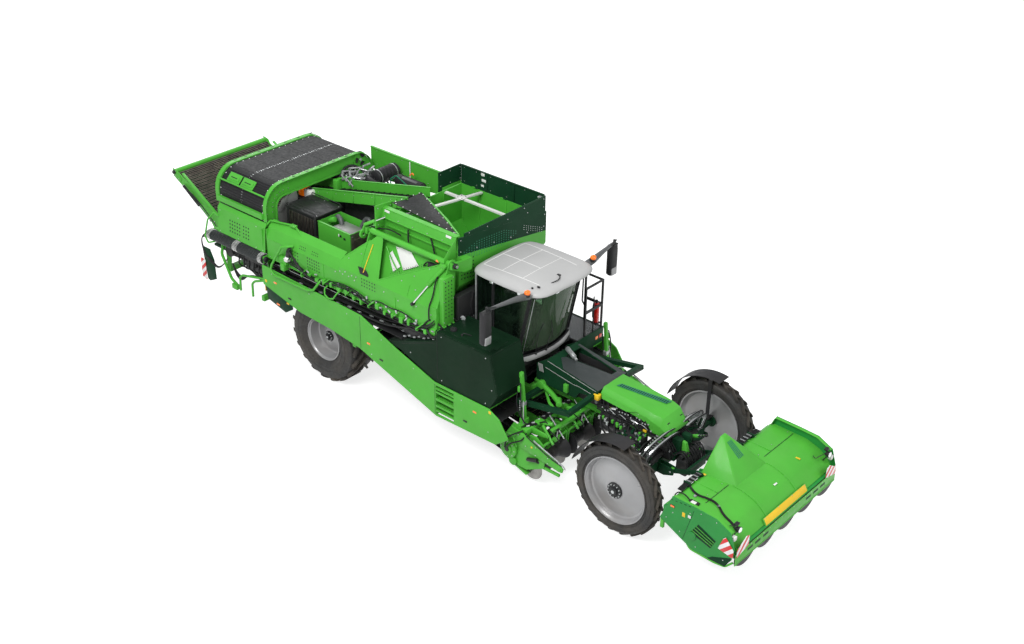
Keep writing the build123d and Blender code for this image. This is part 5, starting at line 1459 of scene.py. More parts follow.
@dataclass
class RearWeb:
    """The rear cleaning web: its round rods, belts, top tube, end plates and arm fittings."""

    start: Flat = (-6.05, 2.26)
    end: Flat = (-7.73, 3.23)
    half: float = 1.294
    rods: int = 46

    def build(self) -> None:
        """Builds the web's rods, its frame fittings and the knob."""
        self._rods()
        self._frame()

    def _at(self, share: float, lift: float = 0.0) -> Flat:
        """Returns X and Z at a share of the web's length."""
        dx, dz = self.end[0] - self.start[0], self.end[1] - self.start[1]
        run = hypot(dx, dz)
        return (self.start[0] + dx * share + dz / run * lift, self.start[1] + dz * share - dx / run * lift)

    def _strip(self, shares: Span, lift: float, across: Span) -> list[Point]:
        """Returns the corners of a strip that lies along the web.

        Args:
            shares: where it starts and ends, as shares of the web's length.
            lift: how far it lies above the web.
            across: its two edges along Y.

        Returns:
            Its corners.
        """
        (x0, z0), (x1, z1) = (self._at(share, lift) for share in shares)
        near, far = across
        return [(x0, near, z0), (x0, far, z0), (x1, far, z1), (x1, near, z1)]

    def _rods(self) -> None:
        """Builds the rods and the flat belts that carry them."""
        web = Shape(RODS)
        for i in range(self.rods):
            for lift in (0.012, -0.09) if i % 2 else (0.012,):
                x, z = self._at(i / (self.rods - 1), lift)
                web.rod((x, -self.half, z), (x, self.half, z), 0.0085, sides=8)
        web.use(BELT)
        for y in (-1.23, -0.42, 0.42, 1.23):
            for lift in (0.0, -0.1):
                web.sheet(self._strip((0, 1), lift, (y - 0.035, y + 0.035)), -0.012)
        web.use(HOSE)
        for share in (0.0, 0.985):
            x, z = self._at(share, -0.045)
            web.rod((x, -self.half, z), (x, self.half, z), 0.052, sides=20)
        web.use(PINE).sheet(self._strip((-0.02, 0.99), -0.17, (-self.half, self.half)), -0.01)
        web.piece("web_rods", "chassis", ("rear_web",))

    def _frame(self) -> None:
        """Adds end plates, bolts, a cylinder and the round knob on the arms."""
        fittings = Shape(LIME)
        for _, side in SIDES:
            y = side * 1.322
            fittings.plate([
                (-7.9, 3.335), (-7.72, 3.3), (-7.6, 3.13), (-7.66, 3.02), (-7.88, 3.14)
            ], Plane.XZ, (y, y + side * 0.01), 0.002)
            fittings.sheet(self._strip((0.12, 0.93), 0.16, (y + side * 0.04, y - side * 0.03)), 0.008)
        fittings.use(SATIN)
        for _, side in SIDES:
            y = side * 1.335
            fittings.rod((-7.84, y, 3.25), (-7.84, y + side * 0.04, 3.25), 0.05, 0.04, 20, soft=0.006)
            fittings.rod((-7.5, y + side * 0.03, 3.02), (-6.98, y + side * 0.03, 2.68), 0.03, sides=14, soft=0.004)
        fittings.use(CHROME)
        for _, side in SIDES:
            fittings.rod((-6.98, side * 1.365, 2.68), (-6.6, side * 1.365, 2.43), 0.014, sides=10)
        fittings.use(ZINC)
        for _, side in SIDES:
            fittings.studs([
                (x, side * 1.332, z)
                for x, z in ((-7.8, 3.28), (-7.7, 3.12), (-7.83, 3.17), (-6.5, 2.43), (-6.2, 2.25), (-6.3, 2.05))
            ], (0, side, 0), 0.015, 0.01)
            fittings.studs([(-6.6, side * 1.345, 2.43), (-7.5, side * 1.345, 3.02)], (0, side, 0), 0.026, 0.045)
        fittings.use(HOSE)
        for i in range(2):
            fittings.tube([
                (-7.45, -1.4, 3.0), (-7.15, -1.42, 2.95 + 0.03 * i), (-6.75, -1.38, 2.66), (-6.35, -1.36, 2.3),
                (-6.1, -1.38, 2.1),
            ], 0.01)
        fittings.tube([(-6.15, -1.1, 2.32), (-6.12, -1.24, 2.72), (-6.05, -1.36, 2.5), (-6.02, -1.4, 2.25)], 0.02)
        fittings.use(RED)
        fittings.ball((-6.42, -1.16, 2.86), 0.052, (1, 1, 0.8), 8)
        fittings.use(SATIN).tube([(-6.42, -1.16, 2.84), (-6.4, -1.2, 2.62), (-6.34, -1.28, 2.46)], 0.014)
        fittings.piece("rear_web_fittings")


@dataclass
class EngineDeck:
    """What stands behind the bunker: radiator, service box, exhaust, filter, pipes and the filling belt."""

    def build(self) -> None:
        """Builds every group on the deck."""
        self._radiator()
        self._service_box()
        self._exhaust()
        self._pipes()
        self._filling()
        self._side_cover()

    def _radiator(self) -> None:
        """Adds the cooler's fins, its folded lid, its two rails and the two small tanks behind it."""
        cooler = Shape(SATIN)
        cooler.box((-4.175, -3.205), (-1.155, -0.395), (3.492, 3.528), 0.01)
        for x in (-4.12, -3.255):
            cooler.box((x - 0.03, x + 0.03), (-1.15, -1.128), (2.28, 3.49), 0.005)
        cooler.box((-4.15, -3.23), (-1.152, -1.128), (2.93, 2.97))
        for y in (-1.13, -0.42):
            rail = ((-4.16, 3.545), (-4.13, 3.575), (-3.26, 3.575), (-3.22, 3.545))
            cooler.tube([(x, y, z) for x, z in rail], 0.011, 8, 0.03)
        cooler.box((-4.08, -3.3), (-0.97, -0.93), (3.526, 3.534), 0.002)
        cooler.box((-4.08, -3.3), (-0.62, -0.58), (3.526, 3.534), 0.002)
        cooler.use(RODS).slats((-4.06, -1.136, 2.62), (-3.31, -1.136, 2.62), (0.012, 0.012, 0.58), 17)
        cooler.slats((-4.06, -1.136, 3.21), (-3.31, -1.136, 3.21), (0.012, 0.012, 0.46), 17)
        cooler.use(ZINC).studs([(x, y, 3.528) for x in (-4.13, -3.7, -3.25) for y in (-1.09, -0.46)], UP, 0.012, 0.007)
        cooler.use(WHITE).box((-4.46, -4.22), (-0.4, -0.18), (3.36, 3.56), 0.035)
        cooler.use(AMBER).box((-4.62, -4.45), (-0.42, -0.2), (3.37, 3.57), 0.04)
        cooler.use(SATIN).rod((-4.33, -0.29, 3.555), (-4.33, -0.29, 3.6), 0.04, 0.036, 20, soft=0.006)
        cooler.box((-4.62, -4.19), (-0.46, -0.14), (3.3, 3.37), 0.01)
        for y in (-0.4, -0.2):
            cooler.box((-4.24, -4.14), (y - 0.02, y + 0.02), (3.28, 3.34))
        cooler.tube([(-4.3, -0.18, 3.42), (-4.18, 0.0, 3.36), (-3.95, 0.2, 3.3)], 0.022, 10)
        cooler.piece("cooler_fins")

    def _service_box(self) -> None:
        """Adds the grey housing, hoses and handles of the open service box."""
        box = Shape(LINER)
        box.box((-2.95, -2.34), (-0.92, -0.56), (3.02, 3.34), 0.03)
        box.box((-3.12, -2.96), (-1.0, -0.66), (3.02, 3.24), 0.02)
        box.use(CASTING).tube(
            [(-3.2, -0.66, 3.3), (-3.05, -0.66, 3.44), (-2.93, -0.7, 3.42), (-2.88, -0.72, 3.32)], 0.055, 14, 0.05
        )
        box.tube([(-2.5, -0.52, 3.32), (-2.44, -0.44, 3.5), (-2.34, -0.44, 3.52), (-2.26, -0.46, 3.44)], 0.05, 14, 0.05)
        box.use(LIME).rod((-3.16, -0.8, 3.36), (-3.02, -0.78, 3.42), 0.06, sides=20, soft=0.008)
        box.fold([(-3.185, 3.446), (-3.185, 3.456), (-2.195, 3.456), (-2.195, 3.446)], Plane.XZ, (-1.13, -1.09), 0.006)
        box.use(HOSE).box((-2.52, -2.46), (-1.126, -1.12), (3.3, 3.35), 0.003)
        box.box((-2.4, -2.34), (-1.126, -1.12), (3.27, 3.32), 0.003)
        box.use(WHITE).box((-2.56, -2.53), (-1.124, -1.12), (3.3, 3.36), 0.001)
        box.use(RODS).box((-2.199, -2.19), (-1.1, -0.5), (2.3, 3.43))
        box.fold([(-2.2, 3.3), (-2.165, 3.3), (-2.165, 2.4), (-2.2, 2.4)], Plane.XZ, (-1.02, -0.58), 0.006)
        box.use(ZINC).studs([(-2.188, y, z) for y in (-1.06, -0.54) for z in (2.4, 2.9, 3.38)], AHEAD)
        box.studs([(x, -1.121, 2.33) for x in (-3.1, -2.7, -2.3)], OUT_RIGHT)
        box.piece("service_box_fittings")

    def _exhaust(self) -> None:
        """Builds the ribbed silencer, its elbow, the air filter and their straps."""
        stack = Shape(MOULDED)
        rings = [(-0.3, 0.0), (-0.3, 0.14), (-0.285, 0.165)]
        for i in range(6):
            y = -0.27 + i * 0.1
            rings += [(y, 0.172), (y + 0.018, 0.16), (y + 0.062, 0.16), (y + 0.08, 0.172)]
        rings += [(0.29, 0.165), (0.3, 0.14), (0.3, 0.0)]
        stack.lathe(rings, (-3.5, 1.15, 3.7), 1, 40)
        stack.tube([(-3.6, 0.82, 3.69), (-3.58, 0.7, 3.7), (-3.42, 0.66, 3.7), (-2.92, 0.7, 3.56)], 0.078, 16, 0.1)
        stack.rod((-3.17, 1.24, 3.64), (-2.42, 1.24, 3.64), 0.131, sides=36, soft=0.014)
        stack.rod((-2.43, 1.24, 3.64), (-2.37, 1.24, 3.64), 0.115, 0.09, 30, soft=0.01)
        for x in (-3.05, -2.78, -2.5):
            stack.rod((x, 1.24, 3.64), (x + 0.02, 1.24, 3.64), 0.136, sides=36, soft=0.004)
        stack.use(TRIM).sheet(
            [(-3.0, 1.205, 3.772), (-2.54, 1.205, 3.772), (-2.54, 1.155, 3.748), (-3.0, 1.155, 3.748)], -0.004, 0.001
        )
        stack.use(JADE).tube(
            [(-3.22, 1.05, 3.44), (-3.22, 1.05, 3.7), (-3.12, 1.12, 3.79), (-2.4, 1.1, 3.52)], 0.014, 8, 0.03
        )
        stack.box((-3.26, -2.96), (0.96, 1.14), (3.42, 3.5), 0.012)
        stack.box((-2.7, -2.46), (1.0, 1.4), (3.46, 3.52), 0.012)
        stack.use(ZINC)
        for y in (0.92, 1.38):
            stack.lathe([(-0.012, 0.175), (0.012, 0.175), (0.012, 0.178), (-0.012, 0.178)], (-3.5, y, 3.7), 1, 36)
        stack.use(AMBER).tube([(-2.95, 1.38, 3.76), (-2.88, 1.4, 3.86), (-2.8, 1.34, 3.82)], 0.014)
        stack.piece("silencer_and_filter", "chassis", ("exhaust_and_intake",))

    def _pipes(self) -> None:
        """Adds the knot of steel pipes, hoses and valves on top of the engine."""
        knot = Shape(PIPE)
        for i in range(26):
            x, y = -4.12 + 0.56 * rng.random(), 0.36 + 0.6 * rng.random()
            z = 3.34 + 0.1 * rng.random()
            turn = rng.random() * tau
            reach = 0.1 + 0.14 * rng.random()
            high = 3.62 + 0.26 * rng.random()
            bend = (x + reach * cos(turn), y + reach * sin(turn), high + 0.02)
            end = (x + reach * 1.6 * cos(turn + 0.7), y + reach * 1.6 * sin(turn + 0.7), high - 0.1)
            knot.tube([(x, y, z), (x, y, high), bend, end], 0.017 if i % 3 else 0.026, 8, 0.04)
        knot.use(LINER)
        for _ in range(8):
            x, y = -4.06 + 0.44 * rng.random(), 0.42 + 0.48 * rng.random()
            knot.box((x, x + 0.1), (y, y + 0.08), (3.34, 3.58 + 0.14 * rng.random()), 0.008)
        knot.use(HOSE)
        for i in range(7):
            y = 0.46 + 0.09 * i
            knot.tube([(-3.7, y, 3.42), (-3.62 + 0.03 * i, y, 3.7), (-3.3, y + 0.05, 3.62), (-3.05, y, 3.36)], 0.022)
        knot.tube([(-4.16, 0.34, 3.4), (-4.26, 0.5, 3.78), (-4.1, 0.86, 3.88), (-3.86, 0.98, 3.62)], 0.03, 10)
        knot.use(LIME).box((-4.18, -4.06), (0.22, 0.42), (3.26, 3.66), 0.01)
        knot.tube([(-4.12, 0.3, 3.64), (-3.95, 0.42, 3.78), (-3.72, 0.44, 3.72)], 0.02)
        knot.use(CASTING).box((-3.95, -2.55), (0.45, 1.2), (3.285, 3.34), 0.02)
        for i in range(6):
            x = -3.38 + 0.15 * i
            knot.box((x, x + 0.11), (0.52, 1.02), (3.33, 3.42), 0.02)
        knot.use(ZINC).studs(grid((-3.35, 0.6, 3.42), (0.15, 0, 0), (0, 0.17, 0), (6, 3)), UP, 0.014, 0.012)
        knot.piece("engine_pipes")

    def _side_cover(self) -> None:
        """Closes the far side of the engine bay with a framed and slatted cover."""
        low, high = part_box("engine_block")
        y, tall = high.y, high.z - low.z
        across, halfway = (low.x + high.x) / 2, low.z + tall / 2
        cover = Shape(LIME)
        cover.box((low.x + 0.01, high.x - 0.01), (y + 0.002, y + 0.028), (low.z + 0.01, high.z - 0.01), 0.006)
        cover.use(HOSE).box((low.x + 0.1, high.x - 0.1), (y + 0.027, y + 0.031), (low.z + 0.14, high.z - 0.14), 0.001)
        cover.use(SLATE)
        ends = [(x, y + 0.034, halfway) for x in (low.x + 0.14, high.x - 0.14)]
        cover.slats(*ends, (0.03, 0.01, tall - 0.34), 20)
        cover.use(ZINC)
        rows = (low.z + 0.08, halfway, high.z - 0.08)
        cover.studs([(x, y + 0.028, z) for x in (low.x + 0.06, high.x - 0.06) for z in rows], OUT_LEFT, 0.014)
        cover.use(HOSE)
        handle = ((-0.1, 0.028), (-0.09, 0.07), (0.09, 0.07), (0.1, 0.028))
        cover.tube([(across + side, y + out, high.z - 0.07) for side, out in handle], 0.01, 8, 0.02)
        cover.piece("engine_side_cover")

    def _filling(self) -> None:
        """Adds the filling belt's cleats, and the trough's rims with their posts and bolts."""
        (x0, z0), (x1, z1) = (-5.3, 3.15), (-1.35, 4.075)
        trough = Shape(HOSE)

        def along(count: int) -> list[Flat]:
            """Returns the X and Z of the middles of equal lengths of the trough."""
            shares = [(i + 0.5) / count for i in range(count)]
            return [(x0 + (x1 - x0) * share, z0 + (z1 - z0) * share) for share in shares]

        for x, z in along(22):
            edges = ((x - 0.012, z + 0.001), (x + 0.012, z + 0.007))
            corners = [(x, -0.25, z) for x, z in edges] + [(x, 0.37, z) for x, z in edges[::-1]]
            trough.sheet(corners, 0.012, 0.003)
        trough.use(LIME)
        for y, out in ((-0.27, -1), (0.39, 1)):
            edges = ((x0, z0 + 0.2), (x1, z1 + 0.2))
            corners = [(x, y - 0.02, z) for x, z in edges] + [(x, y + 0.02, z) for x, z in edges[::-1]]
            trough.sheet(corners, 0.01)
            for x, z in along(6):
                trough.box((x - 0.015, x + 0.015), (y + out * 0.001, y + out * 0.014), (z - 0.05, z + 0.19), 0.003)
        trough.use(ZINC)
        for y, out in ((-0.271, -1), (0.391, 1)):
            bolts = [(x0 + (x1 - x0) * (i + 0.25) / 14, y, z0 + (z1 - z0) * (i + 0.25) / 14 + 0.12) for i in range(14)]
            trough.studs(bolts, (0, out, 0), 0.011, 0.007)
        trough.piece("filling_belt_cleats")


@dataclass
class Elevator:
    """The unloading elevator on the right side: skin details, chute plates, hoses, motor and column."""

    near: float = -1.72
    knee: float = 3.05
    slope: float = 0.439

    def build(self) -> None:
        """Builds every group on the elevator."""
        self._skin_marks()
        self._chute()
        self._column()
        self._motor()
        self._hoses()
        self._tray()

    def _skin(self, x: float, z: float, lift: float = 0.0) -> Point:
        """Returns a point on the elevator's outer skin at a height.

        Args:
            x: its place along the machine.
            z: its height.
            lift: how far it stands off the skin.

        Returns:
            The point.
        """
        if x < -1.9:
            if z <= 2.95:
                return (x, self.near - lift, z)
            return (x, self.near + (z - 2.95) * 0.348 - lift * 0.944, z + lift * 0.33)
        if z <= self.knee:
            return (x, self.near - lift, z)
        return (x, self.near + (z - self.knee) * self.slope - lift * 0.916, z + lift * 0.402)

    def _skin_marks(self) -> None:
        """Adds holes, bolts, seams, the folded edges and the level rod."""
        skin = Shape(HOSE)
        for x, z, columns, rows, step in (
            (-3.34, 2.68, 3, 4, 0.075), (-2.88, 2.7, 6, 4, 0.07), (-1.24, 2.86, 6, 3, 0.075)
        ):
            skin.studs([
                self._skin(x + i * step, z + j * step) for i in range(columns) for j in range(rows)
            ], OUT_RIGHT, 0.017, 0.002, 12)
        slope = (0, -0.944, 0.33)
        skin.studs([
            self._skin(-3.14 + i * 0.055, 3.03 + 0.05 * j) for i in list(range(4)) + [7, 8, 9, 10] for j in range(2)
        ], slope, 0.013, 0.002, 10)
        face = (0, -0.916, 0.402)
        skin.studs([
            self._skin(-0.52 + i * 0.05, 3.335 + i * 0.0245 + j * 0.035) for i in range(17) for j in (0, 1)
        ], face, 0.011, 0.002, 4)
        skin.use(ZINC)
        skin.studs([self._skin(-4.1 + i * 0.31, 2.52) for i in range(16)], OUT_RIGHT, 0.011, 0.007)
        skin.studs(
            [self._skin(x, z) for x, z in (
                (-1.88, 2.96), (-1.8, 2.92), (-1.72, 3.0), (-1.62, 2.93), (-1.53, 2.98), (-1.45, 2.9), (-1.4, 2.99),
                (-2.02, 2.9), (-0.6, 2.95), (-0.2, 2.9), (0.3, 2.96), (0.7, 2.92),
            )],
            OUT_RIGHT, 0.015, 0.01,
        )
        skin.studs(
            [self._skin(x, z) for x, z in (
                (0.08, 3.47), (0.4, 3.7), (-0.2, 3.3), (0.2, 3.25), (0.62, 3.44), (-1.7, 3.28), (-1.4, 3.45),
                (0.72, 3.78),
            )],
            face, 0.014, 0.009,
        )
        skin.use(LIME)
        rims = [
            ((-1.9, 3.21), (-1.26, 3.755)), ((-1.05, 3.88), (-0.962, 3.86)), ((-0.958, 3.84), (-0.802, 3.14)),
            ((-0.79, 3.135), (0.6, 3.835)),
        ]
        for (x0, z0), (x1, z1) in rims:
            skin.rod(self._skin(x0, z0, -0.004), self._skin(x1, z1, -0.004), 0.014, sides=10)
        skin.rod(self._skin(-4.17, 2.945, -0.006), self._skin(-1.905, 2.945, -0.006), 0.012, sides=8)
        skin.rod(self._skin(-1.905, 3.045, -0.006), self._skin(0.84, 3.045, -0.006), 0.012, sides=8)
        for x in (-3.45, -2.4, -0.3):
            skin.box((x - 0.02, x + 0.02), (self.near - 0.012, self.near + 0.001), (2.5, 2.93))
        skin.box((-4.18, 0.84), (self.near - 0.01, self.near + 0.001), (2.478, 2.5))
        for x in (-1.28, 0.02):
            a, b = self._skin(x, 3.07, 0.001), self._skin(x, 3.3, 0.001)
            skin.sheet([a, (a[0] + 0.018, a[1], a[2]), (b[0] + 0.018, b[1], b[2]), b], 0.008)
        skin.use(RED)
        low, high = self._skin(-1.22, 3.14, 0.01), self._skin(-1.16, 3.7, 0.01)
        skin.use(YELLOW).rod((low[0], low[1], low[2]), (high[0], high[1], high[2]), 0.009, sides=8)
        skin.use(SATIN)
        fan = [(-1.3, 3.1)] + [(-1.3 + 0.24 * cos(a), 3.1 + 0.12 * sin(a)) for a in (0.0, 0.4, 0.8, 1.2, 1.6, 2.0)]
        skin.sheet([self._skin(x, z, 0.002) for x, z in fan], 0.008)
        skin.piece("elevator_skin_marks", "unloading_elevator")

    def _on_chute(self, x: float, z: float, lift: float = 0.03) -> Point:
        """Returns a point on the sloping chute plate."""
        return (x, -1.18 - (3.78 - z) * 0.489 - lift * 0.9, z + lift * 0.44)

    def _chute(self) -> None:
        """Adds the pale slide plates, the stays and the cleated inner belt."""
        chute = Shape(WHITE)
        chute.sheet([self._on_chute(x, z) for x, z in ((-0.36, 3.38), (-0.02, 3.56), (-0.34, 3.76), (-0.72, 3.72))])
        chute.sheet([self._on_chute(x, z) for x, z in ((-0.6, 3.28), (-0.46, 3.42), (-0.78, 3.62), (-0.84, 3.54))])
        chute.use(LIME).tube([(-0.9, -1.33, 3.7), (-0.6, -1.42, 3.42), (-0.3, -1.5, 3.24)], 0.014)
        chute.rod((-0.92, -1.24, 3.8), (0.58, -1.24, 3.8), 0.022, sides=10)
        chute.box((-1.3, 0.8), (-1.235, -1.205), (3.745, 3.785), 0.005)
        chute.use(HOSE).box((0.3, 0.56), (-1.4, -1.32), (3.66, 3.8), 0.02)
        chute.tube(
            [(0.1, -1.3, 3.62), (0.24, -1.34, 3.8), (0.4, -1.34, 3.74), (0.56, -1.36, 3.84), (0.7, -1.36, 3.8)], 0.016
        )
        chute.use(ZINC).studs([
            self._on_chute(x, z, 0.036)
            for x, z in ((-0.66, 3.7), (-0.38, 3.73), (-0.08, 3.56), (-0.36, 3.42), (-0.6, 3.34))
        ], (0, -0.9, 0.44), 0.011, 0.007)
        chute.use(AMBER).box((0.48, 0.56), (-1.36, -1.3), (3.86, 3.92), 0.012)
        chute.use(BELT)
        for i in range(20):
            x = -4.05 + i * 0.225
            chute.box((x - 0.014, x + 0.014), (-1.66, -1.335), (2.875, 2.935), 0.006)
        chute.piece("chute_plates", "unloading_elevator")

    def _column(self) -> None:
        """Adds the perforated front column, the hinge bosses, the lift cylinder and the boot."""
        column = Shape(LIME)
        column.box((0.842, 0.955), (-1.64, -1.345), (2.72, 3.735), 0.012)
        column.loft([
            [(0.842, -1.7, 2.52), (0.965, -1.68, 2.55), (0.965, -1.3, 2.55), (0.842, -1.28, 2.52)],
            [(0.842, -1.655, 2.72), (0.958, -1.645, 2.72), (0.958, -1.34, 2.72), (0.842, -1.335, 2.72)],
        ], 0.01)
        column.rod((0.7, -1.69, 2.56), (0.98, -1.69, 2.56), 0.085, sides=24, soft=0.012)
        for x in (-1.5, 0.845):
            column.rod((x - 0.01, -1.3, 3.9), (x + 0.02, -1.3, 3.9), 0.105, sides=32, soft=0.006)
        column.use(HOSE).studs(
            [(0.955, -1.575 + i * 0.082, 2.9 + j * 0.082) for i in range(3) for j in range(10)], AHEAD, 0.017, 0.002, 10
        )
        column.tube(
            [(0.7, -1.4, 3.84), (0.66, -1.55, 3.6), (0.7, -1.66, 3.3), (0.64, -1.755, 3.05), (0.68, -1.76, 2.8)], 0.014
        )
        column.use(SATIN).rod((0.866, -1.3, 3.9), (0.985, -1.3, 3.9), 0.055, sides=24, soft=0.006)
        column.rod((-1.58, -1.3, 3.9), (-1.49, -1.3, 3.9), 0.06, sides=24, soft=0.006)
        column.use(ZINC).rod((0.985, -1.3, 3.9), (1.005, -1.3, 3.9), 0.032, sides=6)
        column.studs([(0.956, y, z) for y in (-1.62, -1.365) for z in (2.8, 3.25, 3.7)], AHEAD, 0.01, 0.006)
        column.use(LIME).rod((0.76, -1.42, 3.84), (0.5, -1.585, 3.44), 0.04, sides=18, soft=0.006)
        column.rod((0.78, -1.47, 3.88), (0.78, -1.37, 3.88), 0.045, sides=18, soft=0.004)
        column.use(CHROME).rod((0.5, -1.585, 3.44), (0.24, -1.752, 3.02), 0.018, sides=14)
        column.use(SATIN).rod((0.24, -1.8, 3.01), (0.24, -1.722, 3.01), 0.036, sides=18, soft=0.004)
        column.piece("elevator_column", "unloading_elevator")

    def _motor(self) -> None:
        """Adds the hydraulic motor, its guard loops and valve blocks."""
        motor = Shape(SATIN)
        motor.rod((-3.36, -1.8, 2.93), (-3.4, -1.8, 2.8), 0.062, sides=24, soft=0.01)
        motor.rod((-3.34, -1.8, 3.0), (-3.36, -1.8, 2.93), 0.04, sides=20, soft=0.006)
        motor.use(CHROME).rod((-3.41, -1.8, 2.8), (-3.43, -1.8, 2.74), 0.058, sides=24, soft=0.004)
        motor.use(WHITE).box((-3.5, -3.4), (-1.85, -1.73), (2.66, 2.75), 0.014)
        motor.use(LIME).box((-3.72, -3.46), (-1.83, -1.722), (2.56, 2.72), 0.014)
        motor.box((-3.62, -3.5), (-1.86, -1.722), (2.42, 2.58), 0.012)
        motor.tube([
            (-3.3, -1.73, 3.04), (-3.36, -1.83, 3.05), (-3.52, -1.87, 3.0), (-3.86, -1.88, 2.48), (-3.92, -1.88, 2.34),
            (-3.82, -1.88, 2.24), (-2.74, -1.88, 2.26), (-2.58, -1.86, 2.32), (-2.46, -1.82, 2.5), (-2.44, -1.73, 2.56),
        ], 0.027, 10, 0.06)
        motor.tube([
            (-2.24, -1.73, 2.52), (-2.25, -1.84, 2.46), (-2.23, -1.86, 2.34), (-2.12, -1.86, 2.29),
            (-1.98, -1.86, 2.33), (-1.88, -1.84, 2.48), (-1.86, -1.73, 2.54),
        ], 0.017, 10, 0.04)
        motor.use(ZINC)
        for i in range(18):
            x = -3.15 + 0.24 * i + 0.06 * rng.random()
            motor.rod(
                (x, -1.77, 2.54 + 0.1 * rng.random()), (x + 0.07, -1.77, 2.56 + 0.1 * rng.random()), 0.017, sides=8,
                soft=0.002,
            )
        for i in range(9):
            x = -1.95 + 0.28 * i
            motor.box((x, x + 0.045), (-1.755, -1.722), (2.6 + 0.05 * rng.random(), 2.68))
        motor.piece("elevator_motor", "unloading_elevator")

    def _hoses(self) -> None:
        """Lays the bundle of hoses along the lower edge."""
        bundle = Shape(HOSE)
        line = [
            (-3.42, 2.66), (-3.1, 2.64), (-2.78, 2.5), (-2.35, 2.56), (-1.84, 2.68), (-1.3, 2.66), (-0.93, 2.52),
            (-0.3, 2.5), (0.2, 2.54), (0.62, 2.62), (0.8, 2.84),
        ]
        for i in range(4):
            drop, out = 0.024 * i, -1.745 - 0.018 * (i % 3)
            bundle.tube([
                (x + 0.03 * rng.random(), out - 0.02 * rng.random(), z - drop + 0.04 * rng.random()) for x, z in line
            ], 0.0115)
        bundle.use(LIME)
        for i in range(17):
            x = -3.05 + 0.225 * i
            low = 2.44 + 0.1 * rng.random()
            bundle.box(
                (x, x + 0.05 + 0.05 * rng.random()), (-1.8, -1.722), (low, low + 0.07 + 0.06 * rng.random()), 0.01
            )
            if i % 3 == 0:
                bundle.tube(
                    [(x, -1.73, 2.46), (x + 0.03, -1.82, 2.5), (x + 0.12, -1.83, 2.6), (x + 0.18, -1.73, 2.66)], 0.014
                )
        bundle.use(HOSE).tube(
            [(-3.38, -1.83, 2.98), (-3.22, -1.86, 2.9), (-3.02, -1.85, 2.66), (-2.7, -1.83, 2.52)], 0.015
        )
        bundle.tube([(-3.3, -1.82, 2.9), (-3.1, -1.84, 2.8), (-2.92, -1.84, 2.58), (-2.6, -1.8, 2.5)], 0.015)
        bundle.tube([
            (-0.95, -1.735, 2.62), (-0.72, -1.76, 2.72), (-0.4, -1.75, 2.66), (-0.05, -1.745, 2.72), (0.25, -1.75, 2.64)
        ], 0.012)
        bundle.tube([(0.6, -1.76, 2.6), (0.78, -1.82, 2.48), (0.92, -1.8, 2.56), (0.96, -1.7, 2.72)], 0.02)
        bundle.piece("elevator_hoses", "unloading_elevator")

    def _tray(self) -> None:
        """Adds a dark sheet that paints the shade between the elevator and the side panel, with belts and lines."""
        tray = Shape(HOSE)
        # These black sheets are painted shade: they darken the gap under the elevator.
        tray.box((-4.24, -0.05), (-1.795, -1.16), (2.115, 2.135))
        tray.box((-0.05, 0.92), (-1.795, -1.16), (2.455, 2.47))
        for i in range(6):
            y, z = -1.76 + 0.075 * i, 2.16 + 0.05 * (i % 3)
            tray.tube([
                (-4.15, y, z), (-3.2, y - 0.02, z + 0.04), (-2.3, y + 0.02, z - 0.01), (-1.3, y - 0.01, z + 0.05),
                (-0.4, y, z + 0.08), (0.3, y, z + 0.32),
            ], 0.016 if i % 2 else 0.022)
        tray.use(RODS).box((-4.1, -0.6), (-1.5, -1.3), (2.2, 2.24), 0.01)
        for i in range(14):
            x = -4.0 + 0.25 * i
            tray.box((x, x + 0.03), (-1.53, -1.27), (2.19, 2.26))
        tray.use(ZINC)
        for i in range(14):
            x, y = -4.1 + 0.3 * i, -1.77 + 0.2 * rng.random()
            tray.rod((x, y, 2.2), (x + 0.1, y, 2.21), 0.024, sides=8, soft=0.003)
        tray.use(CHROME).tube([(-4.1, -1.6, 2.3), (-2.9, -1.61, 2.32), (-1.6, -1.6, 2.3), (-0.3, -1.62, 2.34)], 0.011)
        tray.tube([(-2.2, -1.7, 2.22), (-1.6, -1.74, 2.16), (-0.8, -1.75, 2.2), (-0.2, -1.72, 2.3)], 0.012)
        tray.piece("line_tray_and_shade_sheet")


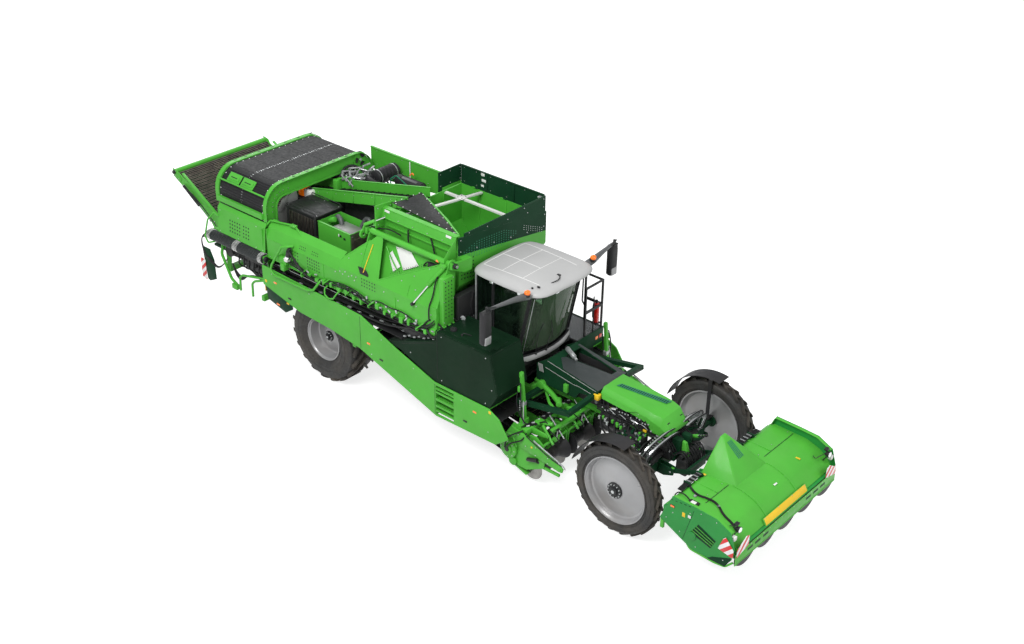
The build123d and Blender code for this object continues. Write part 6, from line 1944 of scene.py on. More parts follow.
@dataclass
class Bunker:
    """The bunker: braces, seams, perforated walls, folding flaps, rubber lip and discharge beam."""

    rear: float = -1.6
    front: float = 0.77
    right: float = -1.01
    left: float = 1.6

    def build(self) -> None:
        """Builds every group on the bunker."""
        self._braces()
        self._walls()
        self._discharge()
        self._lip()
        self._flaps()

    def _braces(self) -> None:
        """Adds the white cross brace and the diagonal strut over the load space."""
        brace = Shape(WHITE)
        brace.fold([
            (1.035, 3.868), (1.035, 3.905), (1.105, 3.905), (1.105, 3.868)
        ], Plane.YZ, (self.rear + 0.03, self.front - 0.03), 0.004)
        start, end = Vector((-1.5, -0.95, 3.912)), Vector((-0.98, 1.565, 3.912))
        side = (end - start).cross(Vector((0, 0, 1))).normalized() * 0.034
        drop = Vector((0, 0, -0.036))
        one, two, run = start - side, start + side, end - start
        brace.sheet([tuple(one), tuple(two), tuple(two + run), tuple(one + run)], 0.004)
        for edge in (one, two):
            brace.sheet([tuple(edge), tuple(edge + run), tuple(edge + run + drop), tuple(edge + drop)], 0.004)
        brace.box((-1.2, -1.0), (0.97, 1.17), (3.91, 3.918), 0.002)
        brace.use(SATIN).studs(
            [(-1.1 + a, 1.07 + b, 3.918) for a in (-0.06, 0.06) for b in (-0.06, 0.06)], UP, 0.012, 0.009
        )
        brace.piece("bunker_brace")

    def _walls(self) -> None:
        """Adds seams, ribs, holes and bolts to the walls inside and out."""
        walls = Shape(LIME)
        walls.fold([(1.575, 3.965), (1.575, 3.985), (1.625, 3.985), (1.625, 3.955)], Plane.YZ, (-4.4, -1.62), 0.005)
        for x in (-3.15, -4.36, -2.3):
            walls.box((x - 0.014, x + 0.014), (1.58, 1.589), (3.42, 3.97), 0.003)
        for x in (-1.05, -0.3, 0.4):
            walls.box((x - 0.012, x + 0.012), (self.left - 0.04, self.left - 0.029), (2.75, 3.92), 0.003)
            walls.box((x - 0.012, x + 0.012), (self.right + 0.029, self.right + 0.04), (2.75, 3.92), 0.003)
        for y in (-0.4, 0.3, 1.0):
            walls.box((self.rear + 0.029, self.rear + 0.04), (y - 0.012, y + 0.012), (3.15, 3.9), 0.003)
            walls.box((self.front - 0.04, self.front - 0.029), (y - 0.012, y + 0.012), (3.3, 3.58), 0.003)
        for x in (-1.35, -0.75, -0.1, 0.55):
            walls.box((x - 0.03, x + 0.03), (self.left - 0.002, self.left + 0.035), (3.1, 3.9), 0.006)
        walls.box((self.rear, self.front), (self.left - 0.002, self.left + 0.04), (3.1, 3.16), 0.006)
        walls.use(HOSE).studs([
            (self.front + 0.0005, -0.93 + i * 0.082, 3.42 + j * 0.082 - i * 0.011) for i in range(5) for j in range(6)
        ], AHEAD, 0.018, 0.002, 12)
        walls.studs([
            (self.front + 0.0005, 0.3 + i * 0.082, 3.28 + j * 0.082 - i * 0.011) for i in range(5) for j in range(4)
        ], AHEAD, 0.018, 0.002, 12)
        walls.use(JADE)
        for i in range(22):
            y = -0.86 + i * 0.072
            rows = 2 + min(i, 21 - i, 5)
            walls.studs([
                (self.front + 0.0004, y, 3.985 - (y + 1.01) * 0.055 + (j - rows / 2) * 0.05) for j in range(rows)
            ], AHEAD, 0.013, 0.0015, 8)
        walls.use(ZINC).studs([
            (self.front + 0.0005, 0.9 + i * 0.07, 3.93 - i * 0.03 - j * 0.045) for i in range(9) for j in range(3)
        ], AHEAD, 0.009, 0.005)
        walls.studs([(self.front + 0.0005, -0.96, z) for z in (4.02, 4.26)] + [
            (self.front + 0.0005, y, z)
            for y, z in ((-0.5, 3.95), (0.0, 3.88), (0.5, 3.81), (1.0, 3.74), (1.52, 3.7), (1.54, 3.96))
        ], AHEAD, 0.014)
        walls.studs([
            (x, self.left + 0.0005, 3.9) for x in (-1.2, -0.5, 0.2)
        ] + [(x, 1.588, z) for x in (-4.2, -3.4, -2.6, -1.8) for z in (3.6, 3.92)], OUT_RIGHT)
        walls.use(WHITE).box((-3.165, -3.135), (1.578, 1.5815), (3.44, 3.96), 0.001)
        walls.piece("bunker_walls")

    def _discharge(self) -> None:
        """Adds folds, bolts, stickers and the pivot plates of the discharge beam."""
        beam = Shape(LIME)
        beam.rod((-1.25, -1.062, 4.355), (0.735, -1.062, 4.355), 0.01, sides=8)
        beam.rod((-1.25, -1.08, 4.156), (0.735, -1.08, 4.156), 0.012, sides=8)
        beam.rod((-1.262, -1.26, 4.44), (-1.262, -0.79, 4.4), 0.012, sides=8)
        beam.rod((-1.262, -1.26, 3.96), (-1.262, -1.26, 4.44), 0.012, sides=8)
        beam.box((-1.2, 0.72), (-1.045, -1.011), (3.96, 4.0), 0.006)
        beam.plate(
            [(-1.06, 3.95), (-1.06, 4.34), (-1.4, 4.02), (-1.4, 3.86), (-1.3, 3.82)], Plane.YZ, (0.738, 0.744), 0.002
        )
        beam.lathe([
            (-0.02, 0.045), (0.02, 0.045), (0.02, 0.1), (-0.02, 0.1)
        ], (0, 0, 0), 1, 32, [Matrix.Translation((-1.52, -1.36, 3.8)) @ Matrix.Rotation(pi / 2, 4, "Z")])
        beam.use(WHITE)
        for x in (-1.12, 0.56):
            beam.sheet([
                (x - 0.07, -1.0735, 4.285), (x + 0.07, -1.0735, 4.285), (x + 0.07, -1.0665, 4.335),
                (x - 0.07, -1.0665, 4.335),
            ], 0.003)
        beam.use(HOSE).tube(
            [(-1.45, -1.28, 3.98), (-1.25, -1.18, 3.92), (-0.95, -1.16, 4.02), (-0.7, -1.12, 3.94)], 0.014
        )
        beam.tube([(-0.55, -1.06, 4.1), (-0.5, -1.12, 3.92), (-0.46, -1.14, 3.72)], 0.016)
        beam.tube([(0.05, -1.04, 4.1), (0.2, -1.08, 3.86), (0.24, -1.12, 3.66)], 0.016)
        beam.use(ZINC).studs([(x, -1.079, 4.2) for x in (-1.18, -0.8, -0.4, 0.0, 0.4, 0.68)], (0, -1, 0.1))
        beam.studs([(-1.264, y, z) for y, z in ((-1.2, 4.38), (-0.85, 4.34), (-1.2, 4.02), (-1.0, 4.2))], BACK, 0.013)
        beam.studs([(-1.248, y, z) for y, z in ((-1.2, 4.38), (-0.85, 4.34), (-1.2, 4.02))], AHEAD, 0.013)
        beam.use(CHROME).rod((-1.38, -1.33, 4.06), (-1.1, -1.14, 4.22), 0.016, sides=12)
        beam.use(LIME).rod((-1.46, -1.385, 4.02), (-1.28, -1.262, 4.12), 0.034, sides=16, soft=0.005)
        beam.piece("discharge_beam_trim")

    def _lip(self) -> None:
        """Hangs the black rubber lip between the filling belt and the discharge beam."""
        corners = [
            Vector(c) for c in ((-1.56, 0.34, 4.13), (0.66, -0.9, 4.315), (-1.24, -0.82, 4.385), (0.67, -0.95, 4.345))
        ]
        part = bmesh.new()
        bmesh.ops.create_grid(part, x_segments=14, y_segments=8, size=0.5)
        for vert in part.verts:
            u, v = vert.co.x + 0.5, vert.co.y + 0.5
            far = corners[0].lerp(corners[1], u)
            near = corners[2].lerp(corners[3], u)
            vert.co = far.lerp(near, v)
            vert.co.z -= 0.1 * sin(pi * v) * (1 - u) ** 0.6 * sin(pi * min(1.0, u * 0.9 + 0.12))
        bmesh.ops.solidify(part, geom=part.faces[:], thickness=0.008)
        lip = Shape(BELT)
        lip.take(part)
        lip.use(LIME).tube([(-1.56, 0.345, 4.1), (-0.8, -0.05, 4.185), (0.0, -0.5, 4.27), (0.67, -0.9, 4.325)], 0.02)
        lip.sheet([(-1.56, 0.36, 4.09), (-0.1, -0.4, 4.24), (-0.1, -0.4, 4.1), (-1.56, 0.36, 3.98)], 0.008)
        lip.sheet([(-0.1, -0.4, 4.24), (0.68, -0.89, 4.31), (0.68, -0.89, 4.17), (-0.1, -0.4, 4.1)], 0.008)
        lip.use(WHITE)
        for i in range(9):
            share = (i + 0.5) / 9
            lip.studs([tuple(corners[0].lerp(corners[1], share) + Vector((0.01, -0.02, 0.004)))], UP, 0.013, 0.007)
            lip.studs([tuple(corners[2].lerp(corners[3], share) + Vector((0, 0.02, 0.004)))], UP, 0.013, 0.007)
        lip.studs([
            tuple(corners[0].lerp(corners[2], (i + 0.5) / 5) + Vector((0.02, 0, 0.004))) for i in range(5)
        ], UP, 0.013, 0.007)
        lip.piece("rubber_lip")

    def _flaps(self) -> None:
        """Adds lips, latches and fittings to the folding flaps and the rear guard."""
        left = Shape(PINE)
        left.box((self.rear + 0.012, 0.705), (1.562, 1.603), (4.345, 4.369), 0.005)
        for x in (-0.85, -0.1):
            left.box((x - 0.02, x + 0.02), (1.562, 1.581), (3.97, 4.35))
        left.use(WHITE).box((-1.02, -0.92), (1.576, 1.5805), (4.27, 4.34), 0.002)
        left.box((-1.0, -0.88), (1.576, 1.5805), (4.14, 4.2), 0.002)
        left.box((-1.02, -0.94), (1.576, 1.5805), (4.02, 4.07), 0.002)
        left.use(ZINC).studs(
            [(x, 1.5795, z) for x in (-1.5, -1.15, -0.75, -0.3, 0.2, 0.6) for z in (4.0, 4.31)], OUT_RIGHT, 0.012, 0.007
        )
        left.box((0.6, 0.7), (1.5, 1.579), (4.28, 4.32), 0.008)
        left.piece("left_flap_trim", "bunker_flap_left")
        front = Shape(PINE)
        front.box((0.746, 0.774), (-0.84, 1.565), (4.347, 4.369), 0.005)
        front.use(ZINC).studs([
            (0.7705, y, z)
            for y, z in ((-0.72, 4.345), (-0.2, 4.3), (0.4, 4.24), (1.0, 4.18), (1.5, 4.14), (1.5, 4.31), (0.9, 4.31))
        ], AHEAD, 0.012, 0.007)
        front.box((0.7, 0.749), (1.4, 1.54), (4.27, 4.31), 0.008)
        front.studs([(0.7495, y, 4.33) for y in (-0.5, 0.0, 0.5, 1.0, 1.45)], BACK, 0.011, 0.007)
        front.piece("front_flap_trim", "bunker_flap_front")
        guard = Shape(PINE)
        guard.box((self.rear - 0.028, self.rear + 0.003), (0.895, 1.59), (4.345, 4.37), 0.005)
        guard.use(ZINC).studs(
            [(self.rear + 0.0005, y, z) for y in (0.95, 1.25, 1.55) for z in (4.05, 4.31)], AHEAD, 0.012, 0.007
        )
        guard.piece("rear_guard_trim")


@dataclass
class Cab:
    """The cab: roof, mirrors, interior, glass trims, platform fittings and the body below it."""

    half: float = 0.76
    floor: float = 2.03
    front: float = 2.08
    lean: float = 0.33

    def build(self) -> None:
        """Builds every group on the cab."""
        self._roof()
        self._roof_fittings()
        self._mirrors()
        self._interior()
        self._seat()
        self._wheel()
        self._trim()
        self._apron()
        self._platform()
        self._door()

    def _bow(self, y: float, z: float) -> float:
        """Returns how far forward the windscreen stands at a width and height."""
        return self.front + 0.03 + (z - self.floor) * self.lean / 1.59 + 0.165 * (1 - (y / self.half) ** 2)

    def _crown(self, x: float, y: float) -> float:
        """Returns the roof's height over a place."""
        u, v = (x - 1.82) / 0.92, y / 0.89
        return 3.768 - 0.026 * u * u - 0.034 * v * v - 0.02 * max(0.0, u) ** 4

    def _roof(self) -> None:
        """Builds the bowed roof shell with its rim and seams."""
        edge = []
        steps = 96
        for i in range(steps):
            a = tau * i / steps
            c, s = cos(a), sin(a)
            x = abs(c) ** 0.27 * (1 if c > 0 else -1)
            y = abs(s) ** 0.27 * (1 if s > 0 else -1)
            x = x * (1 - 0.085 * y * y) if x > 0 else x * (1 - 0.055 * y * y)
            edge.append((1.815 + 0.935 * x, 0.915 * y * (1 - 0.03 * x * x)))
        rings = []
        for share, drop in (
            (0.955, 0.144), (0.985, 0.146), (1.0, 0.136), (1.0, 0.112), (0.99, 0.09), (0.962, 0.066), (0.9, 0.04)
        ):
            rings.append([(1.825 + (x - 1.825) * share, y * share, 3.766 - drop) for x, y in edge])
        for share in (0.86, 0.72, 0.55, 0.36, 0.16):
            ring = [(1.825 + (x - 1.825) * share, y * share) for x, y in edge]
            rings.append([(x, y, self._crown(x, y)) for x, y in ring])
        roof = Shape(ROOF)
        roof.loft(rings)
        roof.use(WHITE)
        for (x0, y0), (x1, y1) in (
            ((1.06, -0.62), (1.06, 0.62)), ((1.06, -0.62), (2.42, -0.56)), ((1.06, 0.62), (2.42, 0.56)),
            ((1.52, -0.6), (1.52, 0.6)), ((2.02, -0.585), (2.02, 0.585)), ((1.06, -0.05), (2.02, -0.05)),
        ):
            route = [(x0 + (x1 - x0) * i / 8, y0 + (y1 - y0) * i / 8) for i in range(9)]
            roof.tube([(x, y, self._crown(x, y) - 0.002) for x, y in route], 0.0065, 6)
        roof.piece("roof_shell", "chassis", ("cab_roof",), 50)

    def _roof_fittings(self) -> None:
        """Adds the aerials, the dark liner and the work lamps under the roof's edge."""
        top = Shape(MOULDED)
        top.box((2.44, 2.5), (-0.66, -0.62), (3.735, 3.765), 0.01)
        top.rod((2.4, -0.74, 3.72), (2.4, -0.74, 3.755), 0.022, sides=16, soft=0.004)
        top.tube([(2.52, -0.34, 3.735), (2.58, -0.28, 3.765), (2.56, -0.1, 3.768), (2.46, -0.02, 3.765)], 0.01)
        top.box((2.4, 2.48), (-0.03, 0.02), (3.738, 3.766), 0.01)
        rim = []
        for i in range(25):
            y = -0.8 + 1.6 * i / 24
            rim.append((min(2.62, self._bow(min(self.half, abs(y)), 3.55) + 0.17), y))
        top.plate([(1.02, -0.8)] + rim + [(1.02, 0.8)], Plane.XY, (3.585, 3.626), 0.006)
        top.use(TRIM)
        lamps = [(2.45, -0.66), (2.53, -0.46), (2.58, -0.24), (2.58, 0.24), (2.53, 0.46), (2.45, 0.66)]
        for x, y in lamps:
            top.box((x - 0.055, x + 0.03), (y - 0.055, y + 0.055), (3.5, 3.585), 0.014)
        for s in (-1, 1):
            for x in (1.45, 2.15):
                top.box((x - 0.05, x + 0.05), (s * 0.8 - 0.03, s * 0.8 + 0.03), (3.52, 3.59), 0.012)
        top.use(LENS)
        for x, y in lamps:
            top.box((x + 0.026, x + 0.036), (y - 0.046, y + 0.046), (3.51, 3.576), 0.006)
        for s in (-1, 1):
            for x in (1.45, 2.15):
                top.box((x - 0.042, x + 0.042), (s * 0.832 - 0.006, s * 0.832 + 0.006), (3.528, 3.582))
        top.piece("roof_fittings")

    def _mirrors(self) -> None:
        """Builds the mirror arms, housings, glasses and beacons on both sides."""
        shape = Shape(TRIM)
        for _, s in SIDES:
            at = sided(s)
            shape.use(TRIM)
            rings = []
            for x, y, z, wide, tall in (
                (2.36, 0.72, 3.585, 0.16, 0.11), (2.41, 0.9, 3.63, 0.145, 0.125), (2.45, 1.05, 3.69, 0.125, 0.12),
                (2.42, 1.3, 3.715, 0.095, 0.085), (2.36, 1.62, 3.715, 0.07, 0.06), (2.31, 1.84, 3.705, 0.055, 0.05),
            ):
                h, v = wide / 2, tall / 2
                rings.append([
                    at(x - h, y, z - v * 0.6), at(x - h * 0.6, y, z - v), at(x + h * 0.6, y, z - v),
                    at(x + h, y, z - v * 0.6), at(x + h, y, z + v * 0.6), at(x + h * 0.6, y, z + v),
                    at(x - h * 0.6, y, z + v), at(x - h, y, z + v * 0.6),
                ])
            shape.loft(rings, 0.006)
            shape.use(SATIN).rod(at(2.3, 1.9, 3.6), at(2.3, 1.9, 3.77), 0.024, sides=16, soft=0.004)
            shape.tube([at(2.36, 1.72, 3.72), at(2.38, 1.82, 3.76), at(2.33, 1.92, 3.765)], 0.018)
            shape.box((2.24, 2.36), (s * 1.82, s * 1.97), (3.655, 3.69), 0.012)
            shape.use(MOULDED)
            rings = []
            for z, wide, deep in (
                (2.965, 0.06, 0.04), (2.985, 0.095, 0.066), (3.03, 0.115, 0.08), (3.25, 0.119, 0.088),
                (3.5, 0.119, 0.088), (3.62, 0.112, 0.082), (3.665, 0.09, 0.064), (3.682, 0.055, 0.036),
            ):
                ring = []
                for c, q in ring_of(24):
                    x = deep * abs(c) ** 0.6 * (1 if c > 0 else -0.55)
                    ring.append(at(2.262 + x, 1.9 + wide * abs(q) ** 0.6 * (1 if q > 0 else -1), z))
                rings.append(ring)
            shape.loft(rings)
            shape.box((2.205, 2.235), (s * 1.8, s * 2.0), (3.0, 3.655), 0.01)
            shape.use(MIRROR).box((2.2, 2.207), (s * 1.812, s * 1.988), (3.2, 3.64), 0.002)
            shape.box((2.2, 2.207), (s * 1.812, s * 1.988), (3.015, 3.185), 0.002)
            shape.use(SILVER).box((2.3, 2.352), (s * 1.815, s * 1.985), (2.985, 3.16), 0.02)
            shape.use(SATIN).rod(at(2.475, 0.985, 3.7), at(2.485, 0.985, 3.755), 0.066, sides=24, soft=0.006)
            shape.use(AMBER).rod(at(2.485, 0.985, 3.75), at(2.49, 0.985, 3.785), 0.06, sides=24, soft=0.003)
            shape.ball(at(2.49, 0.985, 3.785), 0.06, (1, 1, 0.7))
        shape.piece("mirror_arms_and_glasses", "chassis", ("mirrors",))

    def _interior(self) -> None:
        """Builds the floor mat, dash, console, screens, pedals and the lining."""
        room = Shape(TRIM)
        low = self.floor + 0.024
        room.box((1.02, 2.06), (-0.7, 0.7), (low, low + 0.02), 0.006)
        room.box((1.01, 1.035), (-0.735, 0.735), (low, 2.74), 0.006)
        room.box((1.03, 1.2), (-0.7, 0.7), (low, 2.36), 0.02)
        room.box((1.03, 1.14), (-0.7, 0.7), (2.36, 2.58), 0.02)
        room.box((1.04, 2.3), (-0.74, 0.74), (3.555, 3.585), 0.01)
        room.plate([(1.68, 2.55), (1.3, 2.55), (1.24, 2.7), (1.62, 2.74), (1.72, 2.66)], Plane.XZ, (-0.52, -0.28), 0.02)
        room.box((1.36, 1.56), (-0.5, -0.3), (low, 2.56), 0.02)
        room.use(MOULDED).tube([(1.66, -0.38, 2.72), (1.75, -0.42, 2.82), (1.76, -0.44, 2.96)], 0.018)
        room.box((1.745, 1.775), (-0.6, -0.3), (2.9, 3.13), 0.014)
        room.tube([(1.62, -0.4, 2.7), (1.66, -0.4, 2.8)], 0.022, 10)
        room.ball((1.665, -0.4, 2.835), 0.034, (1, 0.9, 1.4))
        room.box((2.02, 2.2), (-0.3, 0.3), (low, 2.2), 0.03)
        for y in (-0.1, 0.1):
            room.box((1.98, 2.02), (y, y + 0.08), (2.1, 2.22), 0.006)
        room.use(LENS).box((1.742, 1.7465), (-0.585, -0.315), (2.915, 3.115), 0.002)
        room.use(JADE).box((1.7405, 1.743), (-0.565, -0.42), (2.94, 3.09), 0.001)
        room.use(AMBER).box((1.9, 1.98), (0.34, 0.44), (low + 0.02, low + 0.1), 0.02)
        room.use(HOSE)
        for y in (-0.44, -0.36):
            room.studs([(1.34 + i * 0.05, y, 2.715 + i * 0.005) for i in range(5)], UP, 0.01, 0.01, 10)
        room.tube([(1.06, -0.6, 2.4), (1.14, -0.62, 2.9), (1.08, -0.6, 3.3)], 0.016)
        room.piece("cab_interior")

    def _seat(self) -> None:
        """Builds the padded driver's seat with cushions that are blown up and seamed."""
        rig = Shape(MOULDED)
        rig.box((1.2, 1.66), (-0.22, 0.22), (2.375, 2.43), 0.02)
        for i in range(5):
            z = 2.07 + i * 0.062
            rig.box((1.26 + 0.008 * (i % 2), 1.6 - 0.008 * (i % 2)), (-0.18, 0.18), (z, z + 0.05), 0.018)
        rig.box((1.095, 1.135), (-0.21, 0.21), (2.46, 3.12), 0.018)
        rig.box((1.16, 1.26), (-0.2, 0.2), (2.42, 2.5), 0.02)
        for _, s in SIDES:
            rig.box((1.16, 1.22), (s * 0.26, s * 0.31), (2.5, 2.66), 0.012)
        rig.tube([(1.13, 0.2, 3.02), (1.13, 0.24, 2.9), (1.24, 0.26, 2.62), (1.3, 0.26, 2.45)], 0.008)
        rig.use(RED).box((1.33, 1.38), (0.245, 0.275), (2.42, 2.49), 0.006)
        rig.use(CHROME)
        for y in (-0.07, 0.07):
            rig.rod((1.16, y, 3.1), (1.16, y, 3.24), 0.008, sides=10)
        rig.piece("seat_rig")
        pads = (
            ("seat_base_pad", (1.19, 1.69), (-0.235, 0.235), (2.435, 2.555), 0.03, 14),
            ("seat_back_pad", (1.135, 1.235), (-0.22, 0.22), (2.53, 3.1), 0.026, 12),
            ("seat_head_pad", (1.14, 1.215), (-0.13, 0.13), (3.17, 3.32), 0.024, 8),
            ("armrest_pad_left", (1.18, 1.5), (0.245, 0.325), (2.625, 2.69), 0.018, 6),
            ("armrest_pad_right", (1.18, 1.46), (-0.325, -0.245), (2.625, 2.69), 0.018, 6),
        )
        for name, x, y, z, soft, grow in pads:
            pad = Pad(name, x, y, z, soft, grow * 0.001)
            pad.build(("driver_seat",) if name == "seat_base_pad" else ())

    def _wheel(self) -> None:
        """Builds the steering column, the wheel with spokes and the display."""
        wheel = Shape(MOULDED)
        foot, hub = Vector((1.93, 0, self.floor + 0.02)), Vector((1.85, 0, 2.73))
        axis = Vector((-0.45, 0, 0.89)).normalized()
        side = Vector((0, 1, 0))
        up = axis.cross(side)
        rings = []
        for share, wide in ((0.0, 0.115), (0.08, 0.105), (0.16, 0.062), (0.55, 0.055), (0.85, 0.075), (0.96, 0.07)):
            spot = foot.lerp(hub, share)
            rings.append([(spot.x + wide * c, wide * 0.9 * q, spot.z) for c, q in ring_of(20)])
        wheel.loft(rings)
        ring = [
            tuple(hub + axis * 0.03 + (side * cos(tau * i / 40) + up * sin(tau * i / 40)) * 0.19) for i in range(41)
        ]
        wheel.tube(ring, 0.0155, 12)
        wheel.rod(tuple(hub), tuple(hub + axis * 0.035), 0.055, sides=24, soft=0.01)
        for turn in (0.5, 2.6, 4.7):
            end = hub + axis * 0.028 + (side * cos(turn) + up * sin(turn)) * 0.18
            wheel.rod(tuple(hub + axis * 0.015), tuple(end), 0.016, 0.012, 10)
        knob = hub + axis * 0.055 + (side * cos(2.2) + up * sin(2.2)) * 0.19
        wheel.ball(tuple(knob), 0.024)
        wheel.box((1.92, 1.99), (-0.13, 0.13), (2.72, 2.86), 0.022)
        wheel.use(LENS).box((1.914, 1.921), (-0.11, 0.11), (2.74, 2.845), 0.003)
        wheel.use(TRIM)
        for s in (-1, 1):
            wheel.rod((1.86, s * 0.06, 2.68), (1.84, s * 0.2, 2.7), 0.01, sides=10)
        wheel.piece("steering_wheel_and_dash", "chassis", ("steering_column",), 50)

    def _trim(self) -> None:
        """Adds seals, the silver rear post, wipers, grab rails and the roof channel."""
        trim = Shape(HOSE)
        for s in (-1, 1):
            low = (self._bow(self.half, self.floor + 0.12) - 0.03, s * (self.half + 0.004), self.floor + 0.12)
            high = (self._bow(self.half, 3.56) - 0.03, s * (self.half + 0.004), 3.56)
            trim.rod(low, high, 0.021, sides=10)
            trim.rod((1.0, s * (self.half + 0.004), 3.575), (high[0], s * (self.half + 0.004), 3.575), 0.016, sides=8)
            trim.rod((1.43, s * (self.half + 0.006), 2.1), (1.43, s * (self.half + 0.006), 3.56), 0.02, sides=8)
        trim.rod((1.0, -self.half - 0.006, 2.12), (2.05, -self.half - 0.006, 2.12), 0.014, sides=8)
        foot = [(self._bow(y, 2.13) + 0.004, y, 2.13) for y in (-0.72, -0.54, -0.36, -0.18, 0, 0.18, 0.36, 0.54, 0.72)]
        trim.tube(foot, 0.018)
        trim.use(SATIN)
        for y, reach in ((-0.42, 1.0), (-0.16, -1.0)):
            base = (self._bow(y, 2.14) + 0.012, y, 2.14)
            tip_y = y - 0.05 * reach
            tip = (self._bow(tip_y, 2.6) + 0.022, tip_y, 2.6)
            trim.rod(base, tip, 0.01, 0.006, 8)
            trim.rod((base[0] - 0.02, y, 2.12), (base[0] + 0.02, y, 2.12), 0.024, sides=12, soft=0.004)
            trim.tube(
                [(
                    self._bow(tip_y + 0.16 * reach * (k - 1) * 0.5, 2.36 + 0.24 * k) + 0.012,
                    tip_y + 0.08 * reach * (k - 1), 2.36 + 0.24 * k,
                ) for k in range(3)],
                0.008, 6,
            )
        trim.use(ZINC).rod((0.998, -self.half - 0.012, 2.16), (0.998, -self.half - 0.012, 3.57), 0.017, sides=12)
        trim.rod((2.15, self.half + 0.045, 2.55), (2.28, self.half + 0.045, 3.15), 0.012, sides=10)
        trim.use(ZINC).tube([(self._bow(0.7, z) + 0.002, -0.712, z) for z in (2.2, 2.7, 3.2, 3.5)], 0.006, 6)
        trim.piece("cab_trim")

    def _apron(self) -> None:
        """Adds the pale lip under the windscreen and the dark body between the cab and its frame."""
        apron = Shape(ROOF)
        rings = []
        for i in range(21):
            y = -0.765 + 1.53 * i / 20
            x = self._bow(min(abs(y), self.half), 2.06)
            rings.append([
                (x - 0.02, y, 1.985), (x + 0.03, y, 1.99), (x + 0.036, y, 2.04), (x + 0.03, y, 2.105),
                (x - 0.01, y, 2.11),
            ])
        apron.loft(rings, 0.006)
        apron.use(SATIN).box((1.02, 2.2), (-0.72, 0.72), (1.9, 2.02), 0.02)
        apron.box((1.2, 2.05), (-0.6, 0.6), (1.66, 1.9), 0.03)
        apron.box((0.8, 0.96), (-1.24, 0.95), (2.1, 3.2), 0.03)
        apron.use(HOSE)
        for i in range(9):
            y = -0.86 + i * 0.2
            apron.tube([(0.975, y, 2.12), (0.99, y + 0.05, 2.5), (0.97, y - 0.04, 2.9), (0.965, y + 0.04, 3.18)], 0.02)
        for i in range(7):
            y = -1.75 + i * 0.13
            apron.tube([
                (0.5 - 0.03 * i, y, 2.62), (0.66, y + 0.03, 2.86), (0.85, y + 0.1, 2.74), (0.98, y + 0.06, 2.71)
            ], 0.017)
        apron.use(CASTING).rod((0.86, 0.2, 3.26), (0.86, 0.62, 3.26), 0.095, sides=32, soft=0.012)
        apron.box((0.82, 0.95), (-0.52, -0.2), (3.19, 3.33), 0.02)
        apron.use(ZINC)
        for i in range(12):
            y = -0.84 + i * 0.15
            apron.rod(
                (0.972, y, 2.28 + 0.3 * rng.random()), (0.972, y + 0.01, 2.4 + 0.3 * rng.random()), 0.026, sides=8,
                soft=0.003,
            )
        apron.use(LENS).rod((0.99, -1.13, 2.72), (1.0, -1.16, 2.72), 0.055, sides=24, soft=0.006)
        apron.piece("cab_apron")

    def _platform(self) -> None:
        """Adds the chequered step plate, ladder rungs, extinguisher, lamps and extra rails."""
        deck = Shape(CHEQUER)
        deck.box((1.09, 2.325), (0.815, 1.61), (1.881, 1.889), 0.002)
        deck.use(ZINC)
        for i in range(26):
            for j in range(16):
                place = Matrix.Translation((1.12 + i * 0.046, 0.85 + j * 0.046, 1.89))
                deck.box(
                    (-0.017, 0.017), (-0.005, 0.005), (-0.002, 0.003), 0.0,
                    place @ Matrix.Rotation(pi / 4 * (1 if (i + j) % 2 else -1), 4, "Z"),
                )
        deck.use(PINE).box((2.325, 2.345), (0.8, 1.625), (1.56, 1.9))
        deck.box((1.06, 2.34), (1.62, 1.64), (1.66, 1.9))
        deck.use(SATIN).tube([(2.305, 1.05, 2.97), (2.305, 1.33, 3.0), (2.305, 1.595, 2.97)], 0.019, 10)
        deck.rod((2.305, 1.05, 2.4), (2.305, 1.595, 2.4), 0.014, sides=10)
        deck.rod((2.305, 1.595, 2.4), (1.87, 1.595, 2.4), 0.014, sides=10)
        deck.rod((2.305, 1.32, 1.89), (2.305, 1.32, 2.7), 0.013, sides=10)
        deck.tube([(1.87, 1.595, 2.97), (1.8, 1.6, 2.93), (1.79, 1.6, 2.3), (1.87, 1.595, 2.22)], 0.016, 10, 0.05)
        for z in (0.62, 0.95, 1.28, 1.6):
            deck.box((1.18, 1.52), (1.655, 1.8), (z, z + 0.025), 0.005)
        for x in (1.165, 1.515):
            deck.box((x, x + 0.02), (1.66, 1.72), (0.6, 1.66))
        deck.use(RED).rod((2.24, 1.5, 2.02), (2.24, 1.5, 2.46), 0.062, sides=28, soft=0.022)
        deck.box((2.34, 2.352), (1.5, 1.58), (1.68, 1.76))
        deck.use(MOULDED).rod((2.24, 1.5, 2.46), (2.24, 1.5, 2.53), 0.026, sides=14, soft=0.006)
        deck.tube([(2.24, 1.5, 2.52), (2.19, 1.47, 2.5), (2.17, 1.46, 2.3), (2.18, 1.46, 2.12)], 0.01)
        deck.box((2.17, 2.31), (1.43, 1.57), (1.985, 2.02), 0.01)
        deck.use(AMBER).box((2.34, 2.35), (1.38, 1.46), (1.68, 1.75))
        deck.piece("platform_fittings")

    def _door(self) -> None:
        """Adds the door's seal, handle and hinge covers."""
        door = Shape(HOSE)
        out = self.half + 0.022
        door.box((1.075, 1.9), (out, out + 0.012), (2.115, 2.135))
        door.box((1.075, 1.095), (out, out + 0.012), (2.13, 3.48))
        door.use(SATIN).box((1.88, 2.02), (out, out + 0.03), (2.66, 2.72), 0.01)
        door.tube(
            [(1.9, out, 2.92), (1.92, out + 0.045, 2.95), (1.96, out + 0.045, 3.22), (1.95, out, 3.26)], 0.011, 8, 0.02
        )
        door.use(ZINC)
        for z in (2.3, 3.3):
            door.studs([(1.1, out + 0.002, z), (1.1, out + 0.002, z + 0.06)], OUT_LEFT)
        door.piece("door_trim", "cab_door")


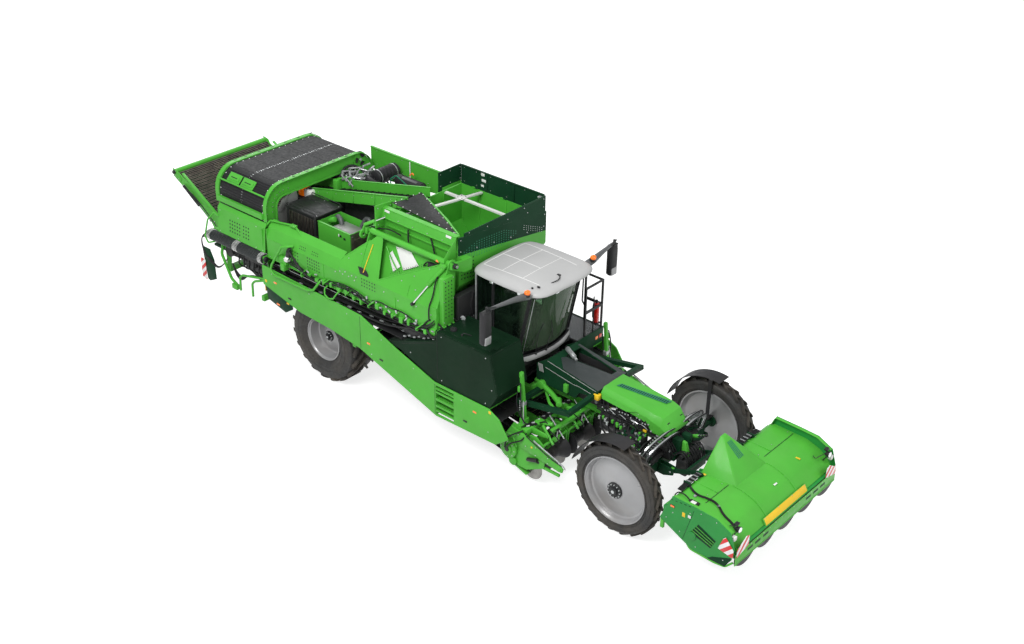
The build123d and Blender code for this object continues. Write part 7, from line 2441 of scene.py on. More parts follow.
PAD_MESH = 0.01
PAD_PRESSURE = 4.0
PAD_FRAMES = 20


@dataclass
class Pad:
    """A seat cushion: rounded, blown up like filled cloth, with a piped seam.

    Fields are its name, its box, the radius of its corners and how far it may swell.
    """

    name: str
    x: Span
    y: Span
    z: Span
    soft: float
    grow: float

    def build(self, stands_for: tuple[str, ...] = ()) -> None:
        """Builds the cushion.

        Args:
            stands_for: the nodes it replaces.
        """
        shape = Shape(CLOTH)
        shape.box(self.x, self.y, self.z, self.soft)
        made = shape.piece(self.name, "chassis", stands_for, 60)
        remesh = made.modifiers.new("even", "REMESH")
        remesh.mode = "VOXEL"
        remesh.voxel_size = PAD_MESH
        self._apply(made, remesh)
        self._blow(made)
        finer = made.modifiers.new("finer", "SUBSURF")
        finer.levels = finer.render_levels = 1
        self._apply(made, finer)
        for face in made.data.polygons:
            face.use_smooth = True
        self._piping()

    def _apply(self, made: bpy.types.Object, modifier: bpy.types.Modifier) -> None:
        """Turns one modifier into mesh."""
        bpy.context.view_layer.update()
        seen = made.evaluated_get(bpy.context.evaluated_depsgraph_get())
        mesh = bpy.data.meshes.new_from_object(seen)
        for slot, material in enumerate(made.data.materials):
            mesh.materials[slot] = material
        made.modifiers.remove(modifier)
        made.data = mesh

    def _blow(self, made: bpy.types.Object) -> None:
        """Blows the cushion up as cloth under pressure, and caps how far each point moves."""
        start = [vert.co.copy() for vert in made.data.vertices]
        cloth = made.modifiers.new("filled", "CLOTH")
        cloth.settings.use_pressure = True
        cloth.settings.uniform_pressure_force = PAD_PRESSURE
        cloth.settings.effector_weights.gravity = 0
        cloth.settings.quality = 5
        for moment in range(1, PAD_FRAMES + 1):
            bpy.context.scene.frame_set(moment)
        self._apply(made, cloth)
        bpy.context.scene.frame_set(1)
        for vert, old in zip(made.data.vertices, start):
            shift = vert.co - old
            if shift.length > self.grow:
                vert.co = old + shift.normalized() * self.grow

    def _piping(self) -> None:
        """Adds the seam: piping round the pad's middle."""
        seam = Shape(TRIM)
        g = self.grow * 0.75
        x0, x1, y0, y1 = self.x[0] - g, self.x[1] + g, self.y[0] - g, self.y[1] + g
        middle = (self.z[0] + self.z[1]) / 2
        c = self.soft * 1.1
        if self.z[1] - self.z[0] > self.x[1] - self.x[0]:
            z0, z1, x = self.z[0] - g, self.z[1] + g, (self.x[0] + self.x[1]) / 2
            route = [
                (x, y0 + c, z0), (x, y1 - c, z0), (x, y1, z0 + c), (x, y1, z1 - c), (x, y1 - c, z1), (x, y0 + c, z1),
                (x, y0, z1 - c), (x, y0, z0 + c), (x, y0 + c, z0),
            ]
        else:
            route = [
                (x0 + c, y0, middle), (x1 - c, y0, middle), (x1, y0 + c, middle), (x1, y1 - c, middle),
                (x1 - c, y1, middle), (x0 + c, y1, middle), (x0, y1 - c, middle), (x0, y0 + c, middle),
                (x0 + c, y0, middle),
            ]
        seam.tube(route, 0.005)
        seam.piece(f"{self.name}_piping", "chassis")


@dataclass
class FrontHood:
    """The front hood with its slotted strip, the hydraulics below it and the grey frame behind it."""

    half: float = 0.39

    def build(self) -> None:
        """Builds every group between the cab and the topper."""
        self._hood()
        self._under()
        self._saddle()
        self._lines()
        self._frame()

    def _hood(self) -> None:
        """Builds the folded hood: a lid with chamfered edges and a nose that reaches down."""
        hood = Shape(LIME)
        w = self.half
        rings = []
        for x, top, low, side in (
            (3.862, 1.99, 1.8, 0.1), (4.4, 1.951, 1.755, 0.1), (4.95, 1.905, 1.69, 0.1), (5.08, 1.885, 1.54, 0.12),
            (5.235, 1.855, 1.52, 0.15), (5.4, 1.64, 1.545, 0.06), (5.412, 1.6, 1.56, 0.02),
        ):
            v = w - max(0.0, (x - 5.1)) * 0.22
            rings.append([
                (x, -v, low), (x, -v, top - side), (x, -v + 0.085, top), (x, 0, top + 0.004), (x, v - 0.085, top),
                (x, v, top - side), (x, v, low),
            ])
        hood.loft(rings, 0.004)
        hood.sheet([(3.9, self.half, 1.9), (4.75, self.half, 1.84), (4.5, 0.5, 1.74), (3.92, 0.52, 1.72)], 0.008)
        hood.sheet([(4.75, -self.half, 1.84), (3.9, -self.half, 1.9), (3.92, -0.42, 1.8), (4.5, -0.42, 1.76)], 0.008)
        hood.use(JADE)
        corners = [(4.02, -0.115), (5.02, 0.115), (5.05, 0.255), (4.05, 0.005)]
        hood.sheet([(x, y, 2.004 - (x - 3.86) * 0.082) for x, y in corners], 0.004)
        hood.use(PINE)
        for i in range(22):
            x, y = 4.07 + i * 0.044, -0.085 + i * 0.0102
            z = 2.008 - (x - 3.86) * 0.082
            hood.box((x, x + 0.016), (y, y + 0.085), (z - 0.004, z + 0.003), 0.001)
        hood.use(ZINC).studs([
            (x, s * (self.half + 0.001), 1.86 - (x - 3.9) * 0.08) for x in (3.95, 4.35, 4.75) for s in (-1, 1)
        ], OUT_LEFT, 0.011, 0.006)
        hood.use(HOSE)
        for s in (-1, 1):
            hood.box((5.3, 5.32), (s * 0.2 - 0.04, s * 0.2 + 0.04), (1.7, 1.76), 0.006)
        hood.piece("front_hood_shell", "chassis", ("front_hood",), 16)

    def _under(self) -> None:
        """Fills the sides below the hood with a dark core, valves, hoses and pipes."""
        under = Shape(SATIN)
        under.box((3.87, 5.06), (-0.335, 0.335), (1.52, 1.82), 0.02)
        under.box((2.6, 3.88), (-0.4, 0.4), (1.56, 1.8), 0.02)
        for i in range(8):
            x = 3.98 + 0.145 * i
            under.box((x, x + 0.085), (-0.378, -0.33), (1.56 + 0.02 * (i % 3), 1.66 + 0.03 * (i % 2)), 0.008)
            under.box((x, x + 0.085), (0.33, 0.378), (1.56 + 0.02 * (i % 3), 1.68), 0.008)
        under.use(HOSE)
        for s in (-1, 1):
            for i in range(10):
                x = 3.92 + 0.11 * i
                drop = 1.42 + 0.05 * (i % 3)
                under.tube([
                    (x, s * 0.36, 1.76), (x + 0.03, s * 0.405, 1.68), (x + 0.1, s * 0.41, drop + 0.1),
                    (x + 0.2, s * 0.385, drop + 0.02), (x + 0.3, s * 0.345, drop + 0.05),
                ], 0.013 + 0.003 * (i % 2))
            for i in range(4):
                z = 1.52 + 0.045 * i
                under.tube([
                    (3.8, s * 0.4, z), (4.2, s * (0.41 - 0.005 * i), z - 0.03), (4.7, s * 0.4, z + 0.01),
                    (5.05, s * 0.37, z - 0.03), (5.3, s * 0.3, z - 0.1),
                ], 0.014)
        under.use(ZINC)
        for s in (-1, 1):
            for i in range(18):
                x, z = 3.9 + 0.067 * i, 1.54 + 0.2 * rng.random()
                under.rod((x, s * 0.375, z), (x + 0.045, s * 0.425, z + 0.03), 0.014, sides=8, soft=0.002)
            for i in range(4):
                x = 4.05 + 0.25 * i
                under.tube([(x, s * 0.4, 1.6), (x + 0.08, s * 0.43, 1.66), (x + 0.2, s * 0.42, 1.58)], 0.008, 6)
        under.use(CHROME).rod((4.1, -0.4, 1.66), (4.26, -0.4, 1.7), 0.03, sides=16, soft=0.004)
        under.rod((4.62, -0.405, 1.62), (4.78, -0.405, 1.6), 0.026, sides=16, soft=0.004)
        under.use(YELLOW).box((4.9, 4.98), (-0.425, -0.4), (1.5, 1.545))
        under.box((3.755, 3.885), (-0.5, -0.38), (1.75, 1.87), 0.022)
        under.use(CASTING).rod((3.8, -0.43, 1.66), (3.8, -0.43, 1.77), 0.042, sides=20, soft=0.006)
        under.use(SATIN)
        for s in (-1, 1):
            under.box((4.5, 5.0), (s * 0.36, s * 0.6), (1.12, 1.44), 0.03)
            under.box((3.9, 4.4), (s * 0.18, s * 0.44), (1.22, 1.5), 0.03)
            under.rod((4.0, s * 0.5, 1.3), (4.44, s * 0.5, 1.26), 0.07, sides=24, soft=0.012)
        under.use(HOSE)
        for s in (-1, 1):
            for i in range(6):
                x = 3.95 + 0.16 * i
                under.tube([
                    (x, s * 0.42, 1.5), (x + 0.05, s * 0.56, 1.42), (x + 0.16, s * 0.62, 1.28),
                    (x + 0.26, s * 0.56, 1.14), (x + 0.34, s * 0.4, 1.1),
                ], 0.016)
        for finish in (ZINC, PINE, LIME):
            under.use(finish)
            for i in range(14):
                x, z = 4.46 + 0.52 * rng.random(), 1.14 + 0.28 * rng.random()
                for s in (-1, 1):
                    under.rod((x, s * 0.59, z), (x + 0.03, s * 0.635, z + 0.02), 0.016, sides=8, soft=0.002)
            for i in range(9):
                x, y = 3.92 + 1.06 * rng.random(), 0.4 + 0.18 * rng.random()
                for s in (-1, 1):
                    under.box((x, x + 0.045), (s * y, s * (y + 0.04)), (1.4, 1.475), 0.006)
        under.piece("under_hood_hydraulics")

    def _saddle(self) -> None:
        """Covers the axle saddle with dark castings, valves and short lines."""
        saddle = Shape(SATIN)
        saddle.box((4.955, 5.505), (-0.35, 0.35), (1.065, 1.275), 0.025)
        saddle.box((5.02, 5.44), (-0.385, 0.385), (1.24, 1.36), 0.03)
        saddle.box((4.92, 5.3), (-0.22, 0.22), (1.3, 1.53), 0.03)
        for s in (-1, 1):
            saddle.rod((5.2, s * 0.37, 1.12), (5.2, s * 0.58, 1.12), 0.075, sides=24, soft=0.01)
            saddle.rod((5.06, s * 0.56, 1.13), (5.36, s * 0.56, 1.13), 0.045, sides=20, soft=0.008)
        saddle.use(PINE).box((5.5, 5.56), (-0.3, 0.3), (1.06, 1.22), 0.01)
        saddle.box((5.42, 5.6), (-0.2, -0.06), (1.18, 1.48), 0.015)
        saddle.box((5.42, 5.6), (0.1, 0.22), (1.18, 1.44), 0.015)
        saddle.use(LIME).plate([(5.17, 1.56), (5.3, 1.56), (5.27, 1.34), (5.2, 1.3)], Plane.XZ, (-0.335, -0.3), 0.006)
        saddle.plate([(5.17, 1.56), (5.3, 1.56), (5.27, 1.34), (5.2, 1.3)], Plane.XZ, (0.3, 0.335), 0.006)
        saddle.loft([
            [(5.6, -0.13, 1.46), (5.68, -0.13, 1.44), (5.68, -0.07, 1.44), (5.6, -0.07, 1.46)],
            [(5.61, -0.15, 1.2), (5.75, -0.15, 1.2), (5.75, -0.05, 1.2), (5.61, -0.05, 1.2)],
            [(5.66, -0.12, 0.99), (5.74, -0.12, 0.99), (5.74, -0.08, 0.99), (5.66, -0.08, 0.99)],
        ], 0.008)
        saddle.rod((5.46, 0.3, 1.28), (5.66, 0.3, 1.385), 0.036, sides=18, soft=0.005)
        saddle.use(CHROME).rod((5.66, 0.3, 1.385), (5.83, 0.3, 1.47), 0.019, sides=14)
        saddle.use(SATIN)
        saddle.ball((5.84, 0.3, 1.475), 0.034)
        saddle.use(ZINC)
        for i in range(26):
            x, y = 4.98 + 0.56 * rng.random(), -0.36 + 0.72 * rng.random()
            saddle.rod((x, y, 1.26), (x + 0.02, y + 0.01, 1.31 + 0.05 * rng.random()), 0.014, sides=8, soft=0.002)
        saddle.use(HOSE)
        for i in range(12):
            y = -0.33 + 0.06 * i
            saddle.tube([
                (5.16 + 0.02 * (i % 3), y * 0.8, 1.5), (5.38, y, 1.46 - 0.02 * (i % 4)), (5.52, y * 1.05, 1.3),
                (5.56, y * 0.9, 1.14), (5.46, y * 0.8, 1.02),
            ], 0.013)
        saddle.use(SATIN).box((5.6, 5.84), (-0.3, -0.02), (0.84, 1.16), 0.025)
        saddle.box((5.56, 5.8), (0.04, 0.32), (0.8, 1.1), 0.025)
        saddle.rod((5.7, -0.3, 1.22), (5.7, 0.3, 1.22), 0.045, sides=20, soft=0.01)
        saddle.use(PINE).box((5.84, 5.9), (-0.26, 0.28), (0.88, 1.02), 0.012)
        saddle.use(HOSE)
        for i in range(9):
            y = -0.3 + 0.075 * i
            saddle.tube([
                (5.55, y, 1.2), (5.66, y + 0.02, 1.33 - 0.02 * (i % 3)), (5.8, y * 0.9, 1.25), (5.88, y * 0.9, 1.08),
                (5.82, y, 0.92),
            ], 0.014)
        saddle.piece("axle_saddle_hydraulics")

    def _lines(self) -> None:
        """Lays the bundles of hoses and pipes from the nose out to both hubs."""
        lines = Shape(HOSE)
        for _, s in SIDES:
            for i in range(7):
                up, x = 0.026 * (i % 4), 5.3 + 0.035 * i
                lines.use((HOSE, CHROME, ZINC)[i % 3]).tube([
                    (x + 0.03, s * 0.16, 1.6 + up), (x + 0.04, s * 0.34, 1.64 + up), (x + 0.02, s * 0.56, 1.6 + up),
                    (x - 0.02, s * 0.78, 1.53 + up), (x - 0.06, s * 0.92, 1.42 + up), (x - 0.1, s * 0.96, 1.26 + up),
                    (x - 0.14, s * 0.92, 1.13),
                ], 0.0125)
            lines.use(HOSE)
            for i in range(4):
                x = 5.06 + 0.07 * i
                lines.tube([
                    (x, s * 0.36, 1.3), (x + 0.02, s * 0.52, 1.42 - 0.03 * i), (x, s * 0.74, 1.3 - 0.03 * i),
                    (x + 0.02, s * 0.92, 1.12),
                ], 0.016)
            lines.use(SATIN).rod((5.3, s * 0.3, 1.17), (5.34, s * 0.74, 1.14), 0.048, sides=20, soft=0.006)
            lines.use(CHROME).rod((5.34, s * 0.74, 1.14), (5.35, s * 0.94, 1.13), 0.022, sides=14)
            lines.use(PINE).box((5.1, 5.3), (s * 0.6, s * 0.86), (1.05, 1.18), 0.02)
            lines.use(ZINC)
            for i in range(8):
                y = s * (0.45 + 0.06 * i)
                lines.box((5.22, 5.4), (y, y + 0.012), (1.55 - 0.02 * i, 1.58 - 0.02 * i), 0.003)
        lines.piece("front_axle_lines")

    def _frame(self) -> None:
        """Adds the grey top, seams, brackets, arms and the galvanised cylinder of the hood frame."""
        frame = Shape(SLATE)

        def top(x: float, y: float) -> Point:
            """Puts a point just above the frame's top."""
            return (x, y, 2.133 - (x - 2.58) * 0.1587)

        frame.sheet([
            top(x, y)
            for x, y in ((2.98, -0.445), (3.835, -0.445), (3.835, 0.165), (3.68, 0.17), (2.76, -0.105), (2.72, -0.2))
        ], 0.005)
        frame.sheet([top(x, y) for x, y in ((3.685, 0.165), (3.835, 0.16), (3.835, 0.445), (3.685, 0.345))], 0.005)
        frame.sheet([top(x, y) for x, y in ((2.66, 0.39), (3.685, 0.34), (3.835, 0.445), (2.66, 0.445))], 0.005)
        frame.use(SATIN).box((2.62, 3.76), (-0.42, 0.42), (1.66, 1.7), 0.006)
        frame.box((2.7, 3.66), (0.385, 0.4), (1.7, 1.96))
        frame.use(LIME).plate(
            [(3.05, 1.71), (3.62, 1.71), (3.6, 1.83), (3.3, 1.9), (3.12, 1.86)], Plane.XZ, (0.1, 0.15), 0.006
        )
        frame.plate([(3.2, 1.71), (3.6, 1.71), (3.55, 1.84), (3.28, 1.84)], Plane.XZ, (0.26, 0.3), 0.006)
        for s in (-1, 1):
            a = [(2.3, s * 0.42, 1.545), (2.53, s * 0.5, 1.55), (2.8, s * 0.56, 1.5), (3.08, s * 0.68, 1.47)]
            b = [(2.62, s * 0.5, 1.42), (2.9, s * 0.74, 1.41), (3.2, s * 0.86, 1.375)]
            frame.tube(a, 0.052, 10, 0.02)
            frame.tube(b, 0.03, 10, 0.02)
            frame.rod((2.5, s * 0.44, 1.55), (2.5, s * 0.56, 1.55), 0.09, sides=28, soft=0.01)
            frame.rod((3.02, s * 0.6, 1.47), (3.14, s * 0.74, 1.46), 0.06, sides=20, soft=0.01)
            frame.box((3.05, 3.15), (s * 0.46, s * 0.52), (1.62, 1.8), 0.01)
        frame.use(ROOF)
        for s in (-1, 1):
            for route in ([(2.55, 1.945), (3.28, 1.83), (3.34, 1.865), (3.7, 1.815)], [(2.6, 2.105), (3.8, 1.915)]):
                frame.tube([(x, s * 0.4625, z) for x, z in route], 0.0045, 6)
            frame.rod((3.22, s * 0.463, 2.005), (3.28, s * 0.463, 1.997), 0.008, sides=6)
        for i in range(4):
            frame.rod((2.42 + 0.03 * i, -0.52, 2.02), (2.44 + 0.03 * i, -0.5, 1.84), 0.008, sides=8)
        frame.use(SATIN).studs([
            (x, s * 0.461, z)
            for s in (-1, 1)
            for x, z in ((2.66, 1.72), (3.1, 1.66), (3.5, 1.78), (3.76, 1.72), (3.76, 1.88))
        ], OUT_LEFT, 0.012, 0.006)
        frame.use(ZINC).rod((2.66, 0.06, 2.185), (2.92, -0.035, 2.13), 0.05, sides=24, soft=0.006)
        frame.rod((2.92, -0.035, 2.13), (3.0, -0.065, 2.115), 0.03, sides=16, soft=0.004)
        frame.use(HOSE)
        frame.ball((2.63, 0.07, 2.19), 0.034)
        for i in range(9):
            y = -0.36 + 0.09 * i
            frame.tube([(2.36, y, 1.95), (2.48, y + 0.03, 1.88), (2.62, y - 0.02, 1.76), (2.9, y, 1.72)], 0.014)
        frame.piece("hood_frame_trim")


@dataclass
class DiggingUnit:
    """The row units, coulters, arms, springs and lines of the digging unit, and its masts."""


    def build(self) -> None:
        """Builds every group on the digging unit."""
        self._beams()
        self._rows()
        self._sides()
        self._web()
        self._masts()

    def _beams(self) -> None:
        """Adds the cross beams with their brackets and the lines along them."""
        beams = Shape(LIME)
        beams.box((2.885, 3.015), (-1.535, 1.535), (1.085, 1.205), 0.012)
        beams.box((3.3, 3.38), (-1.2, 1.2), (1.13, 1.2), 0.01)
        for y in (-1.36, -0.98, -0.6, -0.2, 0.2, 0.6, 0.98, 1.36):
            beams.plate([
                (2.86, 1.2), (3.1, 1.2), (3.36, 1.19), (3.4, 1.12), (3.06, 1.06), (2.86, 1.04)
            ], Plane.XZ, (y - 0.014, y + 0.014), 0.004)
        for y in (-1.15, -0.42, 0.42, 1.15):
            beams.box((2.93, 3.07), (y - 0.09, y + 0.09), (1.195, 1.245), 0.012)
            beams.rod((3.07, y, 1.22), (3.3, y + 0.05, 1.26), 0.04, sides=16, soft=0.006)
        beams.use(HOSE)
        for i in range(5):
            y0 = -1.5 + 0.05 * i
            beams.tube([
                (2.9 + 0.03 * i, y0, 1.22), (2.94 + 0.02 * i, -0.9, 1.235), (2.9 + 0.03 * i, -0.2, 1.225),
                (2.93, 0.7, 1.235), (2.92 + 0.02 * i, 1.45, 1.22),
            ], 0.013)
        for y in (-1.25, -0.85, -0.45, -0.05, 0.35, 0.75, 1.15):
            crest = 1.19 if 0.4 < abs(y) < 1.0 else 1.32
            beams.tube(
                [(2.98, y, 1.17), (3.12, y + 0.07, crest), (3.24, y + 0.12, crest - 0.08), (3.34, y + 0.1, 1.1)], 0.012
            )
        beams.use(ZINC)
        for i in range(20):
            y = -1.45 + 0.152 * i
            beams.rod((2.93, y, 1.225), (2.98, y + 0.04, 1.245), 0.016, sides=8, soft=0.002)
        beams.piece("digging_beams", "digging_unit")

    def _rows(self) -> None:
        """Adds each row's fork, press arms, spring, scraper and depth spindle."""
        rows = Shape(LIME)
        for y in (-1.125, -0.375, 0.375, 1.125):
            for e in (-0.345, 0.345):
                c = y + e
                if abs(c) > 1.5:
                    c = 1.5 * (1 if c > 0 else -1)
                rows.plate([
                    (3.05, 1.1), (3.2, 1.12), (3.4, 0.98), (3.38, 0.6), (3.28, 0.6), (3.27, 0.88), (3.05, 1.0)
                ], Plane.XZ, (c - 0.013, c + 0.013), 0.004)
            rows.rod((3.38, y - 0.34, 0.99), (3.38, y + 0.34, 0.99), 0.024, sides=16)
            rows.rod((3.12, y - 0.06, 1.2), (3.5, y - 0.2, 1.0), 0.03, sides=14, soft=0.006)
            rows.box((3.36, 3.44), (y - 0.07, y + 0.07), (0.95, 1.03), 0.014)
            rows.use(ZINC)
            near = 0.16 if y < 0 else 0.09
            rows.rod((3.1, y + near, 1.32), (3.52, y + near - 0.06, 1.0), 0.014, sides=12)
            rows.tube(
                [(
                    3.16 + 0.009 * k, y + near - 0.008 - 0.0013 * k + 0.026 * cos(k * 1.6),
                    1.275 - 0.0068 * k + 0.026 * sin(k * 1.6),
                ) for k in range(26)],
                0.0065, 6,
            )
            rows.rod((3.42, y, 1.03), (3.44, y, 1.22), 0.012, sides=12)
            rows.use(HOSE).box((3.425, 3.46), (y - 0.035, y + 0.035), (1.2, 1.235), 0.008)
            rows.tube(
                [(3.3, y - 0.1, 1.2), (3.45, y - 0.18, 1.24), (3.58, y - 0.12, 1.1), (3.52, y - 0.05, 0.98)], 0.011
            )
            rows.use(LIME)
        rows.use(TOOL)
        for y in (-1.46, -0.75, 0.0, 0.75, 1.46):
            rows.lathe(
                [(-0.004, 0.02), (-0.003, 0.25), (0.0, 0.262), (0.003, 0.25), (0.004, 0.02)], (3.1, y, 0.365), 1, 48
            )
        rows.use(SATIN)
        for y in (-1.46, -0.75, 0.0, 0.75, 1.46):
            rows.rod((3.1, y - 0.035, 0.365), (3.1, y + 0.035, 0.365), 0.06, sides=24, soft=0.01)
        rows.use(LIME)
        for y in (-1.46, -0.75, 0.0, 0.75, 1.46):
            rows.rod((3.1, y + 0.03, 0.37), (2.96, y + 0.03, 1.1), 0.024, sides=10)
        rows.piece("row_units", "digging_unit")

    def _sides(self) -> None:
        """Adds the long side arms, the drive covers and the outer lines on both side plates."""
        flank = Shape(LIME)
        for _, s in SIDES:
            flank.use(LIME).plate([
                (2.7, 1.2), (2.98, 1.14), (3.88, 0.84), (3.97, 0.78), (3.95, 0.7), (3.86, 0.69), (2.99, 0.8),
                (2.74, 0.86),
            ], Plane.XZ, (s * 1.5825 - 0.0175, s * 1.5825 + 0.0175), 0.008)
            flank.box((2.98, 3.9), (s * 1.545, s * 1.566), (0.74, 0.78), 0.006)
            flank.rod((2.62, s * 1.56, 0.66), (2.62, s * 1.625, 0.66), 0.205, sides=40, soft=0.014)
            flank.rod((2.62, s * 1.62, 0.66), (2.62, s * 1.65, 0.66), 0.105, sides=32, soft=0.01)
            flank.rod((2.72, s * 1.56, 0.4), (2.72, s * 1.6, 0.4), 0.095, sides=32, soft=0.01)
            flank.rod((3.86, s * 1.54, 0.76), (3.86, s * 1.61, 0.76), 0.06, sides=24, soft=0.008)
            flank.box((3.3, 3.84), (s * 1.5, s * 1.545), (0.52, 0.58), 0.01)
            flank.tube([
                (2.48, s * 1.61, 0.92), (2.56, s * 1.63, 1.02), (2.7, s * 1.63, 1.04), (2.8, s * 1.63, 0.96),
                (2.84, s * 1.62, 0.8),
            ], 0.015, 10)
            flank.use(ZINC).tube(
                [(3.22, s * 1.575, 1.09), (3.6, s * 1.59, 0.98), (3.98, s * 1.58, 0.86), (3.99, s * 1.56, 0.78)], 0.014
            )
            flank.studs([
                (2.62 + 0.165 * cos(k * tau / 8), s * 1.626, 0.66 + 0.165 * sin(k * tau / 8)) for k in range(8)
            ], (0, s, 0), 0.013)
            flank.studs([
                (x, s * 1.601, z)
                for x, z in ((2.86, 1.08), (3.05, 0.9), (3.3, 0.98), (3.3, 0.8), (3.6, 0.88), (3.6, 0.76))
            ], (0, s, 0), 0.013)
            flank.use(SATIN).rod((2.62, s * 1.648, 0.66), (2.62, s * 1.668, 0.66), 0.05, sides=24, soft=0.006)
            flank.rod((3.1, s * 1.6, 0.62), (3.34, s * 1.6, 0.7), 0.04, sides=18, soft=0.006)
            flank.use(HOSE).tube([
                (2.62, s * 1.67, 0.7), (2.72, s * 1.69, 0.86), (2.86, s * 1.66, 0.94), (3.0, s * 1.62, 1.02),
                (3.02, s * 1.55, 1.16),
            ], 0.015)
            flank.tube(
                [(2.58, s * 1.67, 0.7), (2.62, s * 1.7, 0.94), (2.8, s * 1.67, 1.1), (2.96, s * 1.58, 1.2)], 0.015
            )
            flank.tube(
                [(3.06, s * 1.61, 1.14), (3.4, s * 1.62, 1.02), (3.74, s * 1.62, 0.9), (3.9, s * 1.58, 0.84)], 0.011
            )
            flank.use(YELLOW).box((3.18, 3.22), (s * 1.6, s * 1.606), (0.92, 0.96), 0.002)
        flank.piece("digging_side_arms", "digging_unit")

    def _web(self) -> None:
        """Adds the return run, the drip pan and the side belts of the digging web."""
        web = Shape(SATIN)
        start, end = Vector((2.46, 0, 0.4)), Vector((-0.6, 0, 0.916))
        web.sheet(
            [(start.x, -0.55, start.z), (start.x, 0.55, start.z), (end.x, 0.55, end.z), (end.x, -0.55, end.z)], 0.01
        )
        web.box((2.48, 2.86), (-1.5, 1.5), (0.335, 0.352))
        web.use(BELT)
        for y in (-0.54, 0.0, 0.54):
            a, b = Vector((2.44, y, 0.7)), Vector((-0.86, y, 1.235))
            web.sheet([(a.x, y - 0.03, a.z), (a.x, y + 0.03, a.z), (b.x, y + 0.03, b.z), (b.x, y - 0.03, b.z)], 0.012)
        web.use(RODS)
        for i in range(46):
            share = i / 45
            spot = start.lerp(end, share) + Vector((0, 0, 0.05))
            web.rod((spot.x, -0.54, spot.z), (spot.x, 0.54, spot.z), 0.008, sides=6)
        web.use(SATIN)
        for _, s in SIDES:
            web.sheet(
                [(2.46, s * 1.45, 0.36), (2.46, s * 0.62, 0.36), (1.1, s * 0.62, 0.6), (1.4, s * 1.4, 0.52)], 0.01
            )
            for i in range(3):
                y = s * (0.72 + 0.24 * i)
                web.rod((2.52, y, 0.56), (1.7, y, 0.66), 0.022, sides=10)
        web.piece("digging_web_return", "digging_unit")

    def _masts(self) -> None:
        """Adds couplings, hoses and end fittings to the two masts."""
        masts = Shape(ZINC)
        for _, s in SIDES:
            at = sided(s)
            masts.use(ZINC).box((2.66, 2.75), (s * 1.23, s * 1.35), (1.52, 1.62), 0.012)
            masts.rod(at(2.74, 1.33, 1.66), at(2.82, 1.4, 1.02), 0.012, sides=10)
            for k in range(5):
                masts.rod(at(2.7, 1.34, 1.46 + 0.05 * k), at(2.7, 1.39, 1.47 + 0.05 * k), 0.015, sides=8, soft=0.002)
            masts.use(LIME).box((2.615, 2.685), (s * 1.25, s * 1.33), (2.13, 2.235), 0.014)
            masts.box((2.68, 2.8), (s * 1.21, s * 1.37), (1.12, 1.26), 0.014)
            masts.box((2.64, 2.7), (s * 1.33, s * 1.4), (1.86, 1.98), 0.012)
            masts.use(HOSE).tube([
                at(2.68, 1.36, 2.05), at(2.74, 1.4, 1.8), at(2.72, 1.38, 1.5), at(2.8, 1.42, 1.24), at(2.92, 1.38, 1.22)
            ], 0.013)
            masts.tube([at(2.6, 1.28, 1.96), at(2.56, 1.34, 1.7), at(2.62, 1.36, 1.4), at(2.78, 1.36, 1.22)], 0.011)
        masts.piece("mast_fittings", "digging_unit")


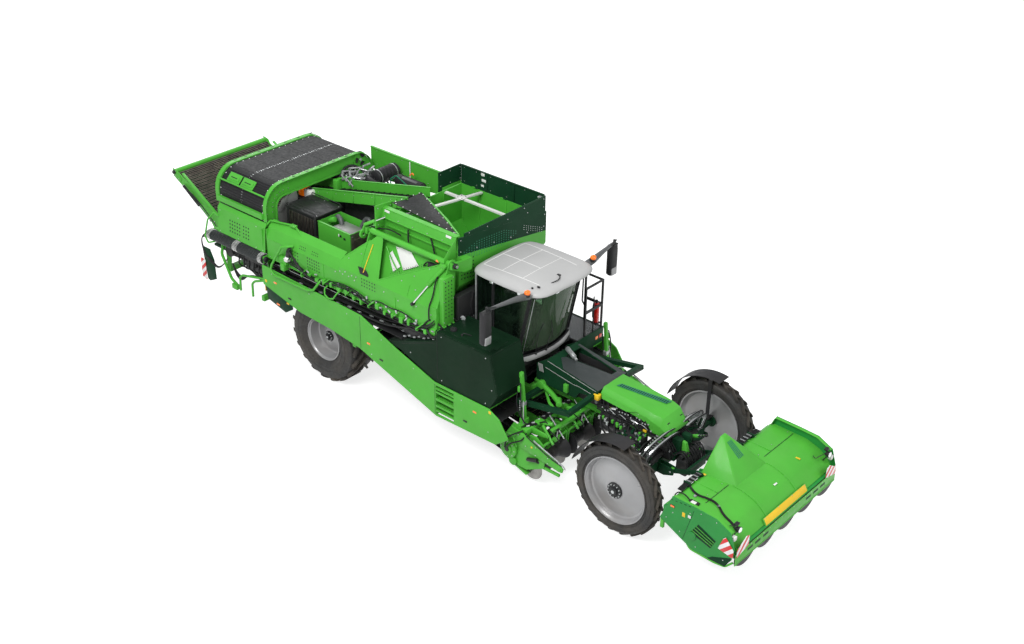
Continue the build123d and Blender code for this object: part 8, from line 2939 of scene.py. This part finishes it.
@dataclass
class Flanks:
    """The tank, the long side panels, and the body between them, whose dark pans paint the shade there."""


    def build(self) -> None:
        """Builds every group along the machine's sides."""
        self._tank()
        self._panels()
        self._underbody()
        self._rear_corner()

    def _tank(self) -> None:
        """Adds edges, lid, filler, seams, hoses and bolts to the tank, and dark blocks that paint the elevator's
        shadow.
        """
        tank = Shape(BOTTLE)
        outline = [(-0.1, 2.06), (0.86, 2.44), (0.9, 2.69), (2.31, 2.69), (2.5, 1.88), (2.29, 1.52)]
        for (x0, z0), (x1, z1) in zip(outline, outline[1:]):
            tank.rod((x0, -1.806, z0 - 0.004), (x1, -1.806, z1 - 0.004), 0.0085, sides=8)
        for x, z in outline[1:]:
            tank.rod((x, -1.8, z - 0.003), (x, -0.96, z - 0.003), 0.0085, sides=8)
        tank.box((1.0, 2.2), (-1.7, -1.04), (2.688, 2.7), 0.006)
        tank.box((2.02, 2.26), (-1.6, -1.3), (2.69, 2.712), 0.01)
        tank.use(MOULDED).rod((1.16, -1.58, 2.69), (1.16, -1.58, 2.745), 0.065, sides=32, soft=0.01)
        tank.box((1.11, 1.21), (-1.6, -1.56), (2.742, 2.765), 0.008)
        tank.rod((1.42, -1.62, 2.69), (1.42, -1.62, 2.735), 0.02, sides=16, soft=0.004)
        tank.tube([(1.42, -1.62, 2.73), (1.44, -1.6, 2.76), (1.52, -1.56, 2.74), (1.56, -1.5, 2.7)], 0.008)
        tank.use(HOSE).sheet(
            [(x, -1.8108, z) for x, z in ((0.93, 2.655), (0.93, 1.62), (0.938, 1.62), (0.938, 2.655))], 0.002
        )
        tank.sheet([(x, -1.8108, z) for x, z in ((-0.05, 2.035), (0.855, 2.4), (0.855, 2.392), (-0.05, 2.027))], 0.002)
        for i in range(5):
            y = -1.7 + 0.13 * i
            tank.tube([
                (0.1 + 0.08 * i, y, 2.17 + 0.03 * i), (0.4, y + 0.04, 2.42), (0.62, y, 2.5), (0.83, y + 0.05, 2.64)
            ], 0.018)
            tank.tube([(-0.1, y, 2.12), (0.2, y + 0.05, 2.33), (0.55, y - 0.02, 2.42)], 0.015)
        # These satin black blocks over the tank's sloping rear are painted shadow, cast by the elevator above.
        tank.use(SATIN).box((0.1, 0.84), (-1.72, -1.02), (2.36, 2.46), 0.03)
        tank.box((-0.1, 0.6), (-1.7, -1.05), (2.2, 2.36), 0.03)
        tank.use(ZINC)
        for i in range(10):
            x = -0.05 + 0.09 * i
            tank.rod(
                (x, -1.74 + 0.04 * (i % 3), 2.18 + x * 0.3), (x + 0.06, -1.74 + 0.04 * (i % 3), 2.2 + x * 0.3), 0.02,
                sides=8, soft=0.003,
            )
        tank.studs([
            (x, -1.8105, z) for x, z in ((1.05, 2.6), (2.2, 2.6), (2.36, 1.95), (1.05, 1.62), (2.2, 1.6), (0.2, 1.92))
        ], OUT_RIGHT, 0.013, 0.006)
        tank.piece("tank_trim")

    def _panels(self) -> None:
        """Adds folded edges, hinges, latches, reflectors and the recess steps to both side panels."""
        panel = Shape(LIME)
        upper = [(-4.25, 2.3), (-1.2, 2.22), (-0.21, 1.85), (0.86, 1.51), (2.3, 1.51), (2.56, 1.38), (2.79, 1.04)]
        lower = [(2.48, 0.8), (0.91, 0.76), (-0.1, 1.08), (-1.25, 1.45), (-2.15, 1.56), (-3.09, 1.6), (-4.25, 1.86)]
        for _, s in SIDES:
            panel.use(LIME)
            for route in (upper, lower):
                for (x0, z0), (x1, z1) in zip(route, route[1:]):
                    panel.rod((x0, s * 1.826, z0), (x1, s * 1.826, z1), 0.0165, sides=10)
            panel.rod((2.79, s * 1.826, 1.04), (2.48, s * 1.826, 0.8), 0.0165, sides=10)
            panel.rod((-4.25, s * 1.826, 1.86), (-4.25, s * 1.826, 2.3), 0.0165, sides=10)
            panel.use(HOSE)
            for x, z0, z1 in ((-1.22, 1.46, 2.2), (0.885, 0.79, 1.49)):
                panel.box((x - 0.004, x + 0.004), (s * 1.838, s * 1.842), (z0, z1), 0.0)
            panel.use(MOULDED)
            for x, z in ((-0.62, 1.42), (1.7, 0.98), (-3.4, 1.8)):
                panel.box((x - 0.05, x + 0.05), (s * 1.84, s * 1.85), (z - 0.018, z + 0.018))
            panel.use(AMBER)
            for x, z in ((-0.98, 1.66), (1.95, 1.3), (-3.85, 2.02)):
                panel.box((x - 0.045, x + 0.045), (s * 1.84, s * 1.847), (z - 0.02, z + 0.02), 0.003)
            panel.use(YELLOW)
            for x, z in ((2.34, 1.46), (-4.16, 1.96)):
                panel.box((x - 0.03, x + 0.03), (s * 1.84, s * 1.845), (z - 0.03, z + 0.03), 0.002)
            panel.use(ZINC).studs(
                [(x, s * 1.841, z) for x, z in (
                    (-3.95, 2.2), (-2.75, 2.16), (-1.6, 2.12), (-0.6, 1.9), (0.3, 1.6), (1.6, 1.42), (2.3, 1.0),
                    (-0.9, 1.44), (0.2, 1.06),
                )],
                (0, s, 0), 0.012, 0.006,
            )
        # The shaded copy of the light green paint gives painted shade at the back of the step recess.
        panel.use(SHADED_LIME).box((0.905, 1.395), (-1.69, -1.682), (0.81, 1.465), 0.001)
        panel.use(LIME)
        for z in (0.98, 1.14, 1.3):
            panel.box((0.9, 1.4), (-1.838, -1.69), (z, z + 0.022))
            panel.box((0.9, 1.4), (-1.842, -1.832), (z - 0.012, z + 0.03))
        panel.use(HOSE)
        for z in (1.002, 1.162, 1.322):
            panel.studs([(0.94 + 0.06 * i, y, z) for i in range(8) for y in (-1.8, -1.74)], UP, 0.01, 0.004, 8)
        panel.piece("side_panel_trim")

    def _underbody(self) -> None:
        """Adds dark pans that paint the shade below the bunker and the cab, with transverse belts and lines."""
        under = Shape(SATIN)
        # The satin black pans and blocks are painted shade: dark sheets that fill the gap between the side panels.
        under.sheet([(-1.1, -1.8, 1.72), (-1.1, 1.8, 1.72), (0.3, 1.8, 1.42), (0.3, -1.8, 1.42)], 0.012)
        under.sheet([(0.3, -1.66, 1.42), (0.3, 1.8, 1.42), (2.42, 1.8, 1.18), (2.42, -1.66, 1.18)], 0.012)
        under.box((-0.9, 0.9), (-0.58, 0.58), (1.8, 2.5), 0.03)
        under.box((-1.1, 0.4), (0.7, 1.5), (1.75, 2.3), 0.04)
        under.box((0.5, 2.2), (0.95, 1.55), (1.25, 1.8), 0.04)
        under.box((-3.3, 0.4), (-1.66, 1.3), (2.2, 2.22))
        under.use(HOSE)
        for i in range(12):
            y = -1.7 + 0.3 * i
            under.tube([
                (-1.0, y, 1.8), (-0.4, y + 0.05, 1.74), (0.3, y - 0.04, 1.52), (1.2, y, 1.42), (2.3, y + 0.03, 1.3)
            ], 0.022)
        for i in range(8):
            x = 0.0 + 0.3 * i
            under.tube(
                [(x, -1.6, 1.6 - 0.1 * i * 0.3), (x + 0.04, -0.6, 1.62), (x, 0.6, 1.6), (x + 0.05, 1.6, 1.5)], 0.018
            )
        under.use(ZINC)
        for i in range(20):
            x, y = -0.9 + 3.1 * rng.random(), -1.5 + 3.0 * rng.random()
            under.rod((x, y, 1.56), (x + 0.1, y, 1.57), 0.022, sides=8, soft=0.003)
        under.use(RODS)
        for i in range(30):
            x = -1.0 + 0.06 * i
            under.rod((x, -0.56, 2.53), (x, 0.56, 2.53), 0.01, sides=6)
        under.piece("underbody_shade_pans")

    def _rear_corner(self) -> None:
        """Adds the dark drive box, brackets and lines under the cross roller."""
        corner = Shape(SATIN)
        corner.plate(
            [(-5.55, 2.24), (-5.35, 1.82), (-4.95, 1.66), (-4.3, 1.7), (-4.26, 2.24)], Plane.XZ, (-1.5, -1.3), 0.02
        )
        corner.box((-5.3, -4.4), (-1.3, -0.72), (1.64, 1.74), 0.02)
        corner.box((-5.86, -5.42), (-1.45, -1.0), (1.92, 2.3), 0.03)
        corner.box((-5.16, -4.34), (-1.6, -1.5), (2.06, 2.24), 0.02)
        corner.rod((-5.68, -1.62, 2.06), (-5.68, -1.44, 2.06), 0.13, sides=28, soft=0.012)
        corner.rod((-4.95, -1.58, 2.02), (-4.95, -1.48, 2.02), 0.15, sides=32, soft=0.012)
        corner.use(HOSE)
        for i in range(7):
            x = -5.4 + 0.17 * i
            corner.tube([
                (x, -1.52, 2.22), (x + 0.05, -1.6, 2.02), (x - 0.02, -1.58, 1.82), (x + 0.06, -1.44, 1.7),
                (x + 0.08, -1.2, 1.68),
            ], 0.017)
        corner.use(ZINC)
        for i in range(10):
            x = -5.35 + 0.11 * i
            corner.rod(
                (x, -1.53, 2.14 - 0.04 * (i % 4)), (x + 0.05, -1.56, 2.15 - 0.04 * (i % 4)), 0.02, sides=8, soft=0.003
            )
        corner.use(YELLOW).box((-4.62, -4.54), (-1.52, -1.5), (1.8, 1.9))
        corner.piece("rear_corner_drive")


AIM: Point = (0, 0, 1)
LAMPS = (("key", (4, -14, 20), 4300, 10), ("fill", (22, 2, 12), 1100, 12), ("back", (-16, 8, 14), 1100, 10))
SKY_COLOUR = (0.97, 0.985, 1.0, 1)
SKY_LIGHT, SKY_SEEN = 0.62, 1.08
GROUND_TONES: Span = (0.5, 0.52)
GROUND_ROUGHNESS = 0.95
GROUND_GLOW = 0.76


@dataclass
class Studio:
    """Pale floor, soft lamps and the camera."""

    eye: Point = (16.946, -18.135, 15.915)
    azimuth: float = 40.8374
    elevation: float = 29.65665
    roll: float = 0.94033
    lens: float = 48.32
    sensor: float = 36.0
    far: float = 500
    ground: float = 150
    ground_drop: float = 0.002

    def camera(self) -> None:
        """Places the camera."""
        a, e, r = radians(self.azimuth), radians(self.elevation), radians(self.roll)
        back = Vector((sin(a) * cos(e), -cos(a) * cos(e), sin(e)))
        right = Vector((cos(a), sin(a), 0))
        up = right.cross(-back)
        turned_right = right * cos(r) + up * sin(r)
        turned_up = -right * sin(r) + up * cos(r)
        data = bpy.data.cameras.new("camera")
        data.lens = self.lens
        data.sensor_width = self.sensor
        data.clip_end = self.far
        seen = bpy.data.objects.new("camera", data)
        bpy.context.scene.collection.objects.link(seen)
        turn = Matrix((turned_right, turned_up, back)).transposed().to_4x4()
        seen.matrix_world = Matrix.Translation(self.eye) @ turn
        bpy.context.scene.camera = seen

    def floor(self) -> None:
        """Lays a pale floor that looks white to the camera and keeps a soft shadow."""
        part = bmesh.new()
        bmesh.ops.create_grid(part, x_segments=1, y_segments=1, size=self.ground)
        mesh = bpy.data.meshes.new("floor")
        part.to_mesh(mesh)
        part.free()
        made = bpy.data.materials.new("pale_floor")
        nodes = Nodes(made)
        tone = nodes.remap(nodes.noise(0.2, 2.0), (0.3, 0.7), GROUND_TONES)
        colour = nodes.add("ShaderNodeCombineColor")
        for socket in colour.inputs[:3]:
            nodes.join(tone, socket)
        nodes.join(colour.outputs[0], nodes.shader.inputs["Base Color"])
        nodes.shader.inputs["Roughness"].default_value = GROUND_ROUGHNESS
        self._seen_white(nodes, GROUND_GLOW)
        mesh.materials.append(made)
        floor = bpy.data.objects.new("floor", mesh)
        floor.location.z = -self.ground_drop
        bpy.context.scene.collection.objects.link(floor)

    def _seen_white(self, nodes: Nodes, share: float) -> None:
        """Adds white for the rays that only look at a surface.

        Args:
            nodes: the surface's nodes.
            share: how strong that white is.
        """
        ray = nodes.add("ShaderNodeLightPath")
        seen = nodes.maths("MAXIMUM", ray.outputs["Is Camera Ray"], ray.outputs["Is Glossy Ray"])
        seen = nodes.maths("MAXIMUM", seen, ray.outputs["Is Transmission Ray"])
        glow = nodes.add("ShaderNodeEmission")
        nodes.join(nodes.maths("MULTIPLY", seen, share), glow.inputs["Strength"])
        both = nodes.add("ShaderNodeAddShader")
        nodes.join(nodes.shader.outputs[0], both.inputs[0])
        nodes.join(glow.outputs[0], both.inputs[1])
        nodes.join(both.outputs[0], nodes.out.inputs[0])

    def lamps(self) -> None:
        """Hangs a large soft lamp, a weaker fill and a lamp at the back, aimed at the machine."""
        for name, place, power, size in LAMPS:
            data = bpy.data.lights.new(name, "AREA")
            data.energy = power
            data.size = size
            lamp = bpy.data.objects.new(name, data)
            lamp.location = place
            lamp.rotation_euler = (Vector(AIM) - Vector(place)).to_track_quat("-Z", "Y").to_euler()
            bpy.context.scene.collection.objects.link(lamp)

    def sky(self) -> None:
        """Sets a pale even world that looks white to the camera."""
        world = bpy.data.worlds.new("sky")
        bpy.context.scene.world = world
        world.use_nodes = True
        tree = world.node_tree
        back = tree.nodes["Background"]
        back.inputs["Color"].default_value = SKY_COLOUR
        ray = tree.nodes.new("ShaderNodeLightPath")
        pick = tree.nodes.new("ShaderNodeMapRange")
        pick.inputs["To Min"].default_value = SKY_LIGHT
        pick.inputs["To Max"].default_value = SKY_SEEN
        tree.links.new(ray.outputs["Is Camera Ray"], pick.inputs["Value"])
        tree.links.new(pick.outputs[0], back.inputs["Strength"])
        bpy.context.scene.view_settings.view_transform = "Standard"

    def build(self) -> None:
        """Makes camera, floor, lamps and sky."""
        self.camera()
        self.floor()
        self.lamps()
        self.sky()


def main() -> None:
    """Builds the classes in order and reports each."""
    logging.basicConfig(level=logging.INFO, format="%(name)s %(message)s")
    Studio().build()
    dress_frame()
    for part in (
        Wheel("front", 22, lug_height=0.05, lug_width=0.06, slant=0.22, rim=0.69, dish=0.01, hub=0.105, nuts=12),
        Wheel("rear", 19, lug_height=0.066, lug_width=0.1, slant=0.42, rim=0.5, dish=0.06, hub=0.13, nuts=10),
        Topper(), Ring(), RearWeb(), EngineDeck(), Elevator(), Bunker(), Cab(), FrontHood(), DiggingUnit(), Flanks(),
    ):
        log.info("building %s", type(part).__name__)
        part.build()


if __name__ == "__main__":
    main()
